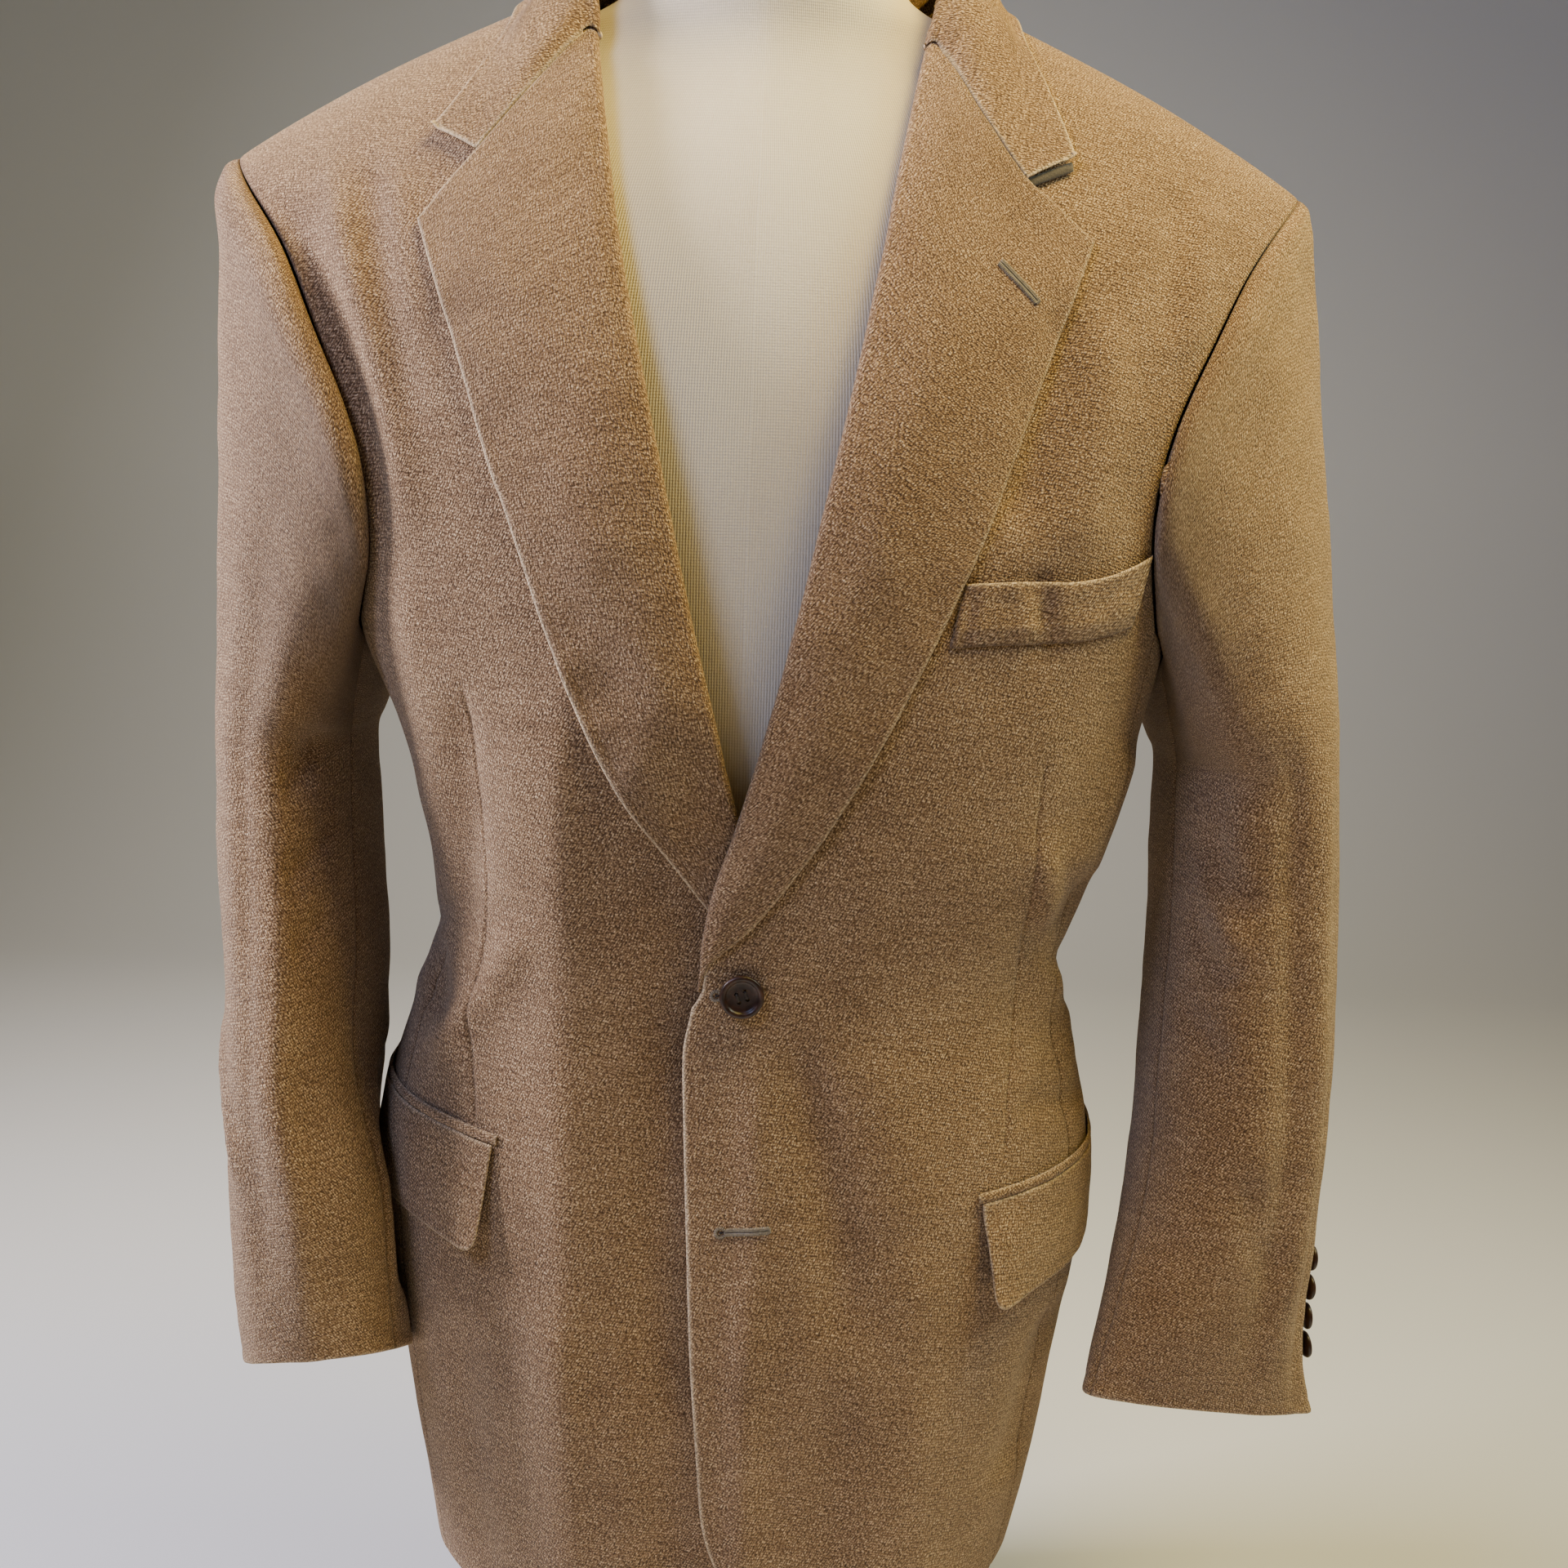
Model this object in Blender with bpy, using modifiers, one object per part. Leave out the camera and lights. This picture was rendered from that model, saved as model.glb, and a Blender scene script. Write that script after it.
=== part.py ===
"""A tweed hacking jacket on a limbless dress form: two-button fronts, notch lapels, collar, two-piece sleeves, a breast welt and two flap pockets."""

import math

import bmesh
import bpy
import numpy as np
from mathutils import Matrix, Vector

MAIN = "hacking_jacket_on_form"


# ---------------------------------------------------------------- sizes, metres
SHOULDER_Z = 0.850        # height of the shoulder points above the foot of the stand
CHEST_B = 0.235           # depth of the armhole: levels are measured down from the shoulder points (b)
WALL = 0.0020             # cloth with its canvas and facing
GAP = 0.0003              # seams
RIDGE_Y = 0.006           # the shoulder seams lie a little behind the middle
ARCH = 2.5                # squareness of the shoulder's cross-section
NECK_X = 0.082            # half-width of the neckline at the shoulder seams
HEM_B = 0.706             # hem at the side
HEM_DROP = 0.012          # the fronts hang lower than the side
FRONT_SEAM = 70.0         # degrees round the body from centre front: front to side panel
BACK_SEAM = 112.0         # side panel to back

# Levels of the body: b, half-width to the wearer's right and left, depth to the front and back,
# and the squareness of the front and the back halves.
BODY = dict(
    b=    [-0.10, -0.05, 0.00,  0.05,  0.10,  0.15,  0.19,  0.235, 0.28,  0.32,  0.35,  0.38,  0.405, 0.43,  0.46,  0.50,  0.54,  0.58,  0.62,  0.66,  0.70,  0.74],
    right=[0.300, 0.295, 0.284, 0.266, 0.243, 0.219, 0.203, 0.189, 0.171, 0.1615,0.1580,0.1600,0.1660,0.1745,0.1820,0.1840,0.1810,0.1755,0.1695,0.1630,0.1555,0.147],
    left= [0.300, 0.295, 0.286, 0.270, 0.250, 0.228, 0.214, 0.204, 0.195, 0.1860,0.1760,0.1650,0.1660,0.1755,0.1835,0.1855,0.1825,0.1765,0.1700,0.1635,0.1555,0.147],
    front=[0.078, 0.092, 0.106, 0.1185,0.1270,0.1320,0.1335,0.1335,0.1315,0.1270,0.1225,0.1190,0.1180,0.1185,0.1200,0.1215,0.1220,0.1215,0.1200,0.1180,0.1160,0.114],
    back= [0.116, 0.121, 0.125, 0.1290,0.1320,0.1340,0.1340,0.1310,0.1260,0.1210,0.1185,0.1180,0.1200,0.1240,0.1290,0.1330,0.1350,0.1360,0.1365,0.1370,0.1375,0.138],
    nf=   [2.30,  2.30,  2.30,  2.35,  2.40,  2.45,  2.50,  2.50,  2.45,  2.40,  2.35,  2.35,  2.35,  2.35,  2.35,  2.35,  2.35,  2.35,  2.35,  2.35,  2.35,  2.35],
    nb=   [2.40,  2.40,  2.40,  2.45,  2.50,  2.50,  2.55,  2.55,  2.50,  2.45,  2.45,  2.45,  2.45,  2.45,  2.50,  2.50,  2.50,  2.50,  2.50,  2.50,  2.50,  2.50],
)
# The top of the shoulder from its end to the neck.
RIDGE = dict(
    x=[0.000, 0.060, 0.085, 0.105, 0.130, 0.160, 0.190, 0.220, 0.245, 0.262, 0.290],
    b=[-0.098,-0.091,-0.085,-0.0785,-0.0680,-0.0545,-0.0400,-0.0240,-0.0100, 0.0000, 0.018],
)
# The front armhole from the shoulder point down, and the back armhole; both end on the side panel.
ARM_FRONT = dict(
    b=    [0.000, 0.016, 0.045, 0.080, 0.115, 0.145, 0.170, 0.192],
    right=[0.2575,0.2440,0.2210,0.2027,0.1870,0.1765,0.1730,0.1745],
    left= [0.2630,0.2500,0.2278,0.2087,0.1922,0.1840,0.1828,0.1860],
)
ARM_BACK = dict(
    b=    [0.000, 0.030, 0.060, 0.090, 0.120, 0.150, 0.180],
    right=[0.2575,0.2400,0.2240,0.2095,0.1995,0.1925,0.1865],
    left= [0.2630,0.2460,0.2300,0.2160,0.2065,0.2000,0.1945],
)
ARM_LOW = dict(phi=[70.0, 91.0, 112.0], b=[0.212, 0.2345, 0.205])   # under the arm

# Front edges below the roll (x to the panel's own side; each passes the middle): b, edge.
EDGE_LEFT = dict(
    b=[0.387, 0.410, 0.445, 0.500, 0.555, 0.600, 0.660, 0.720],
    x=[-0.0185,-0.0222,-0.0209,-0.0182,-0.0154,-0.0118,-0.0068,-0.0010],
)
EDGE_RIGHT = dict(
    b=[0.374, 0.400, 0.500, 0.600, 0.660, 0.720],
    x=[-0.0178,-0.0180,-0.0170,-0.0130,-0.0085,-0.0030],
)
QUARTER_R = 0.085         # rounding of the fronts' lower corners

# Lapels, a row from the lowest point to the gorge: the roll (crease) and the outer edge.
LAPEL_LEFT = dict(
    t=      [0.00,   0.06,   0.12,   0.22,   0.32,   0.44,   0.56,   0.68,   0.80,   0.90,   1.00],
    roll_x= [-0.0166,-0.0152,-0.0120,-0.0010, 0.0095, 0.0205, 0.0325, 0.0440, 0.0550, 0.0640, 0.0727],
    roll_b= [0.3790, 0.3590, 0.3395, 0.3020, 0.2640, 0.2200, 0.1640, 0.1080, 0.0480,-0.0040,-0.0480],
    edge_x= [-0.0095,-0.0040, 0.0090, 0.0371, 0.0600, 0.0800, 0.0990, 0.1143, 0.1270, 0.1370, 0.1469],
    edge_b= [0.3740, 0.3600, 0.3450, 0.3050, 0.2645, 0.2230, 0.1790, 0.1380, 0.1000, 0.0710, 0.0430],
)
LAPEL_RIGHT = dict(
    t=      [0.00,   0.06,   0.12,   0.22,   0.32,   0.44,   0.56,   0.68,   0.80,   0.90,   1.00],
    roll_x= [-0.0160,-0.0135,-0.0085, 0.0020, 0.0108, 0.0218, 0.0345, 0.0470, 0.0590, 0.0680, 0.0765],
    roll_b= [0.3660, 0.3470, 0.3270, 0.2930, 0.2560, 0.2130, 0.1580, 0.1040, 0.0500, 0.0000,-0.0505],
    edge_x= [-0.0085, 0.0070, 0.0240, 0.0500, 0.0650, 0.0820, 0.0985, 0.1135, 0.1270, 0.1370, 0.1489],
    edge_b= [0.3620, 0.3480, 0.3265, 0.2912, 0.2620, 0.2240, 0.1800, 0.1420, 0.1010, 0.0740, 0.0425],
)
# The gorge seam and the lapel's top run in one line, bowed by this much: share of the way, metres down.
GORGE = dict(
    v=    [0.0, 0.09,   0.33,   0.556,  0.75,   1.0],
    left= [0.0, 0.0000, 0.0070, 0.0097, 0.0055, 0.0],
    right=[0.0, 0.0000, 0.0000,-0.0005, 0.0000, 0.0],
)
NOTCH_V = dict(left=0.596, right=0.670)     # where on it the notch begins
LAPEL_LIFT = dict(v=[0.0, 0.12, 0.35, 0.70, 1.0], out=[0.0030, 0.0048, 0.0056, 0.0046, 0.0034])
SET_BACK = 0.0034         # the front panel ends this far inside the crease
ROLL_R = 0.0040           # half the thickness of the roll
COLLAR_SEAM = 0.0018      # the collar's end stands this far off the lapel's top line

# Collar, a row from centre back to the notch: seam, fold and outer edge (x, y, b).
COLLAR = dict(
    u=     [0.00,  0.20,  0.40,  0.55,  0.68,  0.80,  0.90,  1.00],
    seam_x=[0.000, 0.030, 0.056, 0.071, 0.0780,0.0790,0.0775,0.0745],
    seam_y=[0.0745,0.0690,0.0490,0.0230,0.0010,-0.0230,-0.0400,-0.0590],
    seam_b=[-0.0700,-0.0740,-0.0835,-0.0880,-0.0895,-0.0800,-0.0655,-0.0500],
    fold_x=[0.000, 0.0335,0.0610,0.0755,0.0800,0.0800,0.0775,0.0745],
    fold_y=[0.0830,0.0770,0.0540,0.0250,-0.0020,-0.0270,-0.0450,-0.0610],
    fold_b=[-0.1050,-0.1060,-0.1080,-0.1090,-0.1060,-0.0930,-0.0740,-0.0520],
    edge_x=[0.000, 0.0470,0.0850,0.1070,0.1150,0.1185,0.1290,0.1426],
    edge_y=[0.0930,0.0900,0.0680,0.0330,-0.0030,-0.0360,-0.0560,-0.0720],
    edge_b=[-0.0590,-0.0590,-0.0600,-0.0660,-0.0720,-0.0560,-0.0290,0.0010],
)
COLLAR_END = dict(left=(0.1386, 0.0040), right=(0.1465, -0.0016))

# Sleeves, a row for each level from the upper arm to the cuff: middle, half-width and half-depth.
SLEEVE_LEFT = dict(
    b=  [0.280, 0.330, 0.390, 0.440, 0.480, 0.540, 0.580, 0.609],
    xc= [0.2564, 0.2578, 0.2584, 0.2572, 0.2547, 0.2483, 0.2437, 0.2449],
    yc= [-0.002,-0.007,-0.015,-0.023,-0.030,-0.041,-0.047,-0.050],
    ax= [0.0415, 0.0427, 0.0447, 0.0463, 0.0469, 0.0512, 0.0561, 0.0642],
    ay= [0.0790,0.0720,0.0640,0.0580,0.0520,0.0400,0.0320,0.0230],
    turn=[0.0,  2.0,   4.0,   6.0,   8.0,   10.0,  11.0,  12.0],
)
SLEEVE_RIGHT = dict(
    b=  [0.280, 0.330, 0.390, 0.440, 0.480, 0.530, 0.560, 0.585],
    xc= [0.2284, 0.2229, 0.2151, 0.2106, 0.2037, 0.2001, 0.1985, 0.1972],
    yc= [-0.004,-0.017,-0.036,-0.052,-0.061,-0.068,-0.070,-0.071],
    ax= [0.0312, 0.0305, 0.0299, 0.029, 0.035, 0.0373, 0.0383, 0.0389],
    ay= [0.0790,0.0750,0.0700,0.0650,0.0610,0.0550,0.0510,0.0480],
    turn=[0.0,  2.0,   4.0,   5.0,   6.0,   6.0,   6.0,   6.0],
)
# The sleeve head: how far it stands out past a straight line from the armhole to the upper arm.
CAP = dict(
    beta= [0.0, 0.030, 0.065, 0.130, 0.200, 0.300, 0.500, 0.700, 0.870, 1.0],
    right=[0.0, 0.0055,0.0089,0.0093,0.0096,0.0100,0.0075,0.0045,0.0020,0.0],
    left= [0.0, 0.0035,0.0052,0.0055,0.0056,0.0056,0.0055,0.0046,0.0030,0.0],
)
HEAD_DIR = dict(          # how a sleeve leaves the armhole: round the armhole from its top by the front
    psi=[0, 45, 90, 148, 180, 212, 270, 315, 360],
    x=[1.00, 0.90, 0.75, 0.75, 0.80, 0.75, 0.80, 0.92, 1.00],
    y=[0.00,-0.35,-0.60,-0.35, 0.00, 0.35, 0.55, 0.30, 0.00],
    z=[-0.15,-0.10,-0.15,-0.55,-0.60,-0.55,-0.15,-0.10,-0.15],
)
HIND_SHIFT = dict(left=(58.0, 74.0), right=(20.0, 55.0))     # degrees the hind seam turns toward the outer side on its way down, and how far round this spreads
CUFF_TILT = dict(left=(0.10, 0.30), right=(0.12, 0.42))

# ---------------------------------------------------------------- helpers
def spline(xs, ys, x):
    """A natural cubic through the rows of a table, straight past its ends."""
    xs, ys, x = np.asarray(xs, float), np.asarray(ys, float), np.asarray(x, float)
    n = len(xs)
    h = np.diff(xs)
    m = np.zeros((n, n))
    r = np.zeros(n)
    m[0, 0] = m[-1, -1] = 1
    for i in range(1, n - 1):
        m[i, i - 1], m[i, i], m[i, i + 1] = h[i - 1], 2 * (h[i - 1] + h[i]), h[i]
        r[i] = 6 * ((ys[i + 1] - ys[i]) / h[i] - (ys[i] - ys[i - 1]) / h[i - 1])
    c = np.linalg.solve(m, r)
    i = np.clip(np.searchsorted(xs, x) - 1, 0, n - 2)
    t0, t1 = x - xs[i], xs[i + 1] - x
    y = (c[i] * t1**3 + c[i + 1] * t0**3) / (6 * h[i])
    y = y + (ys[i] / h[i] - c[i] * h[i] / 6) * t1 + (ys[i + 1] / h[i] - c[i + 1] * h[i] / 6) * t0
    lo = ys[0] + (x - xs[0]) * ((ys[1] - ys[0]) / h[0] - h[0] * c[1] / 6)
    hi = ys[-1] + (x - xs[-1]) * ((ys[-1] - ys[-2]) / h[-1] + h[-1] * c[-2] / 6)
    return np.where(x < xs[0], lo, np.where(x > xs[-1], hi, y))


def column(table, key, at, by="b"):
    return spline(table[by], table[key], at)


def mono(xs, ys, x):
    """A curve through the rows of a table that never swings past them."""
    xs, ys, x = np.asarray(xs, float), np.asarray(ys, float), np.asarray(x, float)
    h, d = np.diff(xs), np.diff(ys) / np.diff(xs)
    m = np.zeros_like(ys)
    same = d[:-1] * d[1:] > 0
    w1, w2 = 2 * h[1:] + h[:-1], h[1:] + 2 * h[:-1]
    with np.errstate(divide="ignore", invalid="ignore"):
        m[1:-1] = np.where(same, (w1 + w2) / (w1 / d[:-1] + w2 / d[1:]), 0)
    m[0], m[-1] = d[0], d[-1]
    i = np.clip(np.searchsorted(xs, x) - 1, 0, len(xs) - 2)
    t = np.clip((x - xs[i]) / h[i], 0, 1)
    return ((1 + 2 * t) * (1 - t) ** 2 * ys[i] + t * (1 - t) ** 2 * h[i] * m[i]
            + t * t * (3 - 2 * t) * ys[i + 1] + t * t * (t - 1) * h[i] * m[i + 1])


def ease(x, lo, hi):
    t = np.clip((np.asarray(x, float) - lo) / (hi - lo), 0, 1)
    return t * t * (3 - 2 * t)


def unit(v):
    return v / np.maximum(np.linalg.norm(v, axis=-1, keepdims=True), 1e-12)


def side_key(side):
    return "left" if side > 0 else "right"


# ---------------------------------------------------------------- the body's surface
def ridge_b(x):
    return column(RIDGE, "b", np.abs(x), by="x")


def depth(x, b, side, back=False):
    """Half-depth of the body at a distance x from its middle and a level b."""
    a = column(BODY, side_key(side), b)
    d = column(BODY, "back" if back else "front", b)
    n = column(BODY, "nb" if back else "nf", b)
    u = np.clip(np.abs(x) / a, 0, 0.9999)
    return d * (1 - u**n) ** (1 / n)


def arch(x, b):
    """1 at the chest and below, falling to 0 on the shoulder's ridge."""
    rb = ridge_b(x)
    t = np.clip((b - rb) / (CHEST_B - rb), 0, 1)
    return (1 - (1 - t) ** ARCH) ** (1 / ARCH)


def q_of(x, b):
    """The level as a share of the way from the chest (0) over the shoulder to its ridge (1), below the chest minus metres."""
    rb = ridge_b(x)
    t = np.clip((b - rb) / (CHEST_B - rb), 0, 1)
    return np.where(b >= CHEST_B, CHEST_B - b, np.arcsin((1 - t) ** (ARCH / 2)) / (np.pi / 2))


def b_of(x, q):
    rb = ridge_b(x)
    up = CHEST_B - (CHEST_B - rb) * np.sin(np.clip(q, 0, 1) * np.pi / 2) ** (2 / ARCH)
    return np.where(q <= 0, CHEST_B - q, up)


def at_xq(x, q, side, back=False):
    """The point at a distance x (a size, unsigned) and a level q."""
    x, q = np.broadcast_arrays(np.asarray(x, float), np.asarray(q, float))
    b = b_of(x, q)
    k = np.cos(np.clip(q, 0, 1) * np.pi / 2) ** (2 / ARCH)
    y = depth(x, b, side, back) * k
    y = (y if back else -y) + RIDGE_Y * (1 - k)
    return np.stack([x * side, y, SHOULDER_Z - b], -1)


def at_xb(x, b, side, back=False):
    return at_xq(x, q_of(np.asarray(x, float), np.asarray(b, float)), side, back)


def normal_xb(x, b, side, back=False):
    e = 1e-3
    x, b = np.broadcast_arrays(np.asarray(x, float), np.asarray(b, float))
    q = q_of(x, b)
    dq = np.where(q > 0, 4e-3, 1e-3)
    # close to the chest both steps stay on one side of it
    ax = at_xq(np.maximum(x + e, 0), q, side, back) - at_xq(x - e, q, side, back)
    aq = at_xq(x, np.minimum(q + dq, 1.0 - 1e-6), side, back) - at_xq(x, q - np.where((q > 0) & (q < dq), 0, dq), side, back)
    n = unit(np.cross(ax, aq))
    flip = np.where((n[..., 1] * (1 if back else -1)) < 0, -1.0, 1.0)
    near_top = q > 0.93
    flip = np.where(near_top, np.where(n[..., 2] < 0, -1.0, 1.0), flip)
    return n * flip[..., None]


def off_xb(x, b, side, out, back=False):
    return at_xb(x, b, side, back) + normal_xb(x, b, side, back) * np.asarray(out)[..., None]


def ring(phi, b, side):
    """The point round the body at an angle from centre front (0) by the side (90) to centre back (180)."""
    phi, b = np.broadcast_arrays(np.asarray(phi, float), np.asarray(b, float))
    a = column(BODY, side_key(side), b)
    front = phi <= 90
    d = np.where(front, column(BODY, "front", b), column(BODY, "back", b))
    n = np.where(front, column(BODY, "nf", b), column(BODY, "nb", b))
    s, c = np.sin(np.radians(phi)), np.cos(np.radians(phi))
    r = ((np.abs(s) / a) ** n + (np.abs(c) / d) ** n) ** (-1 / n)
    x, y = r * s, -r * c
    k = arch(x, np.minimum(b, CHEST_B))
    y = y * k + RIDGE_Y * (1 - k)
    return np.stack([x * side, y, SHOULDER_Z - b], -1)


def ring_normal(phi, b, side):
    e, d = 0.3, 1e-3
    n = np.cross(ring(phi + e, b, side) - ring(phi - e, b, side), ring(phi, b - d, side) - ring(phi, b + d, side))
    return unit(n) * side


def off_ring(phi, b, side, out):
    return ring(phi, b, side) + ring_normal(phi, b, side) * np.asarray(out)[..., None]


def phi_at_x(x, b, side):
    """The angle on the front half where the body is x from its middle."""
    p = np.linspace(0, 89.5, 180)
    out = []
    for xx, bb in zip(*[np.ravel(v) for v in np.broadcast_arrays(x, b)]):
        got = np.abs(ring(p, bb, side)[:, 0])
        out.append(np.interp(abs(xx), got, p) * (1 if xx >= 0 else -1))
    return np.reshape(out, np.broadcast(x, b).shape)


# ---------------------------------------------------------------- armholes
def arm_point(side, part, f):
    """A point of the armhole: part front (0 top to 1 at the side panel), low (front to back) or back (1 top)."""
    key = side_key(side)
    f = np.asarray(f, float)
    if part == "low":
        phi = FRONT_SEAM + (BACK_SEAM - FRONT_SEAM) * f
        return ring(phi, spline(ARM_LOW["phi"], ARM_LOW["b"], phi), side)
    rows = ARM_FRONT if part == "front" else ARM_BACK
    end = ring(FRONT_SEAM, ARM_LOW["b"][0], side) if part == "front" else ring(BACK_SEAM, ARM_LOW["b"][2], side)
    xs = rows[key] + [float(abs(end[0]))]
    bs = [float(ridge_b(xs[0]))] + rows["b"][1:] + [float(SHOULDER_Z - end[2])]
    bb = np.linspace(bs[0], bs[-1], 120)
    xx = spline(bs, xs, bb)
    pts = at_xb(xx, bb, side, part == "back")
    run = np.concatenate([[0], np.cumsum(np.linalg.norm(np.diff(pts, axis=0), axis=1))])
    g = f if part == "front" else 1 - f
    b = np.interp(g * run[-1], run, bb)
    return at_xb(spline(bs, xs, b), b, side, part == "back")


def arm_xq(side, part, f):
    p = arm_point(side, part, f)
    x, b = np.abs(p[..., 0]), SHOULDER_Z - p[..., 2]
    return x, q_of(x, b)


# ---------------------------------------------------------------- fronts
def roll_x(b, side):
    """The crease of the lapel, or below it the front edge, at a level b (to the panel's own side)."""
    rows = LAPEL_LEFT if side > 0 else LAPEL_RIGHT
    edge = EDGE_LEFT if side > 0 else EDGE_RIGHT
    bs = list(edge["b"][::-1]) + list(rows["roll_b"][1:])
    xs = list(edge["x"][::-1]) + list(rows["roll_x"][1:])
    bs, xs = bs[::-1] , xs[::-1]
    bs, xs = [-0.0855] + bs, [NECK_X - 0.001] + xs
    return mono(bs, xs, b)


def front_in(b, side):
    """The inner edge of a front panel: the front edge, then a little inside the crease, rounded at the hem."""
    low_b = (LAPEL_LEFT if side > 0 else LAPEL_RIGHT)["roll_b"][0]
    b = np.asarray(b, float)
    x = roll_x(b, side) + SET_BACK * (1 - ease(b, low_b + 0.0015, low_b + 0.0080)) * ease(b, -0.086, -0.06)
    low = np.clip((b - (HEM_B + HEM_DROP - QUARTER_R)) / QUARTER_R, 0, 1)
    return x + QUARTER_R * (1 - np.sqrt(np.clip(1 - low**2, 0, 1))) * 0.8


def dip(x, b):
    """The wearer's right front lies deeper where the left one laps over it (x to its own side)."""
    near = 1 - ease(x, 0.014, 0.050)
    level = ease(b, 0.245, 0.300) * (0.0095 - 0.0025 * ease(b, 0.40, 0.46) - 0.0030 * ease(b, 0.54, 0.60))
    return near * level


def seam_levels(levels):
    """The same rows at the side: 0 at the hem to 1 at the armhole."""
    h_in = HEM_B + HEM_DROP
    return [(h_in - b) / (h_in - CHEST_B) for b in levels]


def shares(cols):
    """Column positions across a panel: a count of equal columns, or the positions themselves."""
    return np.linspace(0, 1, cols + 1) if np.ndim(cols) == 0 else np.asarray(cols, float)


def front_levels(side, levels):
    """Adds the two rows between which the front edge steps back to the crease."""
    low_b = (LAPEL_LEFT if side > 0 else LAPEL_RIGHT)["roll_b"][0]
    return sorted([b for b in levels if abs(b - low_b - 0.005) > 0.009] + [low_b + 0.0018, low_b + 0.0080], reverse=True)


def front_panel(side, levels, ups, cols):
    """Rows from the hem to the shoulder seam; below the chest by levels at the front edge, above it by levels at the crease."""
    grid, share = [], None
    s = shares(cols)
    for b, t in zip(levels, seam_levels(levels)):
        b_out = HEM_B + (ARM_LOW["b"][0] - HEM_B) * t
        p_in = float(phi_at_x(front_in(b, side), b, side))
        phi = p_in + (FRONT_SEAM - p_in) * s
        grid.append(ring(phi, b + (b_out - b) * s, side))
    x = grid[-1][:, 0] * side
    share = (x - x[0]) / (x[-1] - x[0])
    for i, b in enumerate(ups):
        x_in = float(front_in(b, side))
        q_in = float(q_of(x_in, b)) if i < len(ups) - 1 else 1.0
        x_out, q_out = arm_xq(side, "front", 1 - (i + 1) / len(ups))
        q = q_in + (q_out - q_in) * s
        grid.append(at_xq(x_in + (x_out - x_in) * share, q, side))
    grid = np.array(grid)
    if side < 0:
        grid[..., 1] += dip(grid[..., 0] * side, SHOULDER_Z - grid[..., 2])
    return grid


def side_panel(side, levels, cols):
    phi = FRONT_SEAM + (BACK_SEAM - FRONT_SEAM) * shares(cols)
    top = spline(ARM_LOW["phi"], ARM_LOW["b"], phi)
    t = np.array(seam_levels(levels))[:, None]
    return ring(phi[None], HEM_B + (top[None] - HEM_B) * t, side)


def neck_q(x):
    """Level of the back neckline (1 on the shoulder's ridge)."""
    return 1 - 0.315 * np.clip(1 - (np.abs(x) / NECK_X) ** 2.0, 0, 1) ** 0.75


def back_panel(side, levels, ups, cols):
    """Rows from the hem to the shoulder seam; above the chest by shares (q) of the way up at centre back."""
    grid = []
    s = shares(cols)
    for t in seam_levels(levels):
        b = HEM_B + (ARM_LOW["b"][2] - HEM_B) * t
        b0 = HEM_B + (CHEST_B - HEM_B) * t
        grid.append(ring(180 + (BACK_SEAM - 180) * s, b0 + (b - b0) * s, side))
    x = grid[-1][:, 0] * side
    share = x / x[-1]
    for i, u in enumerate(ups):
        x_out, q_out = arm_xq(side, "back", (i + 1) / len(ups))
        x = x_out * share
        grid.append(at_xq(x, neck_q(x) * (q_out * share + u * (1 - share)), side, True))
    return np.array(grid)


def across(grid, wrap=False):
    """Unit directions square to a grid of points, from the rows and columns beside each."""
    g = np.asarray(grid, float)
    if wrap:
        du = np.roll(g, -1, 1) - np.roll(g, 1, 1)
    else:
        du = np.gradient(g, axis=1)
    return unit(np.cross(du, np.gradient(g, axis=0)))


def body_normals(grid, side, part, levels):
    """Normals of a body panel; along its seams they are the body's own, so that neighbours' walls stay parallel."""
    n = across(grid) * (side if part != "back" else -side)
    low = len(levels)
    b = SHOULDER_Z - grid[:low, :, 2]
    if part == "front":
        n[:low, -1] = ring_normal(FRONT_SEAM, b[:, -1], side)
    elif part == "side":
        n[:, 0], n[:, -1] = ring_normal(FRONT_SEAM, b[:, 0], side), ring_normal(BACK_SEAM, b[:, -1], side)
    else:
        n[:low, -1] = ring_normal(BACK_SEAM, b[:, -1], side)
        n[:, 0, 0] = 0
    if part != "side":
        t = np.gradient(grid[-1], axis=0)
        t[:, 1] = 0
        ridge = unit(np.cross(t, np.array([0, -1.0, 0]))) 
        n[-1] = ridge * np.sign(ridge[:, 2:3])
    return unit(n)


# ---------------------------------------------------------------- lapels and collar
def gorge(side, v, away=0.0):
    """A point (x, b) of the lapel's top line, moved toward the neck by a distance."""
    tab = LAPEL_LEFT if side > 0 else LAPEL_RIGHT
    r = np.array([tab["roll_x"][-1], tab["roll_b"][-1]])
    e = np.array([tab["edge_x"][-1], tab["edge_b"][-1]])
    p = r + (e - r) * v + np.array([0, float(mono(GORGE["v"], GORGE[side_key(side)], v))])
    d = unit(e - r)
    return p + np.array([d[1], -d[0]]) * away


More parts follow.
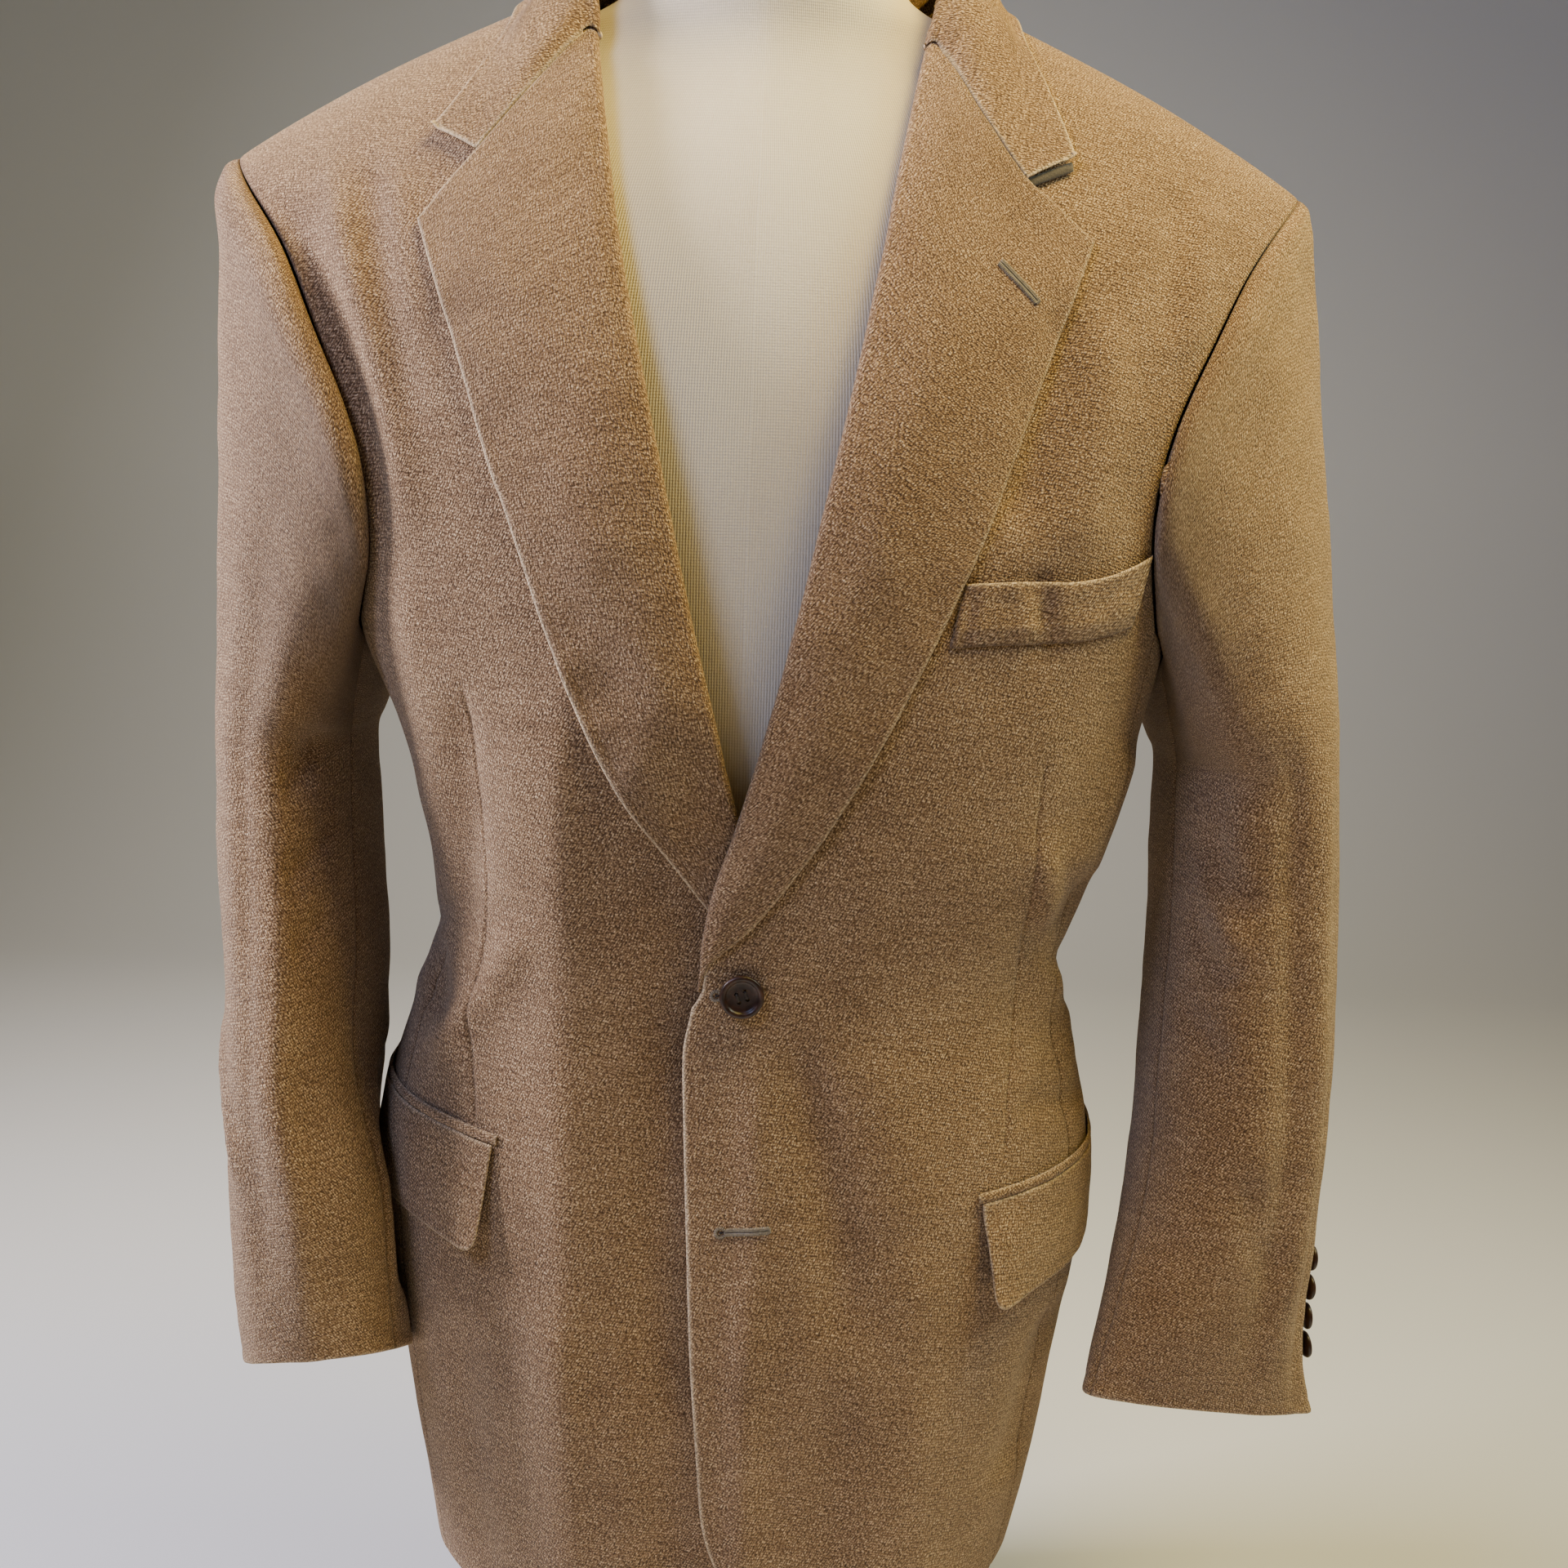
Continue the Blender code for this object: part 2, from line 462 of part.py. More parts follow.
def lapel(side, rows, cols, legs=1, bend=5, leg=0.0065):
    """From inside the front, round the crease and over the chest to the outer edge."""
    tab = LAPEL_LEFT if side > 0 else LAPEL_RIGHT
    key = side_key(side)
    at = lambda k, t: float(mono(tab["t"], tab[k], t))
    grid = []
    for t in lapel_shares(rows):
        rx, rb, ex, eb = (at(k, t) for k in ("roll_x", "roll_b", "edge_x", "edge_b"))
        e = 0.01
        tx, tb = at("roll_x", min(t + e, 1)) - at("roll_x", max(t - e, 0)), at("roll_b", min(t + e, 1)) - at("roll_b", max(t - e, 0))
        square = np.array([-tb, tx]) / math.hypot(tx, tb)
        r = ROLL_R * (0.85 + 0.15 * float(ease(t, 0.0, 0.20)))
        small = 0.72 + 0.28 * float(ease(t, 0.10, 0.35))
        path = []          # (x, b, out)
        for i in range(legs, 0, -1):
            path.append((*(np.array([rx, rb]) + square * (r + leg * i / legs)), -r - 0.001))
        for i in range(bend + 1):
            a = math.pi * (0.5 - i / bend)
            path.append((*(np.array([rx, rb]) + square * (r - r * math.cos(a))), -0.001 - r * math.sin(a)))
        s0 = np.array(path[-1][:2])
        wide = max(math.hypot(ex - s0[0], eb - s0[1]), 1e-4)
        v0 = r / (wide + r)
        lift = lambda v: float(mono(LAPEL_LIFT["v"], LAPEL_LIFT["out"], v)) * small
        for i in range(1, cols + 1):
            w = i / cols
            v = v0 + (1 - v0) * w
            x, b = s0 + (np.array([ex, eb]) - s0) * w
            b += float(mono(GORGE["v"], GORGE[key], v)) * float(ease(t, 0.62, 1.0))
            path.append((x, b, lift(v) + (r - 0.001 - lift(v0)) * (1 - w) ** 3))
        grid.append(path)
    x, b, out = np.moveaxis(np.array(grid, float), -1, 0)
    p = at_xb(x, b, side) + normal_xb(x, b, side) * out[..., None]
    if side < 0:
        p[..., 1] += dip(x, b)
    return p


def lapel_shares(rows):
    """Rows lie closer where the lapel narrows to its lower end."""
    u = np.linspace(0, 1, rows + 1)
    return u * (0.45 + 0.55 * u)


def push_off(p, gap):
    """Moves a point of the collar off the body's surface to at least a gap."""
    side = 1 if p[0] > 0 else -1
    x, b = abs(p[0]), SHOULDER_Z - p[2]
    rb = float(ridge_b(x))
    if b < rb + 0.001:
        return p if p[2] > SHOULDER_Z - rb + gap else np.array([p[0], p[1], SHOULDER_Z - rb + gap])
    back = p[1] > RIDGE_Y
    s = at_xb(x, b, side, back)
    n = normal_xb(x, b, side, back)
    d = float((p - s) @ n)
    return p + n * (gap - d) if d < gap else p


def collar_row(u, side, cols, stand=3, bend=4, gap=0.0050):
    key = side_key(side)
    get = lambda k: float(mono(COLLAR["u"], COLLAR[k], u))
    seam = np.array([get("seam_x") * side, get("seam_y"), SHOULDER_Z - get("seam_b")])
    fold = np.array([get("fold_x") * side, get("fold_y"), SHOULDER_Z - get("fold_b")])
    edge = np.array([get("edge_x") * side, get("edge_y"), SHOULDER_Z - get("edge_b")])
    end = float(ease(u, 0.86, 1.0))
    tip = np.array(COLLAR_END[key])
    if end > 0:
        g = gorge(side, 0.0, COLLAR_SEAM)
        fold = fold * (1 - end) + off_xb(g[0], g[1], side, 0.003) * end
        edge = edge * (1 - end) + off_xb(tip[0], tip[1], side, gap) * end
    r = 0.0042
    line = [seam + (fold - seam) * i / stand for i in range(stand)]
    inward = unit(np.array([fold[0], fold[1] - 0.004, 0.0]))      # away from the neck
    for i in range(bend + 1):
        a = math.pi * i / bend
        line.append(fold + inward * (r - r * math.cos(a)) + np.array([0, 0, 1.0]) * r * math.sin(a) * (1 - 0.5 * end))
    start = line[-1]
    s0 = np.array([abs(start[0]), SHOULDER_Z - start[2]])
    knee, vn = 0.70, NOTCH_V[key]
    for i in range(1, cols + 1):
        v = i / cols
        p = start + (edge - start) * v + np.array([0, 0, 0.004 * math.sin(math.pi * v) * (1 - end)])
        if end > 0:
            if v <= knee:
                w = v / knee
                xb = gorge(side, vn * w, COLLAR_SEAM) + (s0 - gorge(side, 0.0, COLLAR_SEAM)) * (1 - w) ** 2
            else:
                n = gorge(side, vn, COLLAR_SEAM)
                xb = n + (tip - n) * (v - knee) / (1 - knee)
            out = 0.003 + (gap - 0.003) * min(1.0, v * 2.0)
            p = p * (1 - end) + off_xb(xb[0], xb[1], side, out + 0.0006) * end
        line.append(push_off(p, gap))
    return np.array(line)


def collar(rows, cols):
    us = np.linspace(0, 1, rows + 1)
    right = [collar_row(u, -1, cols) for u in us[::-1]]
    left = [collar_row(u, 1, cols) for u in us[1:]]
    return np.array(right + left)


# ---------------------------------------------------------------- sleeves
def head_dir(psi, side):
    v = np.array([mono(HEAD_DIR["psi"], HEAD_DIR[k], psi % 360) for k in "xyz"])
    v = v / np.linalg.norm(v)
    return v * np.array([side, 1, 1])


def hind_turn(side, b, psi):
    """How far a point round the sleeve has turned with the hind seam by a level b, in degrees."""
    most, spread = HIND_SHIFT[side_key(side)]
    away = (psi - 285 + 180) % 360 - 180
    return most * ease(b, 0.25, 0.55) * np.exp(-(away / spread) ** 2)


def sleeve_ring(side, b, psi, beta=None):
    """A point of the sleeve's section at a level b, at an angle from its outer side by the front."""
    tab = SLEEVE_LEFT if side > 0 else SLEEVE_RIGHT
    get = lambda k: float(spline(tab["b"], tab[k], b))
    a = math.radians(psi + float(hind_turn(side, b, psi)))
    n = 2.15
    c, s = math.cos(a), math.sin(a)
    x = get("ax") * math.copysign(abs(c) ** (2 / n), c)
    y = -get("ay") * math.copysign(abs(s) ** (2 / n), s)
    w = math.radians(get("turn"))
    x, y = x * math.cos(w) - y * math.sin(w), x * math.sin(w) + y * math.cos(w)
    tx, ty = CUFF_TILT[side_key(side)]
    low = float(ease(b, tab["b"][-1] - 0.12, tab["b"][-1]))
    db = (tx * x + ty * y) * low
    return np.array([(get("xc") + x) * side, get("yc") + y, SHOULDER_Z - b - db])


def clear_body(p, side, gap):
    """Pushes a point of the sleeve sideways until it is a gap away from the body."""
    b = SHOULDER_Z - p[2]
    y = p[1]
    back = y > 0
    a = float(column(BODY, side_key(side), b))
    d = float(column(BODY, "back" if back else "front", b))
    n = float(column(BODY, "nb" if back else "nf", b))
    if abs(y) >= d:
        return p
    # distance along the section's normal, to first order
    x = abs(p[0])
    for _ in range(4):
        f = (x / (a + gap)) ** n + (abs(y) / (d + gap)) ** n
        if f >= 1:
            break
        x = (a + gap) * (1 - (abs(y) / (d + gap)) ** n) ** (1 / n)
    return np.array([x * side, p[1], p[2]])


def sleeve_columns(nf, nb, nk):
    """(armhole part, share, angle) round the sleeve, from the top by the front."""
    cols = [("front", i / nf, 148.0 * i / nf) for i in range(nf)]
    cols += [("low", i / nb, 148.0 + 64.0 * i / nb) for i in range(nb)]
    cols += [("back", i / nk, 212.0 + 148.0 * i / nk) for i in range(nk)]
    return cols


def sleeve(side, cols, betas, levels, start=0.0011, gap=0.0022, flap=None):
    """Rings from the armhole to the cuff."""
    tab = SLEEVE_LEFT if side > 0 else SLEEVE_RIGHT
    key = side_key(side)
    b1 = tab["b"][0]
    arm = [arm_point(side, part, f) for part, f, _ in cols]
    grid = []
    for beta in betas:
        line = []
        for (part, f, psi), a in zip(cols, arm):
            if beta == 0:
                line.append(a + head_dir(psi, side) * start)
                continue
            e = sleeve_ring(side, b1, psi)
            bulge = float(mono(CAP["beta"], CAP[key], beta))
            c, s = math.cos(math.radians(psi)), math.sin(math.radians(psi))
            p = a + (e - a) * beta + np.array([max(c, 0) * side, -0.9 * s, 0]) * bulge
            p = p + head_dir(psi, side) * start * (1 - beta)
            line.append(clear_body(p, side, gap * (0.35 + 0.65 * float(ease(beta, 0, 0.25)))) if 100 < psi < 260 else p)
        grid.append(line)
    for b in levels:
        g = gap + (flap(b) if flap else 0.0)
        grid.append([clear_body(sleeve_ring(side, b, psi), side, g) for _, _, psi in cols])
    return np.array(grid)


# ---------------------------------------------------------------- what lies on the panels
WELT = dict(
    u=    [0.0,   0.25,  0.5,   0.75,  1.0],
    top_x=[0.0944,0.1162,0.1380,0.1598,0.1814],
    top_b=[0.1930,0.1912,0.1906,0.1868,0.1771],
    low_x=[0.0890,0.1105,0.1320,0.1535,0.1749],
    low_b=[0.2197,0.2180,0.2172,0.2150,0.2093],
)
FLAP = dict(              # inner upper corner, fall toward the side, slant of the inner end
    left= dict(x=0.1198, b=0.4830, rise=0.095, lean=0.0040),
    right=dict(x=0.1100, b=0.4600, rise=0.110, lean=0.0030),
)
FLAP_W, FLAP_H, FLAP_R = 0.155, 0.050, 0.013
JET_H = 0.0050
ON = 0.0010               # least distance of a laid-on piece's underside from the panel


def welt_point(u, v, out, side=1):
    x = column(WELT, "top_x", u, "u") * (1 - v) + column(WELT, "low_x", u, "u") * v
    b = column(WELT, "top_b", u, "u") * (1 - v) + column(WELT, "low_b", u, "u") * v
    return off_xb(x, b, side, out)


def flap_point(side, s, h, out):
    """s metres round the body from the flap's inner end, h metres below its upper edge."""
    f = FLAP[side_key(side)]
    if side_key(side) not in FLAP_RUN:
        phi = np.linspace(20, 150, 261)
        p0 = float(phi_at_x(f["x"], f["b"], side))
        pts = ring(phi, f["b"] - f["rise"] * 0.05, side)
        run = np.concatenate([[0], np.cumsum(np.linalg.norm(np.diff(pts, axis=0), axis=1))])
        FLAP_RUN[side_key(side)] = (phi, run - np.interp(p0, phi, run))
    phi, run = FLAP_RUN[side_key(side)]
    s, h = np.broadcast_arrays(np.asarray(s, float), np.asarray(h, float))
    b = f["b"] - f["rise"] * np.sin(np.clip(s / FLAP_W, -0.1, 1) * 1.35) * FLAP_W / 1.6 + h
    p = np.interp(s + f["lean"] * h / FLAP_H, run, phi)
    return off_ring(p, b, side, out)


FLAP_RUN = {}


def flap_grid(side, rows, cols, out):
    grid = []
    for i in range(cols + 1):
        s = FLAP_W * i / cols
        s = FLAP_W * (0.5 - 0.5 * math.cos(math.pi * i / cols)) * 0.45 + s * 0.55
        e = min(s, FLAP_W - s)
        short = FLAP_R - math.sqrt(max(FLAP_R**2 - max(FLAP_R - e, 0) ** 2, 0))
        grid.append([flap_point(side, s, 0.0006 + (FLAP_H - short) * j / rows, out) for j in range(rows, -1, -1)])
    return np.array(grid).transpose(1, 0, 2)


def jet_grid(side, cols, out):
    s = np.linspace(-0.002, FLAP_W + 0.002, cols + 1)
    return np.array([flap_point(side, s, np.full_like(s, h), out) for h in (0.0, -JET_H / 2, -JET_H)])


# ---------------------------------------------------------------- dress form
FORM = dict(
    b=    [-0.155,-0.120,-0.095,-0.082,-0.070,-0.058,-0.040,-0.015,0.015, 0.050, 0.090, 0.135, 0.185, 0.235, 0.290, 0.350, 0.400, 0.450, 0.520, 0.600, 0.660, 0.685],
    half= [0.0640,0.0650,0.0665,0.0690,0.0900,0.1250,0.1600,0.1880,0.2020,0.2050,0.2020,0.1930,0.1800,0.1710,0.1530,0.1400,0.1440,0.1560,0.1620,0.1530,0.1430,0.1340],
    front=[0.0600,0.0605,0.0600,0.0590,0.0580,0.0580,0.0620,0.0740,0.0890,0.1020,0.1110,0.1160,0.1180,0.1170,0.1130,0.1040,0.1000,0.1020,0.1050,0.1040,0.1010,0.0940],
    back= [0.0600,0.0600,0.0595,0.0590,0.0590,0.0610,0.0690,0.0800,0.0900,0.1010,0.1090,0.1150,0.1180,0.1160,0.1090,0.1030,0.1050,0.1130,0.1200,0.1220,0.1220,0.1150],
    n=    [2.00,  2.00,  2.00,  2.00,  1.80,  1.55,  1.55,  1.65,  1.80,  1.95,  2.10,  2.20,  2.25,  2.25,  2.20,  2.20,  2.20,  2.20,  2.20,  2.20,  2.20,  2.20],
)
FORM_Y = 0.004


def form_point(phi, b):
    a, n = float(column(FORM, "half", b)), float(column(FORM, "n", b))
    c, s = math.cos(math.radians(phi)), math.sin(math.radians(phi))
    d = float(column(FORM, "front" if c > 0 else "back", b))
    r = ((abs(s) / a) ** n + (abs(c) / d) ** n) ** (-1 / n)
    return np.array([r * s, -r * c + FORM_Y, SHOULDER_Z - b])

# ---------------------------------------------------------------- sizes of this build
SEAM = GAP / 2            # each panel's share of a seam
FACING = 0.0016           # wall of the lapels and the collar
FRONT_LEVELS = [0.718, 0.711, 0.695, 0.655, 0.594, 0.530, 0.470, 0.438, 0.414, 0.394, 0.372, 0.352, 0.328, 0.300, 0.268, 0.235]
UP_LEVELS = [0.200, 0.160, 0.115, 0.065, 0.015, -0.030, -0.065, -0.0855]   # at the crease, above the chest
BACK_UPS = [0.045, 0.105, 0.20, 0.36, 0.58, 0.80, 1.0]
CAP_RINGS = [0, 0.03, 0.09, 0.18, 0.32, 0.52, 0.76]
ARM_LEVELS = dict(
    left= [0.280, 0.318, 0.354, 0.386, 0.416, 0.448, 0.484, 0.524, 0.562, 0.588, 0.609],
    right=[0.280, 0.316, 0.350, 0.380, 0.408, 0.438, 0.472, 0.508, 0.540, 0.566, 0.585],
)
FLAP_ROOM = dict(left=0.005, right=0.006)
BUTTON_X, BUTTON_B, LOW_BUTTON_B = 0.0035, 0.3797, 0.4917
CUFF_BUTTONS = dict(left=[0.5329, 0.5471, 0.5613, 0.5755], right=[0.5089, 0.5231, 0.5373, 0.5515])   # levels, close together
CUFF_PSI = dict(left=322.0, right=292.0)
CUFF_BUTTON_R = 0.0068
STEM_R, BASE_R, BASE_T = 0.014, 0.150, 0.012

TWEED = (0.40, 0.29, 0.19)
FELT = (0.06, 0.055, 0.05)
HORN = (0.035, 0.022, 0.016)
JERSEY = (0.78, 0.73, 0.64)
METAL = (0.45, 0.45, 0.46)

# ---------------------------------------------------------------- building
def clear_scene():
    for obj in list(bpy.data.objects):
        bpy.data.objects.remove(obj, do_unlink=True)
    for name in (MAIN, "cutters"):
        col = bpy.data.collections.new(name)
        bpy.context.scene.collection.children.link(col)


def material(name, colour, rough=0.9, metallic=0.0):
    mat = bpy.data.materials.new(name)
    mat.use_nodes = True
    node = mat.node_tree.nodes["Principled BSDF"]
    node.inputs["Base Color"].default_value = (*colour, 1.0)
    node.inputs["Roughness"].default_value = rough
    node.inputs["Metallic"].default_value = metallic
    mat.diffuse_color = (*colour, 1.0)
    return mat


def place(name, bm, colour, rough=0.9, smooth=True, collection=None, metallic=0.0):
    mesh = bpy.data.meshes.new(name)
    bm.to_mesh(mesh)
    bm.free()
    obj = bpy.data.objects.new(name, mesh)
    bpy.data.collections[collection or MAIN].objects.link(obj)
    mesh.materials.append(material(name, colour, rough, metallic))
    for poly in mesh.polygons:
        poly.use_smooth = smooth
    return obj


def cloth(name, grid, out=None, wall=WALL, colour=TWEED, turned=False):
    """A sheet of cloth lofted through rows of sections: each row is the outer face's points and, a wall deeper, the inner face's."""
    grid = np.asarray(grid, float)
    if out is None:
        out = across(grid) * (-1 if turned else 1)
    inner = grid - out * wall
    rows, cols = grid.shape[:2]
    bm = bmesh.new()
    face = [[bm.verts.new(p) for p in row] for row in grid]
    back = [[bm.verts.new(p) for p in row] for row in inner]
    for i in range(rows - 1):
        for j in range(cols - 1):
            bm.faces.new((face[i][j], face[i][j + 1], face[i + 1][j + 1], face[i + 1][j]))
            bm.faces.new((back[i][j], back[i + 1][j], back[i + 1][j + 1], back[i][j + 1]))
    for i in range(rows - 1):
        bm.faces.new((face[i][0], face[i + 1][0], back[i + 1][0], back[i][0]))
        bm.faces.new((face[i][-1], back[i][-1], back[i + 1][-1], face[i + 1][-1]))
    for j in range(cols - 1):
        bm.faces.new((face[0][j], back[0][j], back[0][j + 1], face[0][j + 1]))
        bm.faces.new((face[-1][j], face[-1][j + 1], back[-1][j + 1], back[-1][j]))
    bmesh.ops.recalc_face_normals(bm, faces=bm.faces)
    return place(name, bm, colour)


def lathe(name, profile, segments, colour, rough=0.4, metallic=0.0):
    """A turned piece: its profile (radius, height) swept once round Z with a Screw."""
    bm = bmesh.new()
    verts = [bm.verts.new((r, 0, z)) for r, z in profile]
    for a, b in zip(verts[:-1], verts[1:]):
        bm.edges.new((a, b))
    obj = place(name, bm, colour, rough, metallic=metallic)
    mod = obj.modifiers.new("turn", "SCREW")
    mod.steps = mod.render_steps = segments
    mod.angle = 2 * math.pi
    mod.use_merge_vertices = True
    mod.merge_threshold = 0.00001
    mod.use_normal_calculate = True
    return obj


def stand_on(obj, point, normal, turn=0.0):
    z = Vector(normal).normalized()
    x = Vector((1, 0, 0)) - z * z.x
    x.normalize()
    y = z.cross(x)
    m = Matrix((x, y, z)).transposed() @ Matrix.Rotation(turn, 3, "Z")
    obj.matrix_world = Matrix.Translation(Vector(point)) @ m.to_4x4()


def button(name, radius, thick, point, normal, segments, turn=0.2):
    rim = radius * 0.86
    profile = [(0, 0), (radius * 0.72, 0), (radius * 0.95, thick * 0.30), (radius, thick * 0.58),
               (radius * 0.95, thick * 0.90), (rim, thick), (radius * 0.66, thick * 0.70), (0, thick * 0.62)]
    obj = lathe(name, profile, segments, HORN, 0.25)
    stand_on(obj, point, normal, turn)
    bpy.context.view_layer.update()
    bm = bmesh.new()
    for sx in (-1, 1):
        for sy in (-1, 1):
            m = Matrix.Translation((sx * radius * 0.19, sy * radius * 0.19, thick * 0.3))
            bmesh.ops.create_cone(bm, cap_ends=True, segments=6, radius1=radius * 0.085, radius2=radius * 0.085,
                                  depth=thick * 2, matrix=m)
    cut = place(name + "_holes", bm, HORN, collection="cutters")
    cut.matrix_world = obj.matrix_world.copy()
    cut.hide_render = True
    cut.display_type = "WIRE"
    mod = obj.modifiers.new("holes", "BOOLEAN")
    mod.object = cut
    mod.operation = "DIFFERENCE"
    mod.solver = "EXACT"
    return obj


def inset_columns(grid, first, last):
    """Sets a grid's first and last columns back along its rows, so that seams stay open by a hair."""
    g = np.array(grid)
    if first:
        g[:, 0] += unit(grid[:, 1] - grid[:, 0]) * first
    if last:
        g[:, -1] += unit(grid[:, -2] - grid[:, -1]) * last
    return g


def inset_top(grid, by):
    g = np.array(grid)
    g[-1] += unit(grid[-2] - grid[-1]) * by
    return g


def body_panel(name, side, part, grid, levels, seams):
    n = body_normals(grid, side, part, levels)
    g = inset_columns(grid, *seams)
    if part != "side":
        g = inset_top(g, SEAM)
    cloth(name, g, n)


def build_jacket():
    for side, key in ((1, "left"), (-1, "right")):
        turned = side < 0
        levels = front_levels(side, FRONT_LEVELS)
        body_panel("front_" + key, side, "front", front_panel(side, levels, UP_LEVELS, 9), levels, (0, SEAM))
        body_panel("side_" + key, side, "side", side_panel(side, levels, 4), levels, (SEAM, SEAM))
        body_panel("back_" + key, side, "back", back_panel(side, levels, BACK_UPS, 7), levels, (SEAM, SEAM))
        cloth("lapel_" + key, lapel(side, 14, 5), None, FACING, TWEED, turned)
        cols = sleeve_columns(8, 4, 7)
        rings = sleeve(side, cols, CAP_RINGS, ARM_LEVELS[key], flap=lambda b: FLAP_ROOM[key] * float(ease(b, 0.41, 0.45)) * (1 - float(ease(b, 0.54, 0.58))))
        n = across(rings, True) * side
        pick = list(range(15, 19)) + list(range(10))
        cloth("under_sleeve_" + key, inset_columns(rings[:, 9:16], SEAM, SEAM), n[:, 9:16])
        cloth("upper_sleeve_" + key, inset_columns(rings[:, pick], SEAM, SEAM), n[:, pick])
        cloth("flap_" + key, flap_grid(side, 3, 9, ON + 0.0016), None, 0.0016, TWEED, turned)
        cloth("jet_" + key, jet_grid(side, 9, ON + 0.0012), None, 0.0012, TWEED, turned)
    cloth("collar", collar(10, 5), None, FACING, TWEED, True)
    u = np.linspace(0, 1, 7)
    cloth("breast_welt", [welt_point(u, np.full_like(u, v), ON + 0.0016) for v in (1.0, 0.5, 0.0)], None, 0.0016)
    cloth("undercollar_felt", felt_grid(), None, 0.0010, FELT)


def felt_grid():
    """The felt shows as a narrow bar between the collar's end and the top of the lapel."""
    inner, outer = np.array([0.1175, 0.0160]), np.array([0.1378, 0.0060])
    down = np.array([0.0006, 0.0046])
    rows = []
    for v in (1.0, 0.5, 0.0):
        p = [inner + (outer - inner) * u + down * v for u in (0.0, 0.5, 1.0)]
        rows.append([off_xb(x, b, 1, 0.0022) for x, b in p])
    return rows


def build_buttons():
    p = at_xb(BUTTON_X, BUTTON_B, 1) + normal_xb(BUTTON_X, BUTTON_B, 1) * 0.0016
    button("front_button", 0.01015, 0.0036, p, normal_xb(BUTTON_X, BUTTON_B, 1), 28)
    x = -0.0035
    n = normal_xb(x, LOW_BUTTON_B, -1)
    p = at_xb(x, LOW_BUTTON_B, -1) + np.array([0, float(dip(x, LOW_BUTTON_B)), 0]) + n * 0.0004
    button("front_button_lower", 0.01015, 0.0028, p, n, 28)
    for side, key in ((1, "left"), (-1, "right")):
        for i, b in enumerate(CUFF_BUTTONS[key]):
            p = sleeve_ring(side, b, CUFF_PSI[key])
            du = sleeve_ring(side, b, CUFF_PSI[key] + 4) - sleeve_ring(side, b, CUFF_PSI[key] - 4)
            dv = sleeve_ring(side, b - 0.004, CUFF_PSI[key]) - sleeve_ring(side, b + 0.004, CUFF_PSI[key])
            n = unit(np.cross(du, dv)) * -side
            if n[0] * side < 0 and n[1] < 0:
                n = -n
            button("cuff_button_%s_%d" % (key, i + 1), CUFF_BUTTON_R, 0.0028, p + n * 0.0011, n, 16)


def build_form():
    levels = np.concatenate([np.linspace(-0.155, -0.085, 4), np.linspace(-0.078, 0.0, 9), np.linspace(0.03, 0.235, 6),
                             np.linspace(0.28, 0.66, 9), [0.675, 0.684]])
    bm = bmesh.new()
    rows = []
    for b in levels[::-1]:
        shrink = 1.0 - 0.10 * float(ease(b, 0.655, 0.69))
        rows.append([bm.verts.new(form_point(phi, b) * [shrink, shrink, 1]) for phi in np.arange(0, 360, 10)])
    for lo, hi in zip(rows[:-1], rows[1:]):
        for j in range(len(lo)):
            k = (j + 1) % len(lo)
            bm.faces.new((lo[j], lo[k], hi[k], hi[j]))
    bm.faces.new(rows[0][::-1])
    bm.faces.new(rows[-1])
    bmesh.ops.recalc_face_normals(bm, faces=bm.faces)
    torso = place("form_torso", bm, JERSEY)
    bottom = SHOULDER_Z - 0.684
    lathe("form_stem", [(0, BASE_T + GAP), (STEM_R * 1.9, BASE_T + GAP), (STEM_R * 1.9, BASE_T + 0.010), (STEM_R, BASE_T + 0.016),
                        (STEM_R, bottom - GAP), (0, bottom - GAP)], 28, METAL, 0.35, 1.0)
    lathe("form_base", [(0, 0), (BASE_R, 0), (BASE_R, BASE_T - 0.003), (BASE_R - 0.003, BASE_T), (0, BASE_T)], 56, METAL, 0.4, 1.0)


clear_scene()
build_jacket()
build_buttons()
build_form()
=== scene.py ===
"""The looks of the tweed hacking jacket on its dress form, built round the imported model: every panel of cloth again as a fine,
folded shell with its weave, the worked buttonholes, the horn buttons with their thread, the jersey-covered form and the stand."""

import math

import bmesh
import bpy
import numpy as np
from mathutils import Matrix, Vector

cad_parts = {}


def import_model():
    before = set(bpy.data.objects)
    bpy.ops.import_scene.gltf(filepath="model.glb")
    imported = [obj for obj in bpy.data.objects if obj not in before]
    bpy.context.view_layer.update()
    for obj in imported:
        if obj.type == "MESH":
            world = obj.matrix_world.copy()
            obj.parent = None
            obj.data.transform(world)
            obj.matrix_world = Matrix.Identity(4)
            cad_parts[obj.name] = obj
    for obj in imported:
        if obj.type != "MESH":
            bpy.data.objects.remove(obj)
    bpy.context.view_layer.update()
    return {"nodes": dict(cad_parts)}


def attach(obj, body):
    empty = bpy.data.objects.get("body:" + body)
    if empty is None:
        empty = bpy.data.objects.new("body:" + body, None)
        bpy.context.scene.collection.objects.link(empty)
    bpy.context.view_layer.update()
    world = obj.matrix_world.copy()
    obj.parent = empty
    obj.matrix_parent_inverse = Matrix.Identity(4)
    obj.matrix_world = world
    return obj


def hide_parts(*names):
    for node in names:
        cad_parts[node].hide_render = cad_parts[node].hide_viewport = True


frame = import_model()


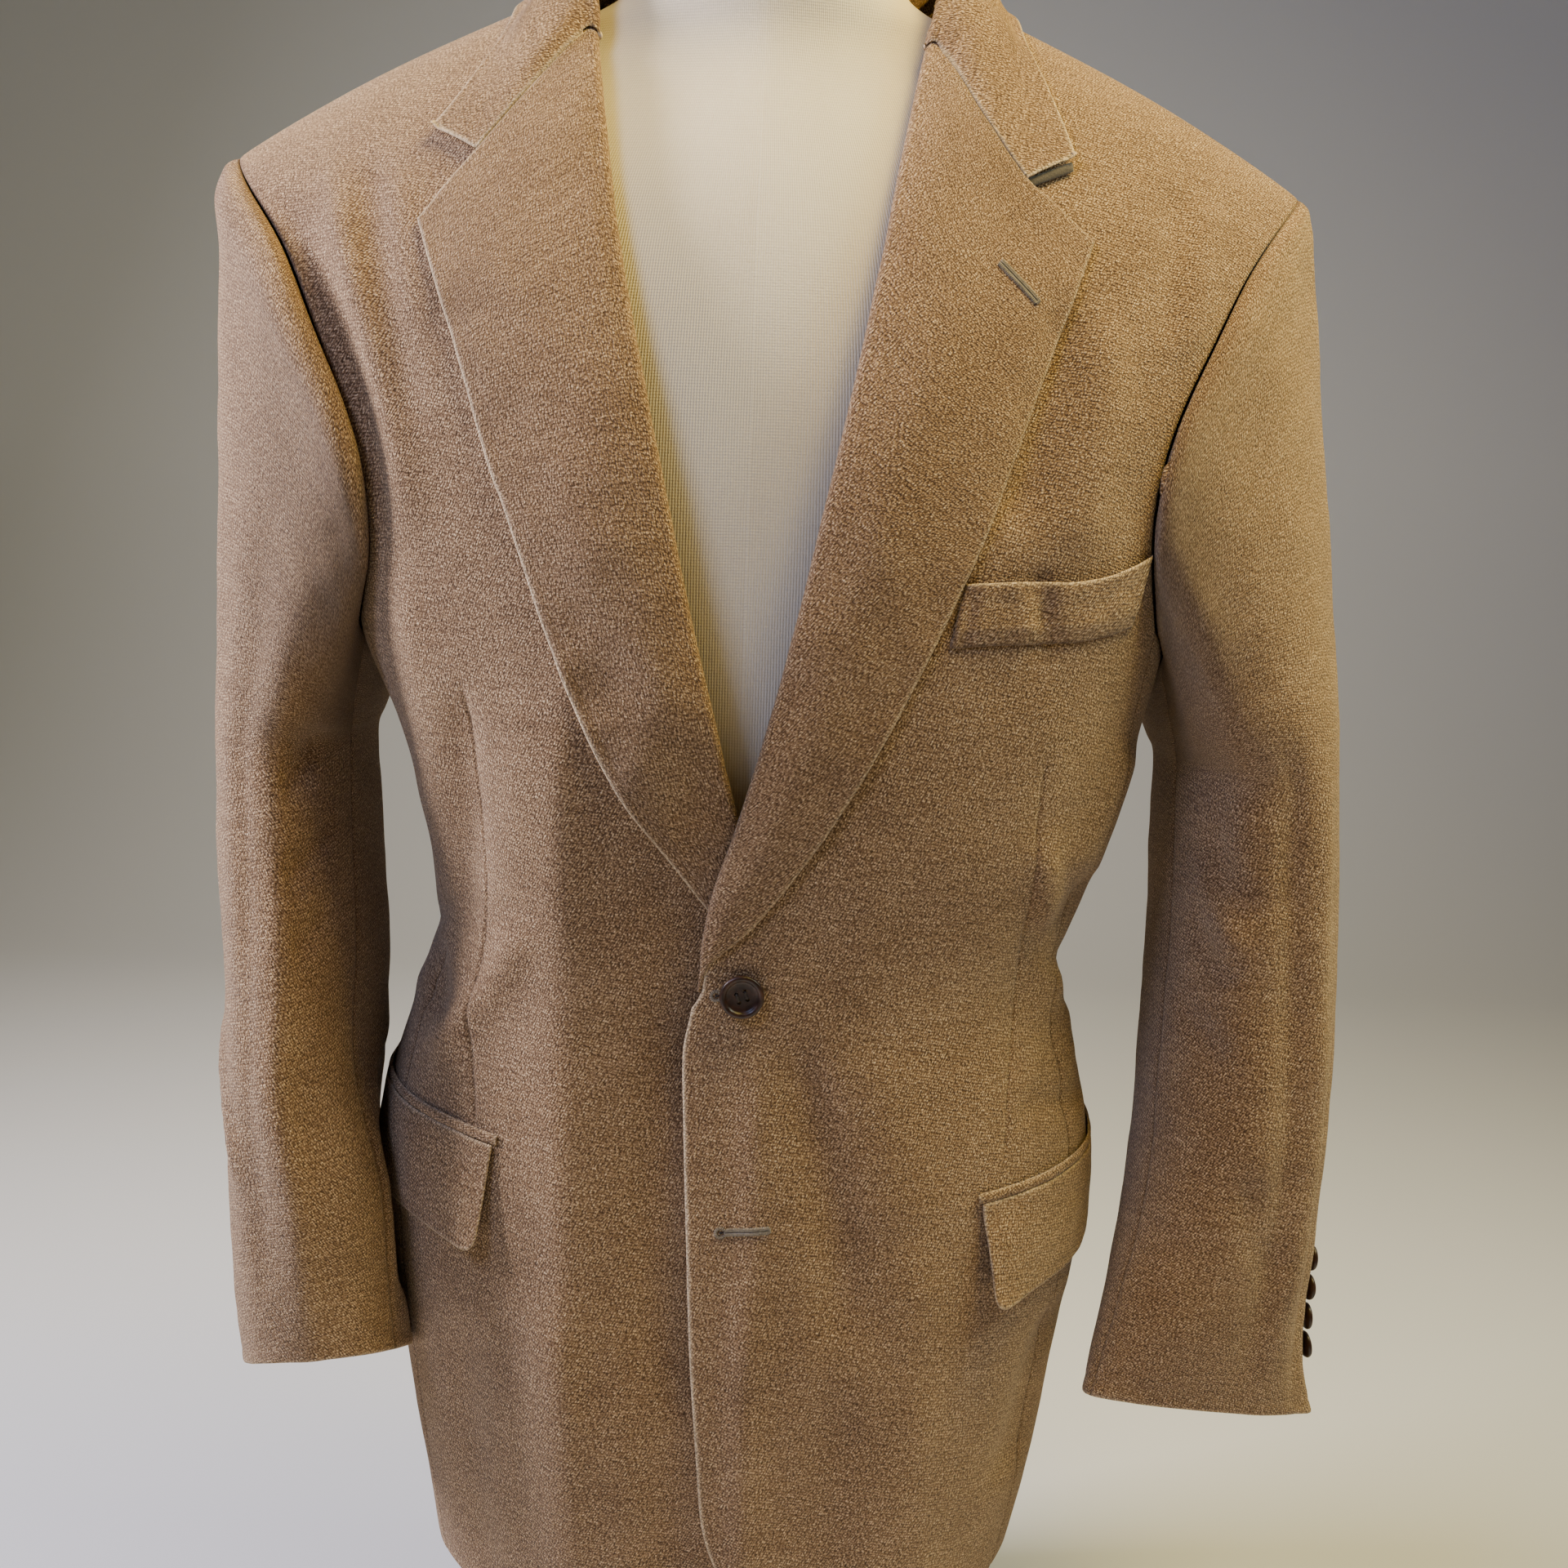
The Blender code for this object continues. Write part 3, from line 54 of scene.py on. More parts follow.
# ---------------------------------------------------------------- sizes, metres
SHOULDER_Z = 0.850        # height of the shoulder points above the foot of the stand
CHEST_B = 0.235           # depth of the armhole: levels are measured down from the shoulder points (b)
WALL = 0.0020             # cloth with its canvas and facing
GAP = 0.0003              # seams
RIDGE_Y = 0.006           # the shoulder seams lie a little behind the middle
ARCH = 2.5                # squareness of the shoulder's cross-section
NECK_X = 0.082            # half-width of the neckline at the shoulder seams
HEM_B = 0.706             # hem at the side
HEM_DROP = 0.012          # the fronts hang lower than the side
FRONT_SEAM = 70.0         # degrees round the body from centre front: front to side panel
BACK_SEAM = 112.0         # side panel to back

# Levels of the body: b, half-width to the wearer's right and left, depth to the front and back,
# and the squareness of the front and the back halves.
BODY = dict(
    b=    [-0.10, -0.05, 0.00,  0.05,  0.10,  0.15,  0.19,  0.235, 0.28,  0.32,  0.35,  0.38,  0.405, 0.43,  0.46,  0.50,  0.54,  0.58,  0.62,  0.66,  0.70,  0.74],
    right=[0.300, 0.295, 0.284, 0.266, 0.243, 0.219, 0.203, 0.189, 0.171, 0.1615,0.1580,0.1600,0.1660,0.1745,0.1820,0.1840,0.1810,0.1755,0.1695,0.1630,0.1555,0.147],
    left= [0.300, 0.295, 0.286, 0.270, 0.250, 0.228, 0.214, 0.204, 0.195, 0.1860,0.1760,0.1650,0.1660,0.1755,0.1835,0.1855,0.1825,0.1765,0.1700,0.1635,0.1555,0.147],
    front=[0.078, 0.092, 0.106, 0.1185,0.1270,0.1320,0.1335,0.1335,0.1315,0.1270,0.1225,0.1190,0.1180,0.1185,0.1200,0.1215,0.1220,0.1215,0.1200,0.1180,0.1160,0.114],
    back= [0.116, 0.121, 0.125, 0.1290,0.1320,0.1340,0.1340,0.1310,0.1260,0.1210,0.1185,0.1180,0.1200,0.1240,0.1290,0.1330,0.1350,0.1360,0.1365,0.1370,0.1375,0.138],
    nf=   [2.30,  2.30,  2.30,  2.35,  2.40,  2.45,  2.50,  2.50,  2.45,  2.40,  2.35,  2.35,  2.35,  2.35,  2.35,  2.35,  2.35,  2.35,  2.35,  2.35,  2.35,  2.35],
    nb=   [2.40,  2.40,  2.40,  2.45,  2.50,  2.50,  2.55,  2.55,  2.50,  2.45,  2.45,  2.45,  2.45,  2.45,  2.50,  2.50,  2.50,  2.50,  2.50,  2.50,  2.50,  2.50],
)
# The top of the shoulder from its end to the neck.
RIDGE = dict(
    x=[0.000, 0.060, 0.085, 0.105, 0.130, 0.160, 0.190, 0.220, 0.245, 0.262, 0.290],
    b=[-0.098,-0.091,-0.085,-0.0785,-0.0680,-0.0545,-0.0400,-0.0240,-0.0100, 0.0000, 0.018],
)
# The front armhole from the shoulder point down, and the back armhole; both end on the side panel.
ARM_FRONT = dict(
    b=    [0.000, 0.016, 0.045, 0.080, 0.115, 0.145, 0.170, 0.192],
    right=[0.2575,0.2440,0.2210,0.2027,0.1870,0.1765,0.1730,0.1745],
    left= [0.2630,0.2500,0.2278,0.2087,0.1922,0.1840,0.1828,0.1860],
)
ARM_BACK = dict(
    b=    [0.000, 0.030, 0.060, 0.090, 0.120, 0.150, 0.180],
    right=[0.2575,0.2400,0.2240,0.2095,0.1995,0.1925,0.1865],
    left= [0.2630,0.2460,0.2300,0.2160,0.2065,0.2000,0.1945],
)
ARM_LOW = dict(phi=[70.0, 91.0, 112.0], b=[0.212, 0.2345, 0.205])   # under the arm

# Front edges below the roll (x to the panel's own side; each passes the middle): b, edge.
EDGE_LEFT = dict(
    b=[0.387, 0.410, 0.445, 0.500, 0.555, 0.600, 0.660, 0.720],
    x=[-0.0185,-0.0222,-0.0209,-0.0182,-0.0154,-0.0118,-0.0068,-0.0010],
)
EDGE_RIGHT = dict(
    b=[0.374, 0.400, 0.500, 0.600, 0.660, 0.720],
    x=[-0.0178,-0.0180,-0.0170,-0.0130,-0.0085,-0.0030],
)
QUARTER_R = 0.085         # rounding of the fronts' lower corners

# Lapels, a row from the lowest point to the gorge: the roll (crease) and the outer edge.
LAPEL_LEFT = dict(
    t=      [0.00,   0.06,   0.12,   0.22,   0.32,   0.44,   0.56,   0.68,   0.80,   0.90,   1.00],
    roll_x= [-0.0166,-0.0152,-0.0120,-0.0010, 0.0095, 0.0205, 0.0325, 0.0440, 0.0550, 0.0640, 0.0727],
    roll_b= [0.3790, 0.3590, 0.3395, 0.3020, 0.2640, 0.2200, 0.1640, 0.1080, 0.0480,-0.0040,-0.0480],
    edge_x= [-0.0095,-0.0040, 0.0090, 0.0371, 0.0600, 0.0800, 0.0990, 0.1143, 0.1270, 0.1370, 0.1469],
    edge_b= [0.3740, 0.3600, 0.3450, 0.3050, 0.2645, 0.2230, 0.1790, 0.1380, 0.1000, 0.0710, 0.0430],
)
LAPEL_RIGHT = dict(
    t=      [0.00,   0.06,   0.12,   0.22,   0.32,   0.44,   0.56,   0.68,   0.80,   0.90,   1.00],
    roll_x= [-0.0160,-0.0135,-0.0085, 0.0020, 0.0108, 0.0218, 0.0345, 0.0470, 0.0590, 0.0680, 0.0765],
    roll_b= [0.3660, 0.3470, 0.3270, 0.2930, 0.2560, 0.2130, 0.1580, 0.1040, 0.0500, 0.0000,-0.0505],
    edge_x= [-0.0085, 0.0070, 0.0240, 0.0500, 0.0650, 0.0820, 0.0985, 0.1135, 0.1270, 0.1370, 0.1489],
    edge_b= [0.3620, 0.3480, 0.3265, 0.2912, 0.2620, 0.2240, 0.1800, 0.1420, 0.1010, 0.0740, 0.0425],
)
# The gorge seam and the lapel's top run in one line, bowed by this much: share of the way, metres down.
GORGE = dict(
    v=    [0.0, 0.09,   0.33,   0.556,  0.75,   1.0],
    left= [0.0, 0.0010, 0.0105, 0.0140, 0.0080, 0.0],
    right=[0.0, 0.0000, 0.0020, 0.0025, 0.0010, 0.0],
)
NOTCH_V = dict(left=0.596, right=0.670)     # where on it the notch begins
LAPEL_LIFT = dict(v=[0.0, 0.12, 0.35, 0.70, 1.0], out=[0.0030, 0.0048, 0.0056, 0.0046, 0.0034])
SET_BACK = 0.0034         # the front panel ends this far inside the crease
ROLL_R = 0.0040           # half the thickness of the roll
COLLAR_SEAM = 0.0007      # the collar's end stands this far off the lapel's top line

# Collar, a row from centre back to the notch: seam, fold and outer edge (x, y, b).
COLLAR = dict(
    u=     [0.00,  0.20,  0.40,  0.55,  0.68,  0.80,  0.90,  1.00],
    seam_x=[0.000, 0.030, 0.056, 0.071, 0.0780,0.0790,0.0775,0.0745],
    seam_y=[0.0745,0.0690,0.0490,0.0230,0.0010,-0.0230,-0.0400,-0.0590],
    seam_b=[-0.0700,-0.0740,-0.0835,-0.0880,-0.0895,-0.0800,-0.0655,-0.0500],
    fold_x=[0.000, 0.0335,0.0610,0.0755,0.0800,0.0800,0.0775,0.0745],
    fold_y=[0.0830,0.0770,0.0540,0.0250,-0.0020,-0.0270,-0.0450,-0.0610],
    fold_b=[-0.1050,-0.1060,-0.1080,-0.1090,-0.1060,-0.0930,-0.0740,-0.0520],
    edge_x=[0.000, 0.0470,0.0850,0.1070,0.1150,0.1185,0.1290,0.1426],
    edge_y=[0.0930,0.0900,0.0680,0.0330,-0.0030,-0.0360,-0.0560,-0.0720],
    edge_b=[-0.0590,-0.0590,-0.0600,-0.0660,-0.0720,-0.0560,-0.0290,0.0010],
)
COLLAR_END = dict(left=(0.1386, 0.0040), right=(0.1465, -0.0016))

# Sleeves, a row for each level from the upper arm to the cuff: middle, half-width and half-depth.
SLEEVE_LEFT = dict(
    b=  [0.280, 0.330, 0.390, 0.440, 0.480, 0.540, 0.580, 0.609],
    xc= [0.2564, 0.2578, 0.2584, 0.2572, 0.2547, 0.2483, 0.2437, 0.2449],
    yc= [-0.002,-0.007,-0.015,-0.023,-0.030,-0.041,-0.047,-0.050],
    ax= [0.0415, 0.0427, 0.0447, 0.0463, 0.0469, 0.0512, 0.0561, 0.0642],
    ay= [0.0790,0.0720,0.0640,0.0580,0.0520,0.0400,0.0320,0.0230],
    turn=[0.0,  2.0,   4.0,   6.0,   8.0,   10.0,  11.0,  12.0],
)
SLEEVE_RIGHT = dict(
    b=  [0.280, 0.330, 0.390, 0.440, 0.480, 0.530, 0.560, 0.585],
    xc= [0.2284, 0.2229, 0.2151, 0.2106, 0.2037, 0.2001, 0.1985, 0.1972],
    yc= [-0.004,-0.017,-0.036,-0.052,-0.061,-0.068,-0.070,-0.071],
    ax= [0.0312, 0.0305, 0.0299, 0.029, 0.035, 0.0373, 0.0383, 0.0389],
    ay= [0.0790,0.0750,0.0700,0.0650,0.0610,0.0550,0.0510,0.0480],
    turn=[0.0,  2.0,   4.0,   5.0,   6.0,   6.0,   6.0,   6.0],
)
# The sleeve head: how far it stands out past a straight line from the armhole to the upper arm.
CAP = dict(
    beta= [0.0, 0.030, 0.065, 0.130, 0.200, 0.300, 0.500, 0.700, 0.870, 1.0],
    right=[0.0, 0.0055,0.0089,0.0093,0.0096,0.0100,0.0075,0.0045,0.0020,0.0],
    left= [0.0, 0.0035,0.0052,0.0055,0.0056,0.0056,0.0055,0.0046,0.0030,0.0],
)
HEAD_DIR = dict(          # how a sleeve leaves the armhole: round the armhole from its top by the front
    psi=[0, 45, 90, 148, 180, 212, 270, 315, 360],
    x=[1.00, 0.90, 0.75, 0.75, 0.80, 0.75, 0.80, 0.92, 1.00],
    y=[0.00,-0.35,-0.60,-0.35, 0.00, 0.35, 0.55, 0.30, 0.00],
    z=[-0.15,-0.10,-0.15,-0.55,-0.60,-0.55,-0.15,-0.10,-0.15],
)
HIND_SHIFT = dict(left=(58.0, 74.0), right=(20.0, 55.0))     # degrees the hind seam turns toward the outer side on its way down, and how far round this spreads
CUFF_TILT = dict(left=(0.10, 0.30), right=(0.12, 0.42))

# ---------------------------------------------------------------- helpers
def spline(xs, ys, x):
    """A natural cubic through the rows of a table, straight past its ends."""
    xs, ys, x = np.asarray(xs, float), np.asarray(ys, float), np.asarray(x, float)
    n = len(xs)
    h = np.diff(xs)
    m = np.zeros((n, n))
    r = np.zeros(n)
    m[0, 0] = m[-1, -1] = 1
    for i in range(1, n - 1):
        m[i, i - 1], m[i, i], m[i, i + 1] = h[i - 1], 2 * (h[i - 1] + h[i]), h[i]
        r[i] = 6 * ((ys[i + 1] - ys[i]) / h[i] - (ys[i] - ys[i - 1]) / h[i - 1])
    c = np.linalg.solve(m, r)
    i = np.clip(np.searchsorted(xs, x) - 1, 0, n - 2)
    t0, t1 = x - xs[i], xs[i + 1] - x
    y = (c[i] * t1**3 + c[i + 1] * t0**3) / (6 * h[i])
    y = y + (ys[i] / h[i] - c[i] * h[i] / 6) * t1 + (ys[i + 1] / h[i] - c[i + 1] * h[i] / 6) * t0
    lo = ys[0] + (x - xs[0]) * ((ys[1] - ys[0]) / h[0] - h[0] * c[1] / 6)
    hi = ys[-1] + (x - xs[-1]) * ((ys[-1] - ys[-2]) / h[-1] + h[-1] * c[-2] / 6)
    return np.where(x < xs[0], lo, np.where(x > xs[-1], hi, y))


def column(table, key, at, by="b"):
    return spline(table[by], table[key], at)


def mono(xs, ys, x):
    """A curve through the rows of a table that never swings past them."""
    xs, ys, x = np.asarray(xs, float), np.asarray(ys, float), np.asarray(x, float)
    h, d = np.diff(xs), np.diff(ys) / np.diff(xs)
    m = np.zeros_like(ys)
    same = d[:-1] * d[1:] > 0
    w1, w2 = 2 * h[1:] + h[:-1], h[1:] + 2 * h[:-1]
    with np.errstate(divide="ignore", invalid="ignore"):
        m[1:-1] = np.where(same, (w1 + w2) / (w1 / d[:-1] + w2 / d[1:]), 0)
    m[0], m[-1] = d[0], d[-1]
    i = np.clip(np.searchsorted(xs, x) - 1, 0, len(xs) - 2)
    t = np.clip((x - xs[i]) / h[i], 0, 1)
    return ((1 + 2 * t) * (1 - t) ** 2 * ys[i] + t * (1 - t) ** 2 * h[i] * m[i]
            + t * t * (3 - 2 * t) * ys[i + 1] + t * t * (t - 1) * h[i] * m[i + 1])


def ease(x, lo, hi):
    t = np.clip((np.asarray(x, float) - lo) / (hi - lo), 0, 1)
    return t * t * (3 - 2 * t)


def unit(v):
    return v / np.maximum(np.linalg.norm(v, axis=-1, keepdims=True), 1e-12)


def side_key(side):
    return "left" if side > 0 else "right"


# ---------------------------------------------------------------- the body's surface
def ridge_b(x):
    return column(RIDGE, "b", np.abs(x), by="x")


def depth(x, b, side, back=False):
    """Half-depth of the body at a distance x from its middle and a level b."""
    a = column(BODY, side_key(side), b)
    d = column(BODY, "back" if back else "front", b)
    n = column(BODY, "nb" if back else "nf", b)
    u = np.clip(np.abs(x) / a, 0, 0.9999)
    return d * (1 - u**n) ** (1 / n)


def arch(x, b):
    """1 at the chest and below, falling to 0 on the shoulder's ridge."""
    rb = ridge_b(x)
    t = np.clip((b - rb) / (CHEST_B - rb), 0, 1)
    return (1 - (1 - t) ** ARCH) ** (1 / ARCH)


def q_of(x, b):
    """The level as a share of the way from the chest (0) over the shoulder to its ridge (1), below the chest minus metres."""
    rb = ridge_b(x)
    t = np.clip((b - rb) / (CHEST_B - rb), 0, 1)
    return np.where(b >= CHEST_B, CHEST_B - b, np.arcsin((1 - t) ** (ARCH / 2)) / (np.pi / 2))


def b_of(x, q):
    rb = ridge_b(x)
    up = CHEST_B - (CHEST_B - rb) * np.sin(np.clip(q, 0, 1) * np.pi / 2) ** (2 / ARCH)
    return np.where(q <= 0, CHEST_B - q, up)


def at_xq(x, q, side, back=False):
    """The point at a distance x (a size, unsigned) and a level q."""
    x, q = np.broadcast_arrays(np.asarray(x, float), np.asarray(q, float))
    b = b_of(x, q)
    k = np.cos(np.clip(q, 0, 1) * np.pi / 2) ** (2 / ARCH)
    y = depth(x, b, side, back) * k
    y = (y if back else -y) + RIDGE_Y * (1 - k)
    return np.stack([x * side, y, SHOULDER_Z - b], -1)


def at_xb(x, b, side, back=False):
    return at_xq(x, q_of(np.asarray(x, float), np.asarray(b, float)), side, back)


def normal_xb(x, b, side, back=False):
    e = 1e-3
    x, b = np.broadcast_arrays(np.asarray(x, float), np.asarray(b, float))
    q = q_of(x, b)
    dq = np.where(q > 0, 4e-3, 1e-3)
    # close to the chest both steps stay on one side of it
    ax = at_xq(np.maximum(x + e, 0), q, side, back) - at_xq(x - e, q, side, back)
    aq = at_xq(x, np.minimum(q + dq, 1.0 - 1e-6), side, back) - at_xq(x, q - np.where((q > 0) & (q < dq), 0, dq), side, back)
    n = unit(np.cross(ax, aq))
    flip = np.where((n[..., 1] * (1 if back else -1)) < 0, -1.0, 1.0)
    near_top = q > 0.93
    flip = np.where(near_top, np.where(n[..., 2] < 0, -1.0, 1.0), flip)
    return n * flip[..., None]


def off_xb(x, b, side, out, back=False):
    return at_xb(x, b, side, back) + normal_xb(x, b, side, back) * np.asarray(out)[..., None]


def ring(phi, b, side):
    """The point round the body at an angle from centre front (0) by the side (90) to centre back (180)."""
    phi, b = np.broadcast_arrays(np.asarray(phi, float), np.asarray(b, float))
    a = column(BODY, side_key(side), b)
    front = phi <= 90
    d = np.where(front, column(BODY, "front", b), column(BODY, "back", b))
    n = np.where(front, column(BODY, "nf", b), column(BODY, "nb", b))
    s, c = np.sin(np.radians(phi)), np.cos(np.radians(phi))
    r = ((np.abs(s) / a) ** n + (np.abs(c) / d) ** n) ** (-1 / n)
    x, y = r * s, -r * c
    k = arch(x, np.minimum(b, CHEST_B))
    y = y * k + RIDGE_Y * (1 - k)
    return np.stack([x * side, y, SHOULDER_Z - b], -1)


def ring_normal(phi, b, side):
    e, d = 0.3, 1e-3
    n = np.cross(ring(phi + e, b, side) - ring(phi - e, b, side), ring(phi, b - d, side) - ring(phi, b + d, side))
    return unit(n) * side


def off_ring(phi, b, side, out):
    return ring(phi, b, side) + ring_normal(phi, b, side) * np.asarray(out)[..., None]


def phi_at_x(x, b, side):
    """The angle on the front half where the body is x from its middle."""
    p = np.linspace(0, 89.5, 180)
    out = []
    for xx, bb in zip(*[np.ravel(v) for v in np.broadcast_arrays(x, b)]):
        got = np.abs(ring(p, bb, side)[:, 0])
        out.append(np.interp(abs(xx), got, p) * (1 if xx >= 0 else -1))
    return np.reshape(out, np.broadcast(x, b).shape)


# ---------------------------------------------------------------- armholes
def arm_point(side, part, f):
    """A point of the armhole: part front (0 top to 1 at the side panel), low (front to back) or back (1 top)."""
    key = side_key(side)
    f = np.asarray(f, float)
    if part == "low":
        phi = FRONT_SEAM + (BACK_SEAM - FRONT_SEAM) * f
        return ring(phi, spline(ARM_LOW["phi"], ARM_LOW["b"], phi), side)
    rows = ARM_FRONT if part == "front" else ARM_BACK
    end = ring(FRONT_SEAM, ARM_LOW["b"][0], side) if part == "front" else ring(BACK_SEAM, ARM_LOW["b"][2], side)
    xs = rows[key] + [float(abs(end[0]))]
    bs = [float(ridge_b(xs[0]))] + rows["b"][1:] + [float(SHOULDER_Z - end[2])]
    bb = np.linspace(bs[0], bs[-1], 120)
    xx = spline(bs, xs, bb)
    pts = at_xb(xx, bb, side, part == "back")
    run = np.concatenate([[0], np.cumsum(np.linalg.norm(np.diff(pts, axis=0), axis=1))])
    g = f if part == "front" else 1 - f
    b = np.interp(g * run[-1], run, bb)
    return at_xb(spline(bs, xs, b), b, side, part == "back")


def arm_xq(side, part, f):
    p = arm_point(side, part, f)
    x, b = np.abs(p[..., 0]), SHOULDER_Z - p[..., 2]
    return x, q_of(x, b)


# ---------------------------------------------------------------- fronts
def roll_x(b, side):
    """The crease of the lapel, or below it the front edge, at a level b (to the panel's own side)."""
    rows = LAPEL_LEFT if side > 0 else LAPEL_RIGHT
    edge = EDGE_LEFT if side > 0 else EDGE_RIGHT
    bs = list(edge["b"][::-1]) + list(rows["roll_b"][1:])
    xs = list(edge["x"][::-1]) + list(rows["roll_x"][1:])
    bs, xs = bs[::-1] , xs[::-1]
    bs, xs = [-0.0855] + bs, [NECK_X - 0.001] + xs
    return mono(bs, xs, b)


def front_in(b, side):
    """The inner edge of a front panel: the front edge, then a little inside the crease, rounded at the hem."""
    low_b = (LAPEL_LEFT if side > 0 else LAPEL_RIGHT)["roll_b"][0]
    b = np.asarray(b, float)
    x = roll_x(b, side) + SET_BACK * (1 - ease(b, low_b + 0.0015, low_b + 0.0080)) * ease(b, -0.086, -0.06)
    low = np.clip((b - (HEM_B + HEM_DROP - QUARTER_R)) / QUARTER_R, 0, 1)
    return x + QUARTER_R * (1 - np.sqrt(np.clip(1 - low**2, 0, 1))) * 0.8


def dip(x, b):
    """The wearer's right front lies deeper where the left one laps over it (x to its own side)."""
    near = 1 - ease(x, 0.014, 0.050)
    level = ease(b, 0.245, 0.300) * (0.0095 - 0.0025 * ease(b, 0.40, 0.46) - 0.0030 * ease(b, 0.54, 0.60))
    return near * level


def seam_levels(levels):
    """The same rows at the side: 0 at the hem to 1 at the armhole."""
    h_in = HEM_B + HEM_DROP
    return [(h_in - b) / (h_in - CHEST_B) for b in levels]


def shares(cols):
    """Column positions across a panel: a count of equal columns, or the positions themselves."""
    return np.linspace(0, 1, cols + 1) if np.ndim(cols) == 0 else np.asarray(cols, float)


def front_levels(side, levels):
    """Adds the two rows between which the front edge steps back to the crease."""
    low_b = (LAPEL_LEFT if side > 0 else LAPEL_RIGHT)["roll_b"][0]
    return sorted([b for b in levels if abs(b - low_b - 0.005) > 0.009] + [low_b + 0.0018, low_b + 0.0080], reverse=True)


def front_panel(side, levels, ups, cols):
    """Rows from the hem to the shoulder seam; below the chest by levels at the front edge, above it by levels at the crease."""
    grid, share = [], None
    s = shares(cols)
    for b, t in zip(levels, seam_levels(levels)):
        b_out = HEM_B + (ARM_LOW["b"][0] - HEM_B) * t
        p_in = float(phi_at_x(front_in(b, side), b, side))
        phi = p_in + (FRONT_SEAM - p_in) * s
        grid.append(ring(phi, b + (b_out - b) * s, side))
    x = grid[-1][:, 0] * side
    share = (x - x[0]) / (x[-1] - x[0])
    for i, b in enumerate(ups):
        x_in = float(front_in(b, side))
        q_in = float(q_of(x_in, b)) if i < len(ups) - 1 else 1.0
        x_out, q_out = arm_xq(side, "front", 1 - (i + 1) / len(ups))
        q = q_in + (q_out - q_in) * s
        grid.append(at_xq(x_in + (x_out - x_in) * share, q, side))
    grid = np.array(grid)
    if side < 0:
        grid[..., 1] += dip(grid[..., 0] * side, SHOULDER_Z - grid[..., 2])
    return grid


def side_panel(side, levels, cols):
    phi = FRONT_SEAM + (BACK_SEAM - FRONT_SEAM) * shares(cols)
    top = spline(ARM_LOW["phi"], ARM_LOW["b"], phi)
    t = np.array(seam_levels(levels))[:, None]
    return ring(phi[None], HEM_B + (top[None] - HEM_B) * t, side)


def neck_q(x):
    """Level of the back neckline (1 on the shoulder's ridge)."""
    return 1 - 0.315 * np.clip(1 - (np.abs(x) / NECK_X) ** 2.0, 0, 1) ** 0.75


def back_panel(side, levels, ups, cols):
    """Rows from the hem to the shoulder seam; above the chest by shares (q) of the way up at centre back."""
    grid = []
    s = shares(cols)
    for t in seam_levels(levels):
        b = HEM_B + (ARM_LOW["b"][2] - HEM_B) * t
        b0 = HEM_B + (CHEST_B - HEM_B) * t
        grid.append(ring(180 + (BACK_SEAM - 180) * s, b0 + (b - b0) * s, side))
    x = grid[-1][:, 0] * side
    share = x / x[-1]
    for i, u in enumerate(ups):
        x_out, q_out = arm_xq(side, "back", (i + 1) / len(ups))
        x = x_out * share
        grid.append(at_xq(x, neck_q(x) * (q_out * share + u * (1 - share)), side, True))
    return np.array(grid)


def across(grid, wrap=False):
    """Unit directions square to a grid of points, from the rows and columns beside each."""
    g = np.asarray(grid, float)
    if wrap:
        du = np.roll(g, -1, 1) - np.roll(g, 1, 1)
    else:
        du = np.gradient(g, axis=1)
    return unit(np.cross(du, np.gradient(g, axis=0)))


def body_normals(grid, side, part, levels):
    """Normals of a body panel; along its seams they are the body's own, so that neighbours' walls stay parallel."""
    n = across(grid) * (side if part != "back" else -side)
    low = len(levels)
    b = SHOULDER_Z - grid[:low, :, 2]
    if part == "front":
        n[:low, -1] = ring_normal(FRONT_SEAM, b[:, -1], side)
    elif part == "side":
        n[:, 0], n[:, -1] = ring_normal(FRONT_SEAM, b[:, 0], side), ring_normal(BACK_SEAM, b[:, -1], side)
    else:
        n[:low, -1] = ring_normal(BACK_SEAM, b[:, -1], side)
        n[:, 0, 0] = 0
    if part != "side":
        t = np.gradient(grid[-1], axis=0)
        t[:, 1] = 0
        ridge = unit(np.cross(t, np.array([0, -1.0, 0]))) 
        n[-1] = ridge * np.sign(ridge[:, 2:3])
    return unit(n)


# ---------------------------------------------------------------- lapels and collar
def gorge(side, v, away=0.0):
    """A point (x, b) of the lapel's top line, moved toward the neck by a distance."""
    tab = LAPEL_LEFT if side > 0 else LAPEL_RIGHT
    r = np.array([tab["roll_x"][-1], tab["roll_b"][-1]])
    e = np.array([tab["edge_x"][-1], tab["edge_b"][-1]])
    p = r + (e - r) * v + np.array([0, float(mono(GORGE["v"], GORGE[side_key(side)], v))])
    d = unit(e - r)
    return p + np.array([d[1], -d[0]]) * away


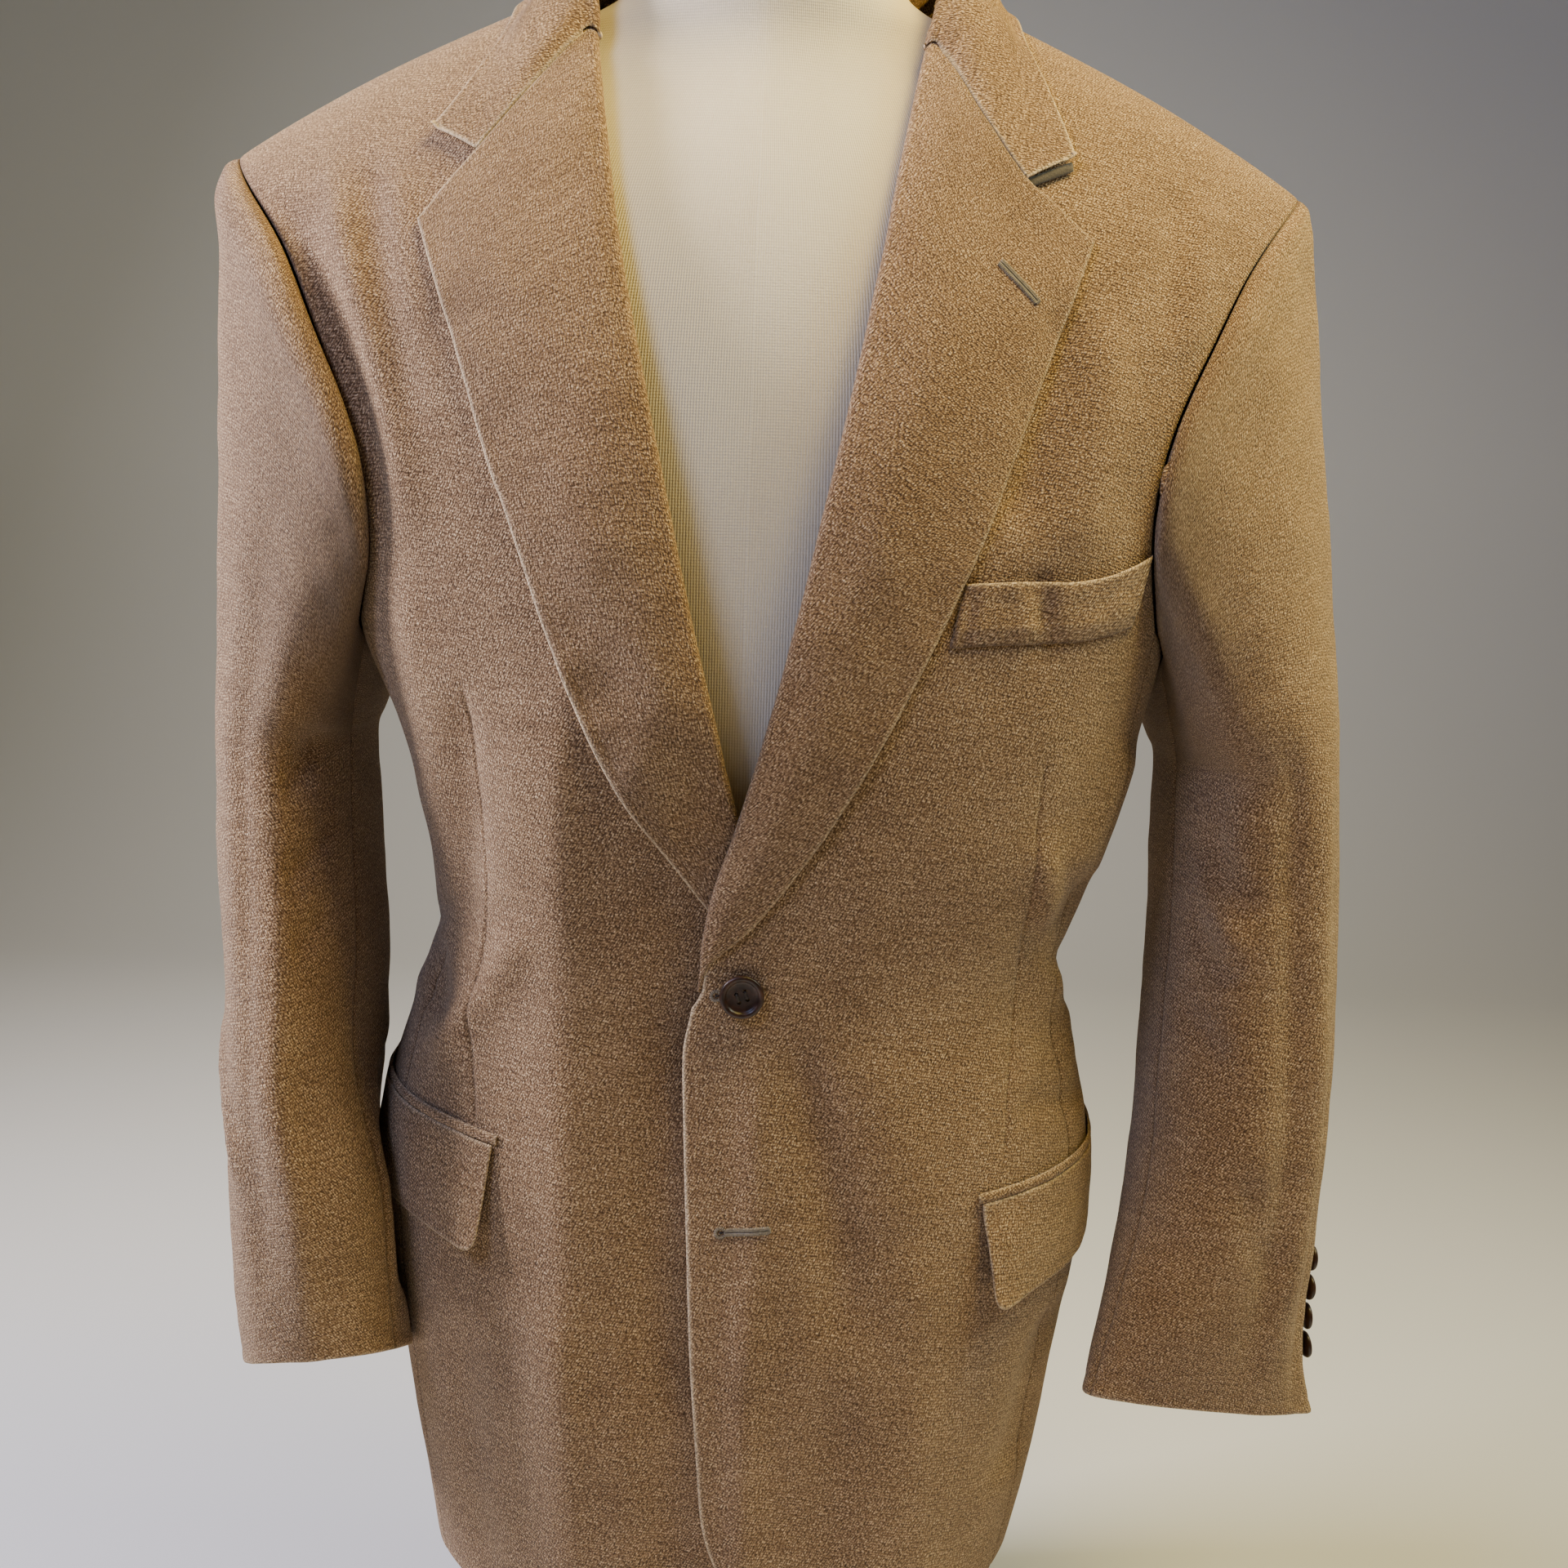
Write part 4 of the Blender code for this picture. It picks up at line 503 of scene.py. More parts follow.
def lapel(side, rows, cols, legs=1, bend=5, leg=0.0065):
    """From inside the front, round the crease and over the chest to the outer edge."""
    tab = LAPEL_LEFT if side > 0 else LAPEL_RIGHT
    key = side_key(side)
    at = lambda k, t: float(mono(tab["t"], tab[k], t))
    grid = []
    for t in lapel_shares(rows):
        rx, rb, ex, eb = (at(k, t) for k in ("roll_x", "roll_b", "edge_x", "edge_b"))
        e = 0.01
        tx, tb = at("roll_x", min(t + e, 1)) - at("roll_x", max(t - e, 0)), at("roll_b", min(t + e, 1)) - at("roll_b", max(t - e, 0))
        square = np.array([-tb, tx]) / math.hypot(tx, tb)
        r = ROLL_R * (0.85 + 0.15 * float(ease(t, 0.0, 0.20)))
        small = 0.72 + 0.28 * float(ease(t, 0.10, 0.35))
        path = []          # (x, b, out)
        for i in range(legs, 0, -1):
            path.append((*(np.array([rx, rb]) + square * (r + leg * i / legs)), -r - 0.001))
        for i in range(bend + 1):
            a = math.pi * (0.5 - i / bend)
            path.append((*(np.array([rx, rb]) + square * (r - r * math.cos(a))), -0.001 - r * math.sin(a)))
        s0 = np.array(path[-1][:2])
        wide = max(math.hypot(ex - s0[0], eb - s0[1]), 1e-4)
        v0 = r / (wide + r)
        lift = lambda v: float(mono(LAPEL_LIFT["v"], LAPEL_LIFT["out"], v)) * small
        for i in range(1, cols + 1):
            w = i / cols
            v = v0 + (1 - v0) * w
            x, b = s0 + (np.array([ex, eb]) - s0) * w
            b += float(mono(GORGE["v"], GORGE[key], v)) * float(ease(t, 0.62, 1.0))
            path.append((x, b, lift(v) + (r - 0.001 - lift(v0)) * (1 - w) ** 3))
        grid.append(path)
    x, b, out = np.moveaxis(np.array(grid, float), -1, 0)
    p = at_xb(x, b, side) + normal_xb(x, b, side) * out[..., None]
    if side < 0:
        p[..., 1] += dip(x, b)
    return p


def lapel_shares(rows):
    """Rows lie closer where the lapel narrows to its lower end."""
    u = np.linspace(0, 1, rows + 1)
    return u * (0.45 + 0.55 * u)


def push_off(p, gap):
    """Moves a point of the collar off the body's surface to at least a gap."""
    side = 1 if p[0] > 0 else -1
    x, b = abs(p[0]), SHOULDER_Z - p[2]
    rb = float(ridge_b(x))
    if b < rb + 0.001:
        return p if p[2] > SHOULDER_Z - rb + gap else np.array([p[0], p[1], SHOULDER_Z - rb + gap])
    back = p[1] > RIDGE_Y
    s = at_xb(x, b, side, back)
    n = normal_xb(x, b, side, back)
    d = float((p - s) @ n)
    return p + n * (gap - d) if d < gap else p


def collar_row(u, side, cols, stand=3, bend=4, gap=0.0042):
    key = side_key(side)
    get = lambda k: float(mono(COLLAR["u"], COLLAR[k], u))
    seam = np.array([get("seam_x") * side, get("seam_y"), SHOULDER_Z - get("seam_b")])
    fold = np.array([get("fold_x") * side, get("fold_y"), SHOULDER_Z - get("fold_b")])
    edge = np.array([get("edge_x") * side, get("edge_y"), SHOULDER_Z - get("edge_b")])
    end = float(ease(u, 0.86, 1.0))
    tip = np.array(COLLAR_END[key])
    if end > 0:
        g = gorge(side, 0.0, COLLAR_SEAM)
        fold = fold * (1 - end) + off_xb(g[0], g[1], side, 0.003) * end
        edge = edge * (1 - end) + off_xb(tip[0], tip[1], side, gap) * end
    r = 0.0042
    line = [seam + (fold - seam) * i / stand for i in range(stand)]
    inward = unit(np.array([fold[0], fold[1] - 0.004, 0.0]))      # away from the neck
    for i in range(bend + 1):
        a = math.pi * i / bend
        line.append(fold + inward * (r - r * math.cos(a)) + np.array([0, 0, 1.0]) * r * math.sin(a) * (1 - 0.5 * end))
    start = line[-1]
    s0 = np.array([abs(start[0]), SHOULDER_Z - start[2]])
    knee, vn = 0.70, NOTCH_V[key]
    for i in range(1, cols + 1):
        v = i / cols
        p = start + (edge - start) * v + np.array([0, 0, 0.004 * math.sin(math.pi * v) * (1 - end)])
        if end > 0:
            if v <= knee:
                w = v / knee
                xb = gorge(side, vn * w, COLLAR_SEAM) + (s0 - gorge(side, 0.0, COLLAR_SEAM)) * (1 - w) ** 5
            else:
                n = gorge(side, vn, COLLAR_SEAM)
                xb = n + (tip - n) * (v - knee) / (1 - knee)
            out = 0.003 + (gap - 0.003) * min(1.0, v * 2.0)
            p = p * (1 - end) + off_xb(xb[0], xb[1], side, out + 0.0006) * end
        line.append(push_off(p, gap))
    return np.array(line)


def collar(rows, cols):
    us = np.linspace(0, 1, rows + 1)
    right = [collar_row(u, -1, cols) for u in us[::-1]]
    left = [collar_row(u, 1, cols) for u in us[1:]]
    return np.array(right + left)


# ---------------------------------------------------------------- sleeves
def head_dir(psi, side):
    v = np.array([mono(HEAD_DIR["psi"], HEAD_DIR[k], psi % 360) for k in "xyz"])
    v = v / np.linalg.norm(v)
    return v * np.array([side, 1, 1])


def hind_turn(side, b, psi):
    """How far a point round the sleeve has turned with the hind seam by a level b, in degrees."""
    most, spread = HIND_SHIFT[side_key(side)]
    away = (psi - 285 + 180) % 360 - 180
    return most * ease(b, 0.25, 0.55) * np.exp(-(away / spread) ** 2)


def sleeve_ring(side, b, psi, beta=None):
    """A point of the sleeve's section at a level b, at an angle from its outer side by the front."""
    tab = SLEEVE_LEFT if side > 0 else SLEEVE_RIGHT
    get = lambda k: float(spline(tab["b"], tab[k], b))
    a = math.radians(psi + float(hind_turn(side, b, psi)))
    n = 2.15
    c, s = math.cos(a), math.sin(a)
    x = get("ax") * math.copysign(abs(c) ** (2 / n), c)
    y = -get("ay") * math.copysign(abs(s) ** (2 / n), s)
    w = math.radians(get("turn"))
    x, y = x * math.cos(w) - y * math.sin(w), x * math.sin(w) + y * math.cos(w)
    tx, ty = CUFF_TILT[side_key(side)]
    low = float(ease(b, tab["b"][-1] - 0.12, tab["b"][-1]))
    db = (tx * x + ty * y) * low
    return np.array([(get("xc") + x) * side, get("yc") + y, SHOULDER_Z - b - db])


def clear_body(p, side, gap):
    """Pushes a point of the sleeve sideways until it is a gap away from the body."""
    b = SHOULDER_Z - p[2]
    y = p[1]
    back = y > 0
    a = float(column(BODY, side_key(side), b))
    d = float(column(BODY, "back" if back else "front", b))
    n = float(column(BODY, "nb" if back else "nf", b))
    if abs(y) >= d:
        return p
    # distance along the section's normal, to first order
    x = abs(p[0])
    for _ in range(4):
        f = (x / (a + gap)) ** n + (abs(y) / (d + gap)) ** n
        if f >= 1:
            break
        x = (a + gap) * (1 - (abs(y) / (d + gap)) ** n) ** (1 / n)
    return np.array([x * side, p[1], p[2]])


def sleeve_columns(nf, nb, nk):
    """(armhole part, share, angle) round the sleeve, from the top by the front."""
    cols = [("front", i / nf, 148.0 * i / nf) for i in range(nf)]
    cols += [("low", i / nb, 148.0 + 64.0 * i / nb) for i in range(nb)]
    cols += [("back", i / nk, 212.0 + 148.0 * i / nk) for i in range(nk)]
    return cols


def sleeve(side, cols, betas, levels, start=0.0011, gap=0.0022, flap=None):
    """Rings from the armhole to the cuff."""
    tab = SLEEVE_LEFT if side > 0 else SLEEVE_RIGHT
    key = side_key(side)
    b1 = tab["b"][0]
    arm = [arm_point(side, part, f) for part, f, _ in cols]
    grid = []
    for beta in betas:
        line = []
        for (part, f, psi), a in zip(cols, arm):
            if beta == 0:
                line.append(a + head_dir(psi, side) * start)
                continue
            e = sleeve_ring(side, b1, psi)
            bulge = float(mono(CAP["beta"], CAP[key], beta))
            c, s = math.cos(math.radians(psi)), math.sin(math.radians(psi))
            p = a + (e - a) * beta + np.array([max(c, 0) * side, -0.9 * s, 0]) * bulge
            p = p + head_dir(psi, side) * start * (1 - beta)
            line.append(clear_body(p, side, gap * (0.35 + 0.65 * float(ease(beta, 0, 0.25)))) if 100 < psi < 260 else p)
        grid.append(line)
    for b in levels:
        g = gap + (flap(b) if flap else 0.0)
        grid.append([clear_body(sleeve_ring(side, b, psi), side, g) for _, _, psi in cols])
    return np.array(grid)


# ---------------------------------------------------------------- what lies on the panels
WELT = dict(
    u=    [0.0,   0.25,  0.5,   0.75,  1.0],
    top_x=[0.0944,0.1162,0.1380,0.1598,0.1814],
    top_b=[0.1930,0.1912,0.1906,0.1868,0.1771],
    low_x=[0.0890,0.1105,0.1320,0.1535,0.1749],
    low_b=[0.2197,0.2180,0.2172,0.2150,0.2093],
)
FLAP = dict(              # inner upper corner, fall toward the side, slant of the inner end
    left= dict(x=0.1198, b=0.4830, rise=0.095, lean=0.0040),
    right=dict(x=0.1100, b=0.4600, rise=0.110, lean=0.0030),
)
FLAP_W, FLAP_H, FLAP_R = 0.155, 0.050, 0.007
JET_H = 0.0050
ON = 0.0010               # least distance of a laid-on piece's underside from the panel


def welt_point(u, v, out, side=1):
    x = column(WELT, "top_x", u, "u") * (1 - v) + column(WELT, "low_x", u, "u") * v
    b = column(WELT, "top_b", u, "u") * (1 - v) + column(WELT, "low_b", u, "u") * v
    return off_xb(x, b, side, out)


def flap_point(side, s, h, out):
    """s metres round the body from the flap's inner end, h metres below its upper edge."""
    f = FLAP[side_key(side)]
    if side_key(side) not in FLAP_RUN:
        phi = np.linspace(20, 150, 261)
        p0 = float(phi_at_x(f["x"], f["b"], side))
        pts = ring(phi, f["b"] - f["rise"] * 0.05, side)
        run = np.concatenate([[0], np.cumsum(np.linalg.norm(np.diff(pts, axis=0), axis=1))])
        FLAP_RUN[side_key(side)] = (phi, run - np.interp(p0, phi, run))
    phi, run = FLAP_RUN[side_key(side)]
    s, h = np.broadcast_arrays(np.asarray(s, float), np.asarray(h, float))
    b = f["b"] - f["rise"] * np.sin(np.clip(s / FLAP_W, -0.1, 1) * 1.35) * FLAP_W / 1.6 + h
    p = np.interp(s + f["lean"] * h / FLAP_H, run, phi)
    return off_ring(p, b, side, out)


FLAP_RUN = {}


def flap_grid(side, rows, cols, out):
    grid = []
    for i in range(cols + 1):
        s = FLAP_W * i / cols
        s = FLAP_W * (0.5 - 0.5 * math.cos(math.pi * i / cols)) * 0.45 + s * 0.55
        e = min(s, FLAP_W - s)
        short = FLAP_R - math.sqrt(max(FLAP_R**2 - max(FLAP_R - e, 0) ** 2, 0))
        grid.append([flap_point(side, s, 0.0006 + (FLAP_H - short) * j / rows, out) for j in range(rows, -1, -1)])
    return np.array(grid).transpose(1, 0, 2)


def jet_grid(side, cols, out):
    s = np.linspace(-0.002, FLAP_W + 0.002, cols + 1)
    return np.array([flap_point(side, s, np.full_like(s, h), out) for h in (0.0, -JET_H / 2, -JET_H)])


# ---------------------------------------------------------------- dress form
FORM = dict(
    b=    [-0.155,-0.120,-0.095,-0.082,-0.070,-0.058,-0.040,-0.015,0.015, 0.050, 0.090, 0.135, 0.185, 0.235, 0.290, 0.350, 0.400, 0.450, 0.520, 0.600, 0.660, 0.685],
    half= [0.0640,0.0650,0.0665,0.0690,0.0900,0.1250,0.1600,0.1880,0.2020,0.2050,0.2020,0.1930,0.1800,0.1710,0.1530,0.1400,0.1440,0.1560,0.1620,0.1530,0.1430,0.1340],
    front=[0.0600,0.0605,0.0600,0.0590,0.0580,0.0580,0.0620,0.0740,0.0890,0.1020,0.1110,0.1160,0.1180,0.1170,0.1130,0.1040,0.1000,0.1020,0.1050,0.1040,0.1010,0.0940],
    back= [0.0600,0.0600,0.0595,0.0590,0.0590,0.0610,0.0690,0.0800,0.0900,0.1010,0.1090,0.1150,0.1180,0.1160,0.1090,0.1030,0.1050,0.1130,0.1200,0.1220,0.1220,0.1150],
    n=    [2.00,  2.00,  2.00,  2.00,  1.80,  1.55,  1.55,  1.65,  1.80,  1.95,  2.10,  2.20,  2.25,  2.25,  2.20,  2.20,  2.20,  2.20,  2.20,  2.20,  2.20,  2.20],
)
FORM_Y = 0.004


def form_point(phi, b):
    a, n = float(column(FORM, "half", b)), float(column(FORM, "n", b))
    c, s = math.cos(math.radians(phi)), math.sin(math.radians(phi))
    d = float(column(FORM, "front" if c > 0 else "back", b))
    r = ((abs(s) / a) ** n + (abs(c) / d) ** n) ** (-1 / n)
    return np.array([r * s, -r * c + FORM_Y, SHOULDER_Z - b])

# ---------------------------------------------------------------- folds
LIVELY = 1.25
# A fold is a soft ridge (or, with a minus, a trough) along a line on the cloth: points, height and half-width in metres.
# A fourth number makes it a crease: straight slopes that meet in a ridge of that radius.
# Lines on the fronts are (distance from the middle, level b); heights fade to nothing at both ends.
FOLDS_RIGHT = [
    ([(0.0770, 0.190), (0.0778, 0.300), (0.0790, 0.358), (0.0780, 0.417), (0.0768, 0.474), (0.0735, 0.542), (0.0665, 0.700)], 0.0068, 0.0230, 0.0030),
    ([(0.0440, 0.255), (0.0420, 0.336), (0.0410, 0.414), (0.0379, 0.491), (0.0324, 0.590)], -0.0026, 0.0200),
    ([(0.1265, 0.235), (0.1262, 0.306), (0.1300, 0.348), (0.1372, 0.386)], -0.0036, 0.0100),
    ([(0.0900, 0.345), (0.1040, 0.372), (0.1160, 0.391), (0.1333, 0.411), (0.1540, 0.432)], 0.0040, 0.0085),
    ([(0.1540, 0.372), (0.1460, 0.395), (0.1480, 0.412)], -0.0034, 0.0085),
    ([(0.0961, 0.240), (0.0975, 0.302), (0.0990, 0.355)], 0.0016, 0.0120),
    ([(0.2290, 0.020), (0.2060, 0.054), (0.1860, 0.088), (0.1735, 0.121), (0.1650, 0.160), (0.1620, 0.200)], -0.0034, 0.0100),
    ([(0.2010, 0.000), (0.1838, 0.052), (0.1680, 0.100), (0.1560, 0.146), (0.1510, 0.200)], 0.0034, 0.0085),
    ([(0.1800, 0.000), (0.1695, 0.052), (0.1570, 0.098), (0.1450, 0.150)], -0.0019, 0.0085),
    ([(0.1640, 0.010), (0.1540, 0.055), (0.1420, 0.095)], 0.0012, 0.0080),
    ([(0.1543, 0.190), (0.1510, 0.230), (0.1470, 0.275), (0.1470, 0.325)], 0.0020, 0.0100),
    ([(0.1283, 0.545), (0.1273, 0.615), (0.1196, 0.720)], -0.0030, 0.0130),
    ([(0.0860, 0.510), (0.0804, 0.578), (0.0753, 0.656), (0.0730, 0.740)], 0.0026, 0.0140),
    ([(0.0250, 0.410), (0.0180, 0.470), (0.0120, 0.560)], 0.0014, 0.0130),
    ([(0.0230, 0.390), (0.0480, 0.398), (0.0700, 0.410)], -0.0012, 0.0090),
]
FOLDS_LEFT = [
    ([(0.1345, 0.060), (0.1284, 0.109), (0.1209, 0.138), (0.1110, 0.175)], -0.0036, 0.0105),
    ([(0.1540, 0.065), (0.1545, 0.115), (0.1475, 0.160), (0.1380, 0.190)], 0.0024, 0.0120),
    ([(0.1880, 0.005), (0.1870, 0.050), (0.1826, 0.090)], -0.0020, 0.0085),
    ([(0.2080, 0.010), (0.2000, 0.050), (0.1900, 0.095)], 0.0018, 0.0090),
    ([(0.0960, 0.225), (0.0953, 0.206), (0.0956, 0.188)], -0.0012, 0.0040),
    ([(0.1270, 0.182), (0.1288, 0.195), (0.1336, 0.211), (0.1360, 0.226)], -0.0016, 0.0060),
    ([(0.0180, 0.392), (0.0290, 0.404), (0.0354, 0.428), (0.0421, 0.458), (0.0530, 0.498), (0.0575, 0.560)], -0.0034, 0.0115),
    ([(0.0080, 0.400), (0.0120, 0.440), (0.0130, 0.500), (0.0110, 0.580)], 0.0016, 0.0110),
    ([(0.0640, 0.400), (0.0760, 0.440), (0.0830, 0.500)], 0.0016, 0.0140),
    ([(0.1375, 0.300), (0.1460, 0.345), (0.1500, 0.385), (0.1560, 0.420)], 0.0030, 0.0090),
    ([(0.1880, 0.262), (0.1730, 0.300), (0.1578, 0.336)], 0.0028, 0.0095),
    ([(0.1780, 0.330), (0.1560, 0.352), (0.1330, 0.362)], -0.0028, 0.0080),
    ([(0.1500, 0.372), (0.1640, 0.405), (0.1790, 0.438)], 0.0030, 0.0080),
    ([(0.1840, 0.452), (0.1570, 0.444), (0.1350, 0.438)], -0.0020, 0.0065),
    ([(0.1700, 0.548), (0.1560, 0.586), (0.1440, 0.650)], -0.0036, 0.0110),
    ([(0.0060, 0.505), (0.0078, 0.569), (0.0111, 0.647), (0.0140, 0.740)], 0.0015, 0.0120),
    ([(0.0860, 0.470), (0.0923, 0.552), (0.0938, 0.640), (0.0940, 0.740)], 0.0018, 0.0150),
    ([(0.0540, 0.560), (0.0560, 0.640), (0.0550, 0.740)], -0.0018, 0.0140),
]
# Lines round the side and the back are (degrees from centre front, level b).
ROUND_RIGHT = [
    ([(62, 0.352), (80, 0.372), (99, 0.364), (118, 0.380)], -0.0024, 0.0090),
    ([(66, 0.394), (84, 0.405), (104, 0.396)], 0.0018, 0.0085),
    ([(78, 0.300), (88, 0.330), (104, 0.345)], -0.0013, 0.0100),
    ([(98, 0.440), (101, 0.530), (99, 0.640), (98, 0.740)], -0.0034, 0.0150),
    ([(118, 0.430), (122, 0.520), (124, 0.640), (125, 0.740)], 0.0030, 0.0170),
    ([(132, 0.060), (134, 0.140), (140, 0.230), (148, 0.320)], 0.0030, 0.0150),
    ([(146, 0.080), (150, 0.170), (158, 0.270)], -0.0022, 0.0160),
    ([(140, 0.395), (156, 0.408), (173, 0.401)], -0.0020, 0.0090),
    ([(136, 0.430), (152, 0.424), (166, 0.437)], 0.0014, 0.0090),
    ([(144, 0.450), (147, 0.560), (149, 0.680), (150, 0.750)], -0.0030, 0.0160),
    ([(162, 0.470), (165, 0.580), (168, 0.740)], 0.0024, 0.0160),
]
ROUND_LEFT = [
    ([(58, 0.360), (78, 0.381), (101, 0.372)], -0.0021, 0.0085),
    ([(70, 0.408), (90, 0.416), (112, 0.402), (126, 0.408)], 0.0019, 0.0090),
    ([(84, 0.330), (98, 0.348), (112, 0.342)], -0.0012, 0.0085),
    ([(90, 0.450), (94, 0.560), (96, 0.740)], 0.0028, 0.0160),
    ([(110, 0.440), (113, 0.560), (112, 0.660), (111, 0.740)], -0.0032, 0.0150),
    ([(130, 0.080), (137, 0.170), (143, 0.260), (146, 0.340)], 0.0027, 0.0150),
    ([(150, 0.060), (153, 0.150), (160, 0.240), (164, 0.300)], -0.0020, 0.0150),
    ([(134, 0.412), (150, 0.400), (169, 0.411)], -0.0022, 0.0085),
    ([(150, 0.438), (164, 0.430), (176, 0.436)], 0.0013, 0.0080),
    ([(130, 0.460), (133, 0.580), (133, 0.740)], 0.0026, 0.0170),
    ([(156, 0.450), (158, 0.560), (156, 0.690), (155, 0.750)], -0.0028, 0.0160),
]
# Lines on the sleeves are (degrees from the outer side by the front, level b).
SLEEVE_FOLDS_LEFT = [
    ([(112, 0.150), (114, 0.260), (118, 0.360), (116, 0.440)], 0.0020, 0.0110),
    ([(86, 0.230), (88, 0.320), (84, 0.420), (78, 0.520), (80, 0.620)], -0.0028, 0.0085),
    ([(62, 0.260), (66, 0.380), (60, 0.480), (62, 0.600)], 0.0022, 0.0095),
    ([(40, 0.380), (44, 0.470), (38, 0.540), (42, 0.620)], -0.0022, 0.0080),
    ([(140, 0.300), (124, 0.330), (104, 0.350)], -0.0016, 0.0075),
    ([(150, 0.350), (132, 0.372), (112, 0.380)], -0.0020, 0.0070),
    ([(156, 0.395), (138, 0.405), (120, 0.425)], -0.0016, 0.0075),
    ([(146, 0.322), (130, 0.350), (110, 0.366)], 0.0014, 0.0070),
    ([(104, 0.470), (92, 0.505), (74, 0.535)], -0.0018, 0.0080),
    ([(300, 0.340), (270, 0.360), (240, 0.352)], -0.0020, 0.0090),
    ([(310, 0.390), (280, 0.402), (250, 0.388)], -0.0018, 0.0085),
    ([(320, 0.200), (322, 0.320), (316, 0.430)], 0.0016, 0.0130),
    ([(215, 0.240), (222, 0.330), (228, 0.430)], -0.0018, 0.0120),
    ([(20, 0.020), (22, 0.070), (20, 0.130)], -0.0009, 0.0100),
    ([(52, 0.060), (54, 0.120), (58, 0.190)], 0.0012, 0.0110),
]
SLEEVE_FOLDS_RIGHT = [
    ([(34, 0.080), (40, 0.180), (40, 0.300), (38, 0.420), (34, 0.640)], 0.0030, 0.0160, 0.0040),
    ([(72, 0.120), (78, 0.240), (80, 0.340), (76, 0.440), (78, 0.580)], -0.0026, 0.0130),
    ([(104, 0.220), (108, 0.330), (106, 0.430), (102, 0.590)], 0.0018, 0.0100),
    ([(22, 0.395), (38, 0.428), (52, 0.462), (60, 0.490)], 0.0024, 0.0060),
    ([(26, 0.430), (40, 0.458), (50, 0.480)], -0.0020, 0.0055),
    ([(140, 0.270), (122, 0.292), (104, 0.300)], -0.0018, 0.0080),
    ([(150, 0.315), (130, 0.330), (106, 0.342)], -0.0020, 0.0075),
    ([(146, 0.356), (128, 0.364), (112, 0.376)], -0.0013, 0.0070),
    ([(306, 0.310), (276, 0.330), (246, 0.322)], -0.0020, 0.0090),
    ([(314, 0.360), (286, 0.372), (256, 0.364)], -0.0016, 0.0080),
    ([(328, 0.180), (330, 0.300), (324, 0.420)], 0.0016, 0.0130),
    ([(212, 0.230), (220, 0.320), (226, 0.420)], -0.0018, 0.0120),
    ([(14, 0.020), (16, 0.070), (14, 0.140)], -0.0010, 0.0100),
    ([(120, 0.060), (116, 0.120), (118, 0.200)], -0.0016, 0.0100),
]
DART = dict(
    right=dict(b=[0.243, 0.296, 0.340, 0.367, 0.405, 0.431, 0.454], x=[0.1266, 0.1223, 0.1189, 0.1200, 0.1257, 0.1249, 0.1222]),
    left= dict(b=[0.262, 0.300, 0.346, 0.379, 0.428, 0.462], x=[0.1379, 0.1377, 0.1376, 0.1370, 0.1345, 0.1338]),
)


def ridge_line(p, q, folds, scale):
    """Sum of the folds at points (p, q); scale turns a step of p into metres."""
    total = np.zeros(np.broadcast(p, q).shape)
    for line, height, width, *crease in folds:
        line = np.array(line, float)
        steps = np.linalg.norm(np.diff(line * [scale if np.ndim(scale) == 0 else 1, 1], axis=0), axis=1)
        run = np.concatenate([[0], np.cumsum(steps)])
        best = np.full(total.shape, 1e9)
        share = np.zeros(total.shape)
        for i in range(len(line) - 1):
            a, c = line[i] * [scale, 1], line[i + 1] * [scale, 1]
            d = c - a
            t = np.clip(((p * scale - a[0]) * d[0] + (q - a[1]) * d[1]) / (d @ d), 0, 1)
            dist = np.hypot(p * scale - a[0] - t * d[0], q - a[1] - t * d[1])
            near = dist < best
            best = np.where(near, dist, best)
            share = np.where(near, (run[i] + t * steps[i]) / run[-1], share)
        end = np.clip(np.minimum(share, 1 - share) / 0.22, 0, 1)
        fade = end * end * (3 - 2 * end)
        wide = width * (0.85 + 0.3 * share)
        if crease:
            total += height * fade * np.exp(-(np.sqrt(best**2 + crease[0] ** 2) - crease[0]) / wide)
        else:
            total += height * fade * np.exp(-(best / wide) ** 2)
    return total * LIVELY


def ripple(p, q, seed, size):
    """Slow unevenness, about -1 to 1, from a few crossed waves whose directions and lengths differ."""
    rng = np.random.RandomState(seed)
    total = np.zeros(np.broadcast(p, q).shape)
    for _ in range(7):
        a, k, ph = rng.uniform(0, 2 * math.pi), rng.uniform(0.6, 1.7) / size, rng.uniform(0, 2 * math.pi)
        total += np.sin((p * math.cos(a) + q * math.sin(a)) * k * 2 * math.pi + ph + 1.3 * np.sin((q * math.cos(a) - p * math.sin(a)) * k * 4.1 + ph))
    return total / 4.2


def coords(points, side):
    """Own distance from the middle, level and angle round the body of points on or near it."""
    x, y, b = points[..., 0] * side, points[..., 1], SHOULDER_Z - points[..., 2]
    k = arch(np.abs(x), np.minimum(b, CHEST_B))
    flat = (y - RIDGE_Y * (1 - k)) / np.maximum(k, 0.08)
    return x, b, np.degrees(np.arctan2(x, -flat))


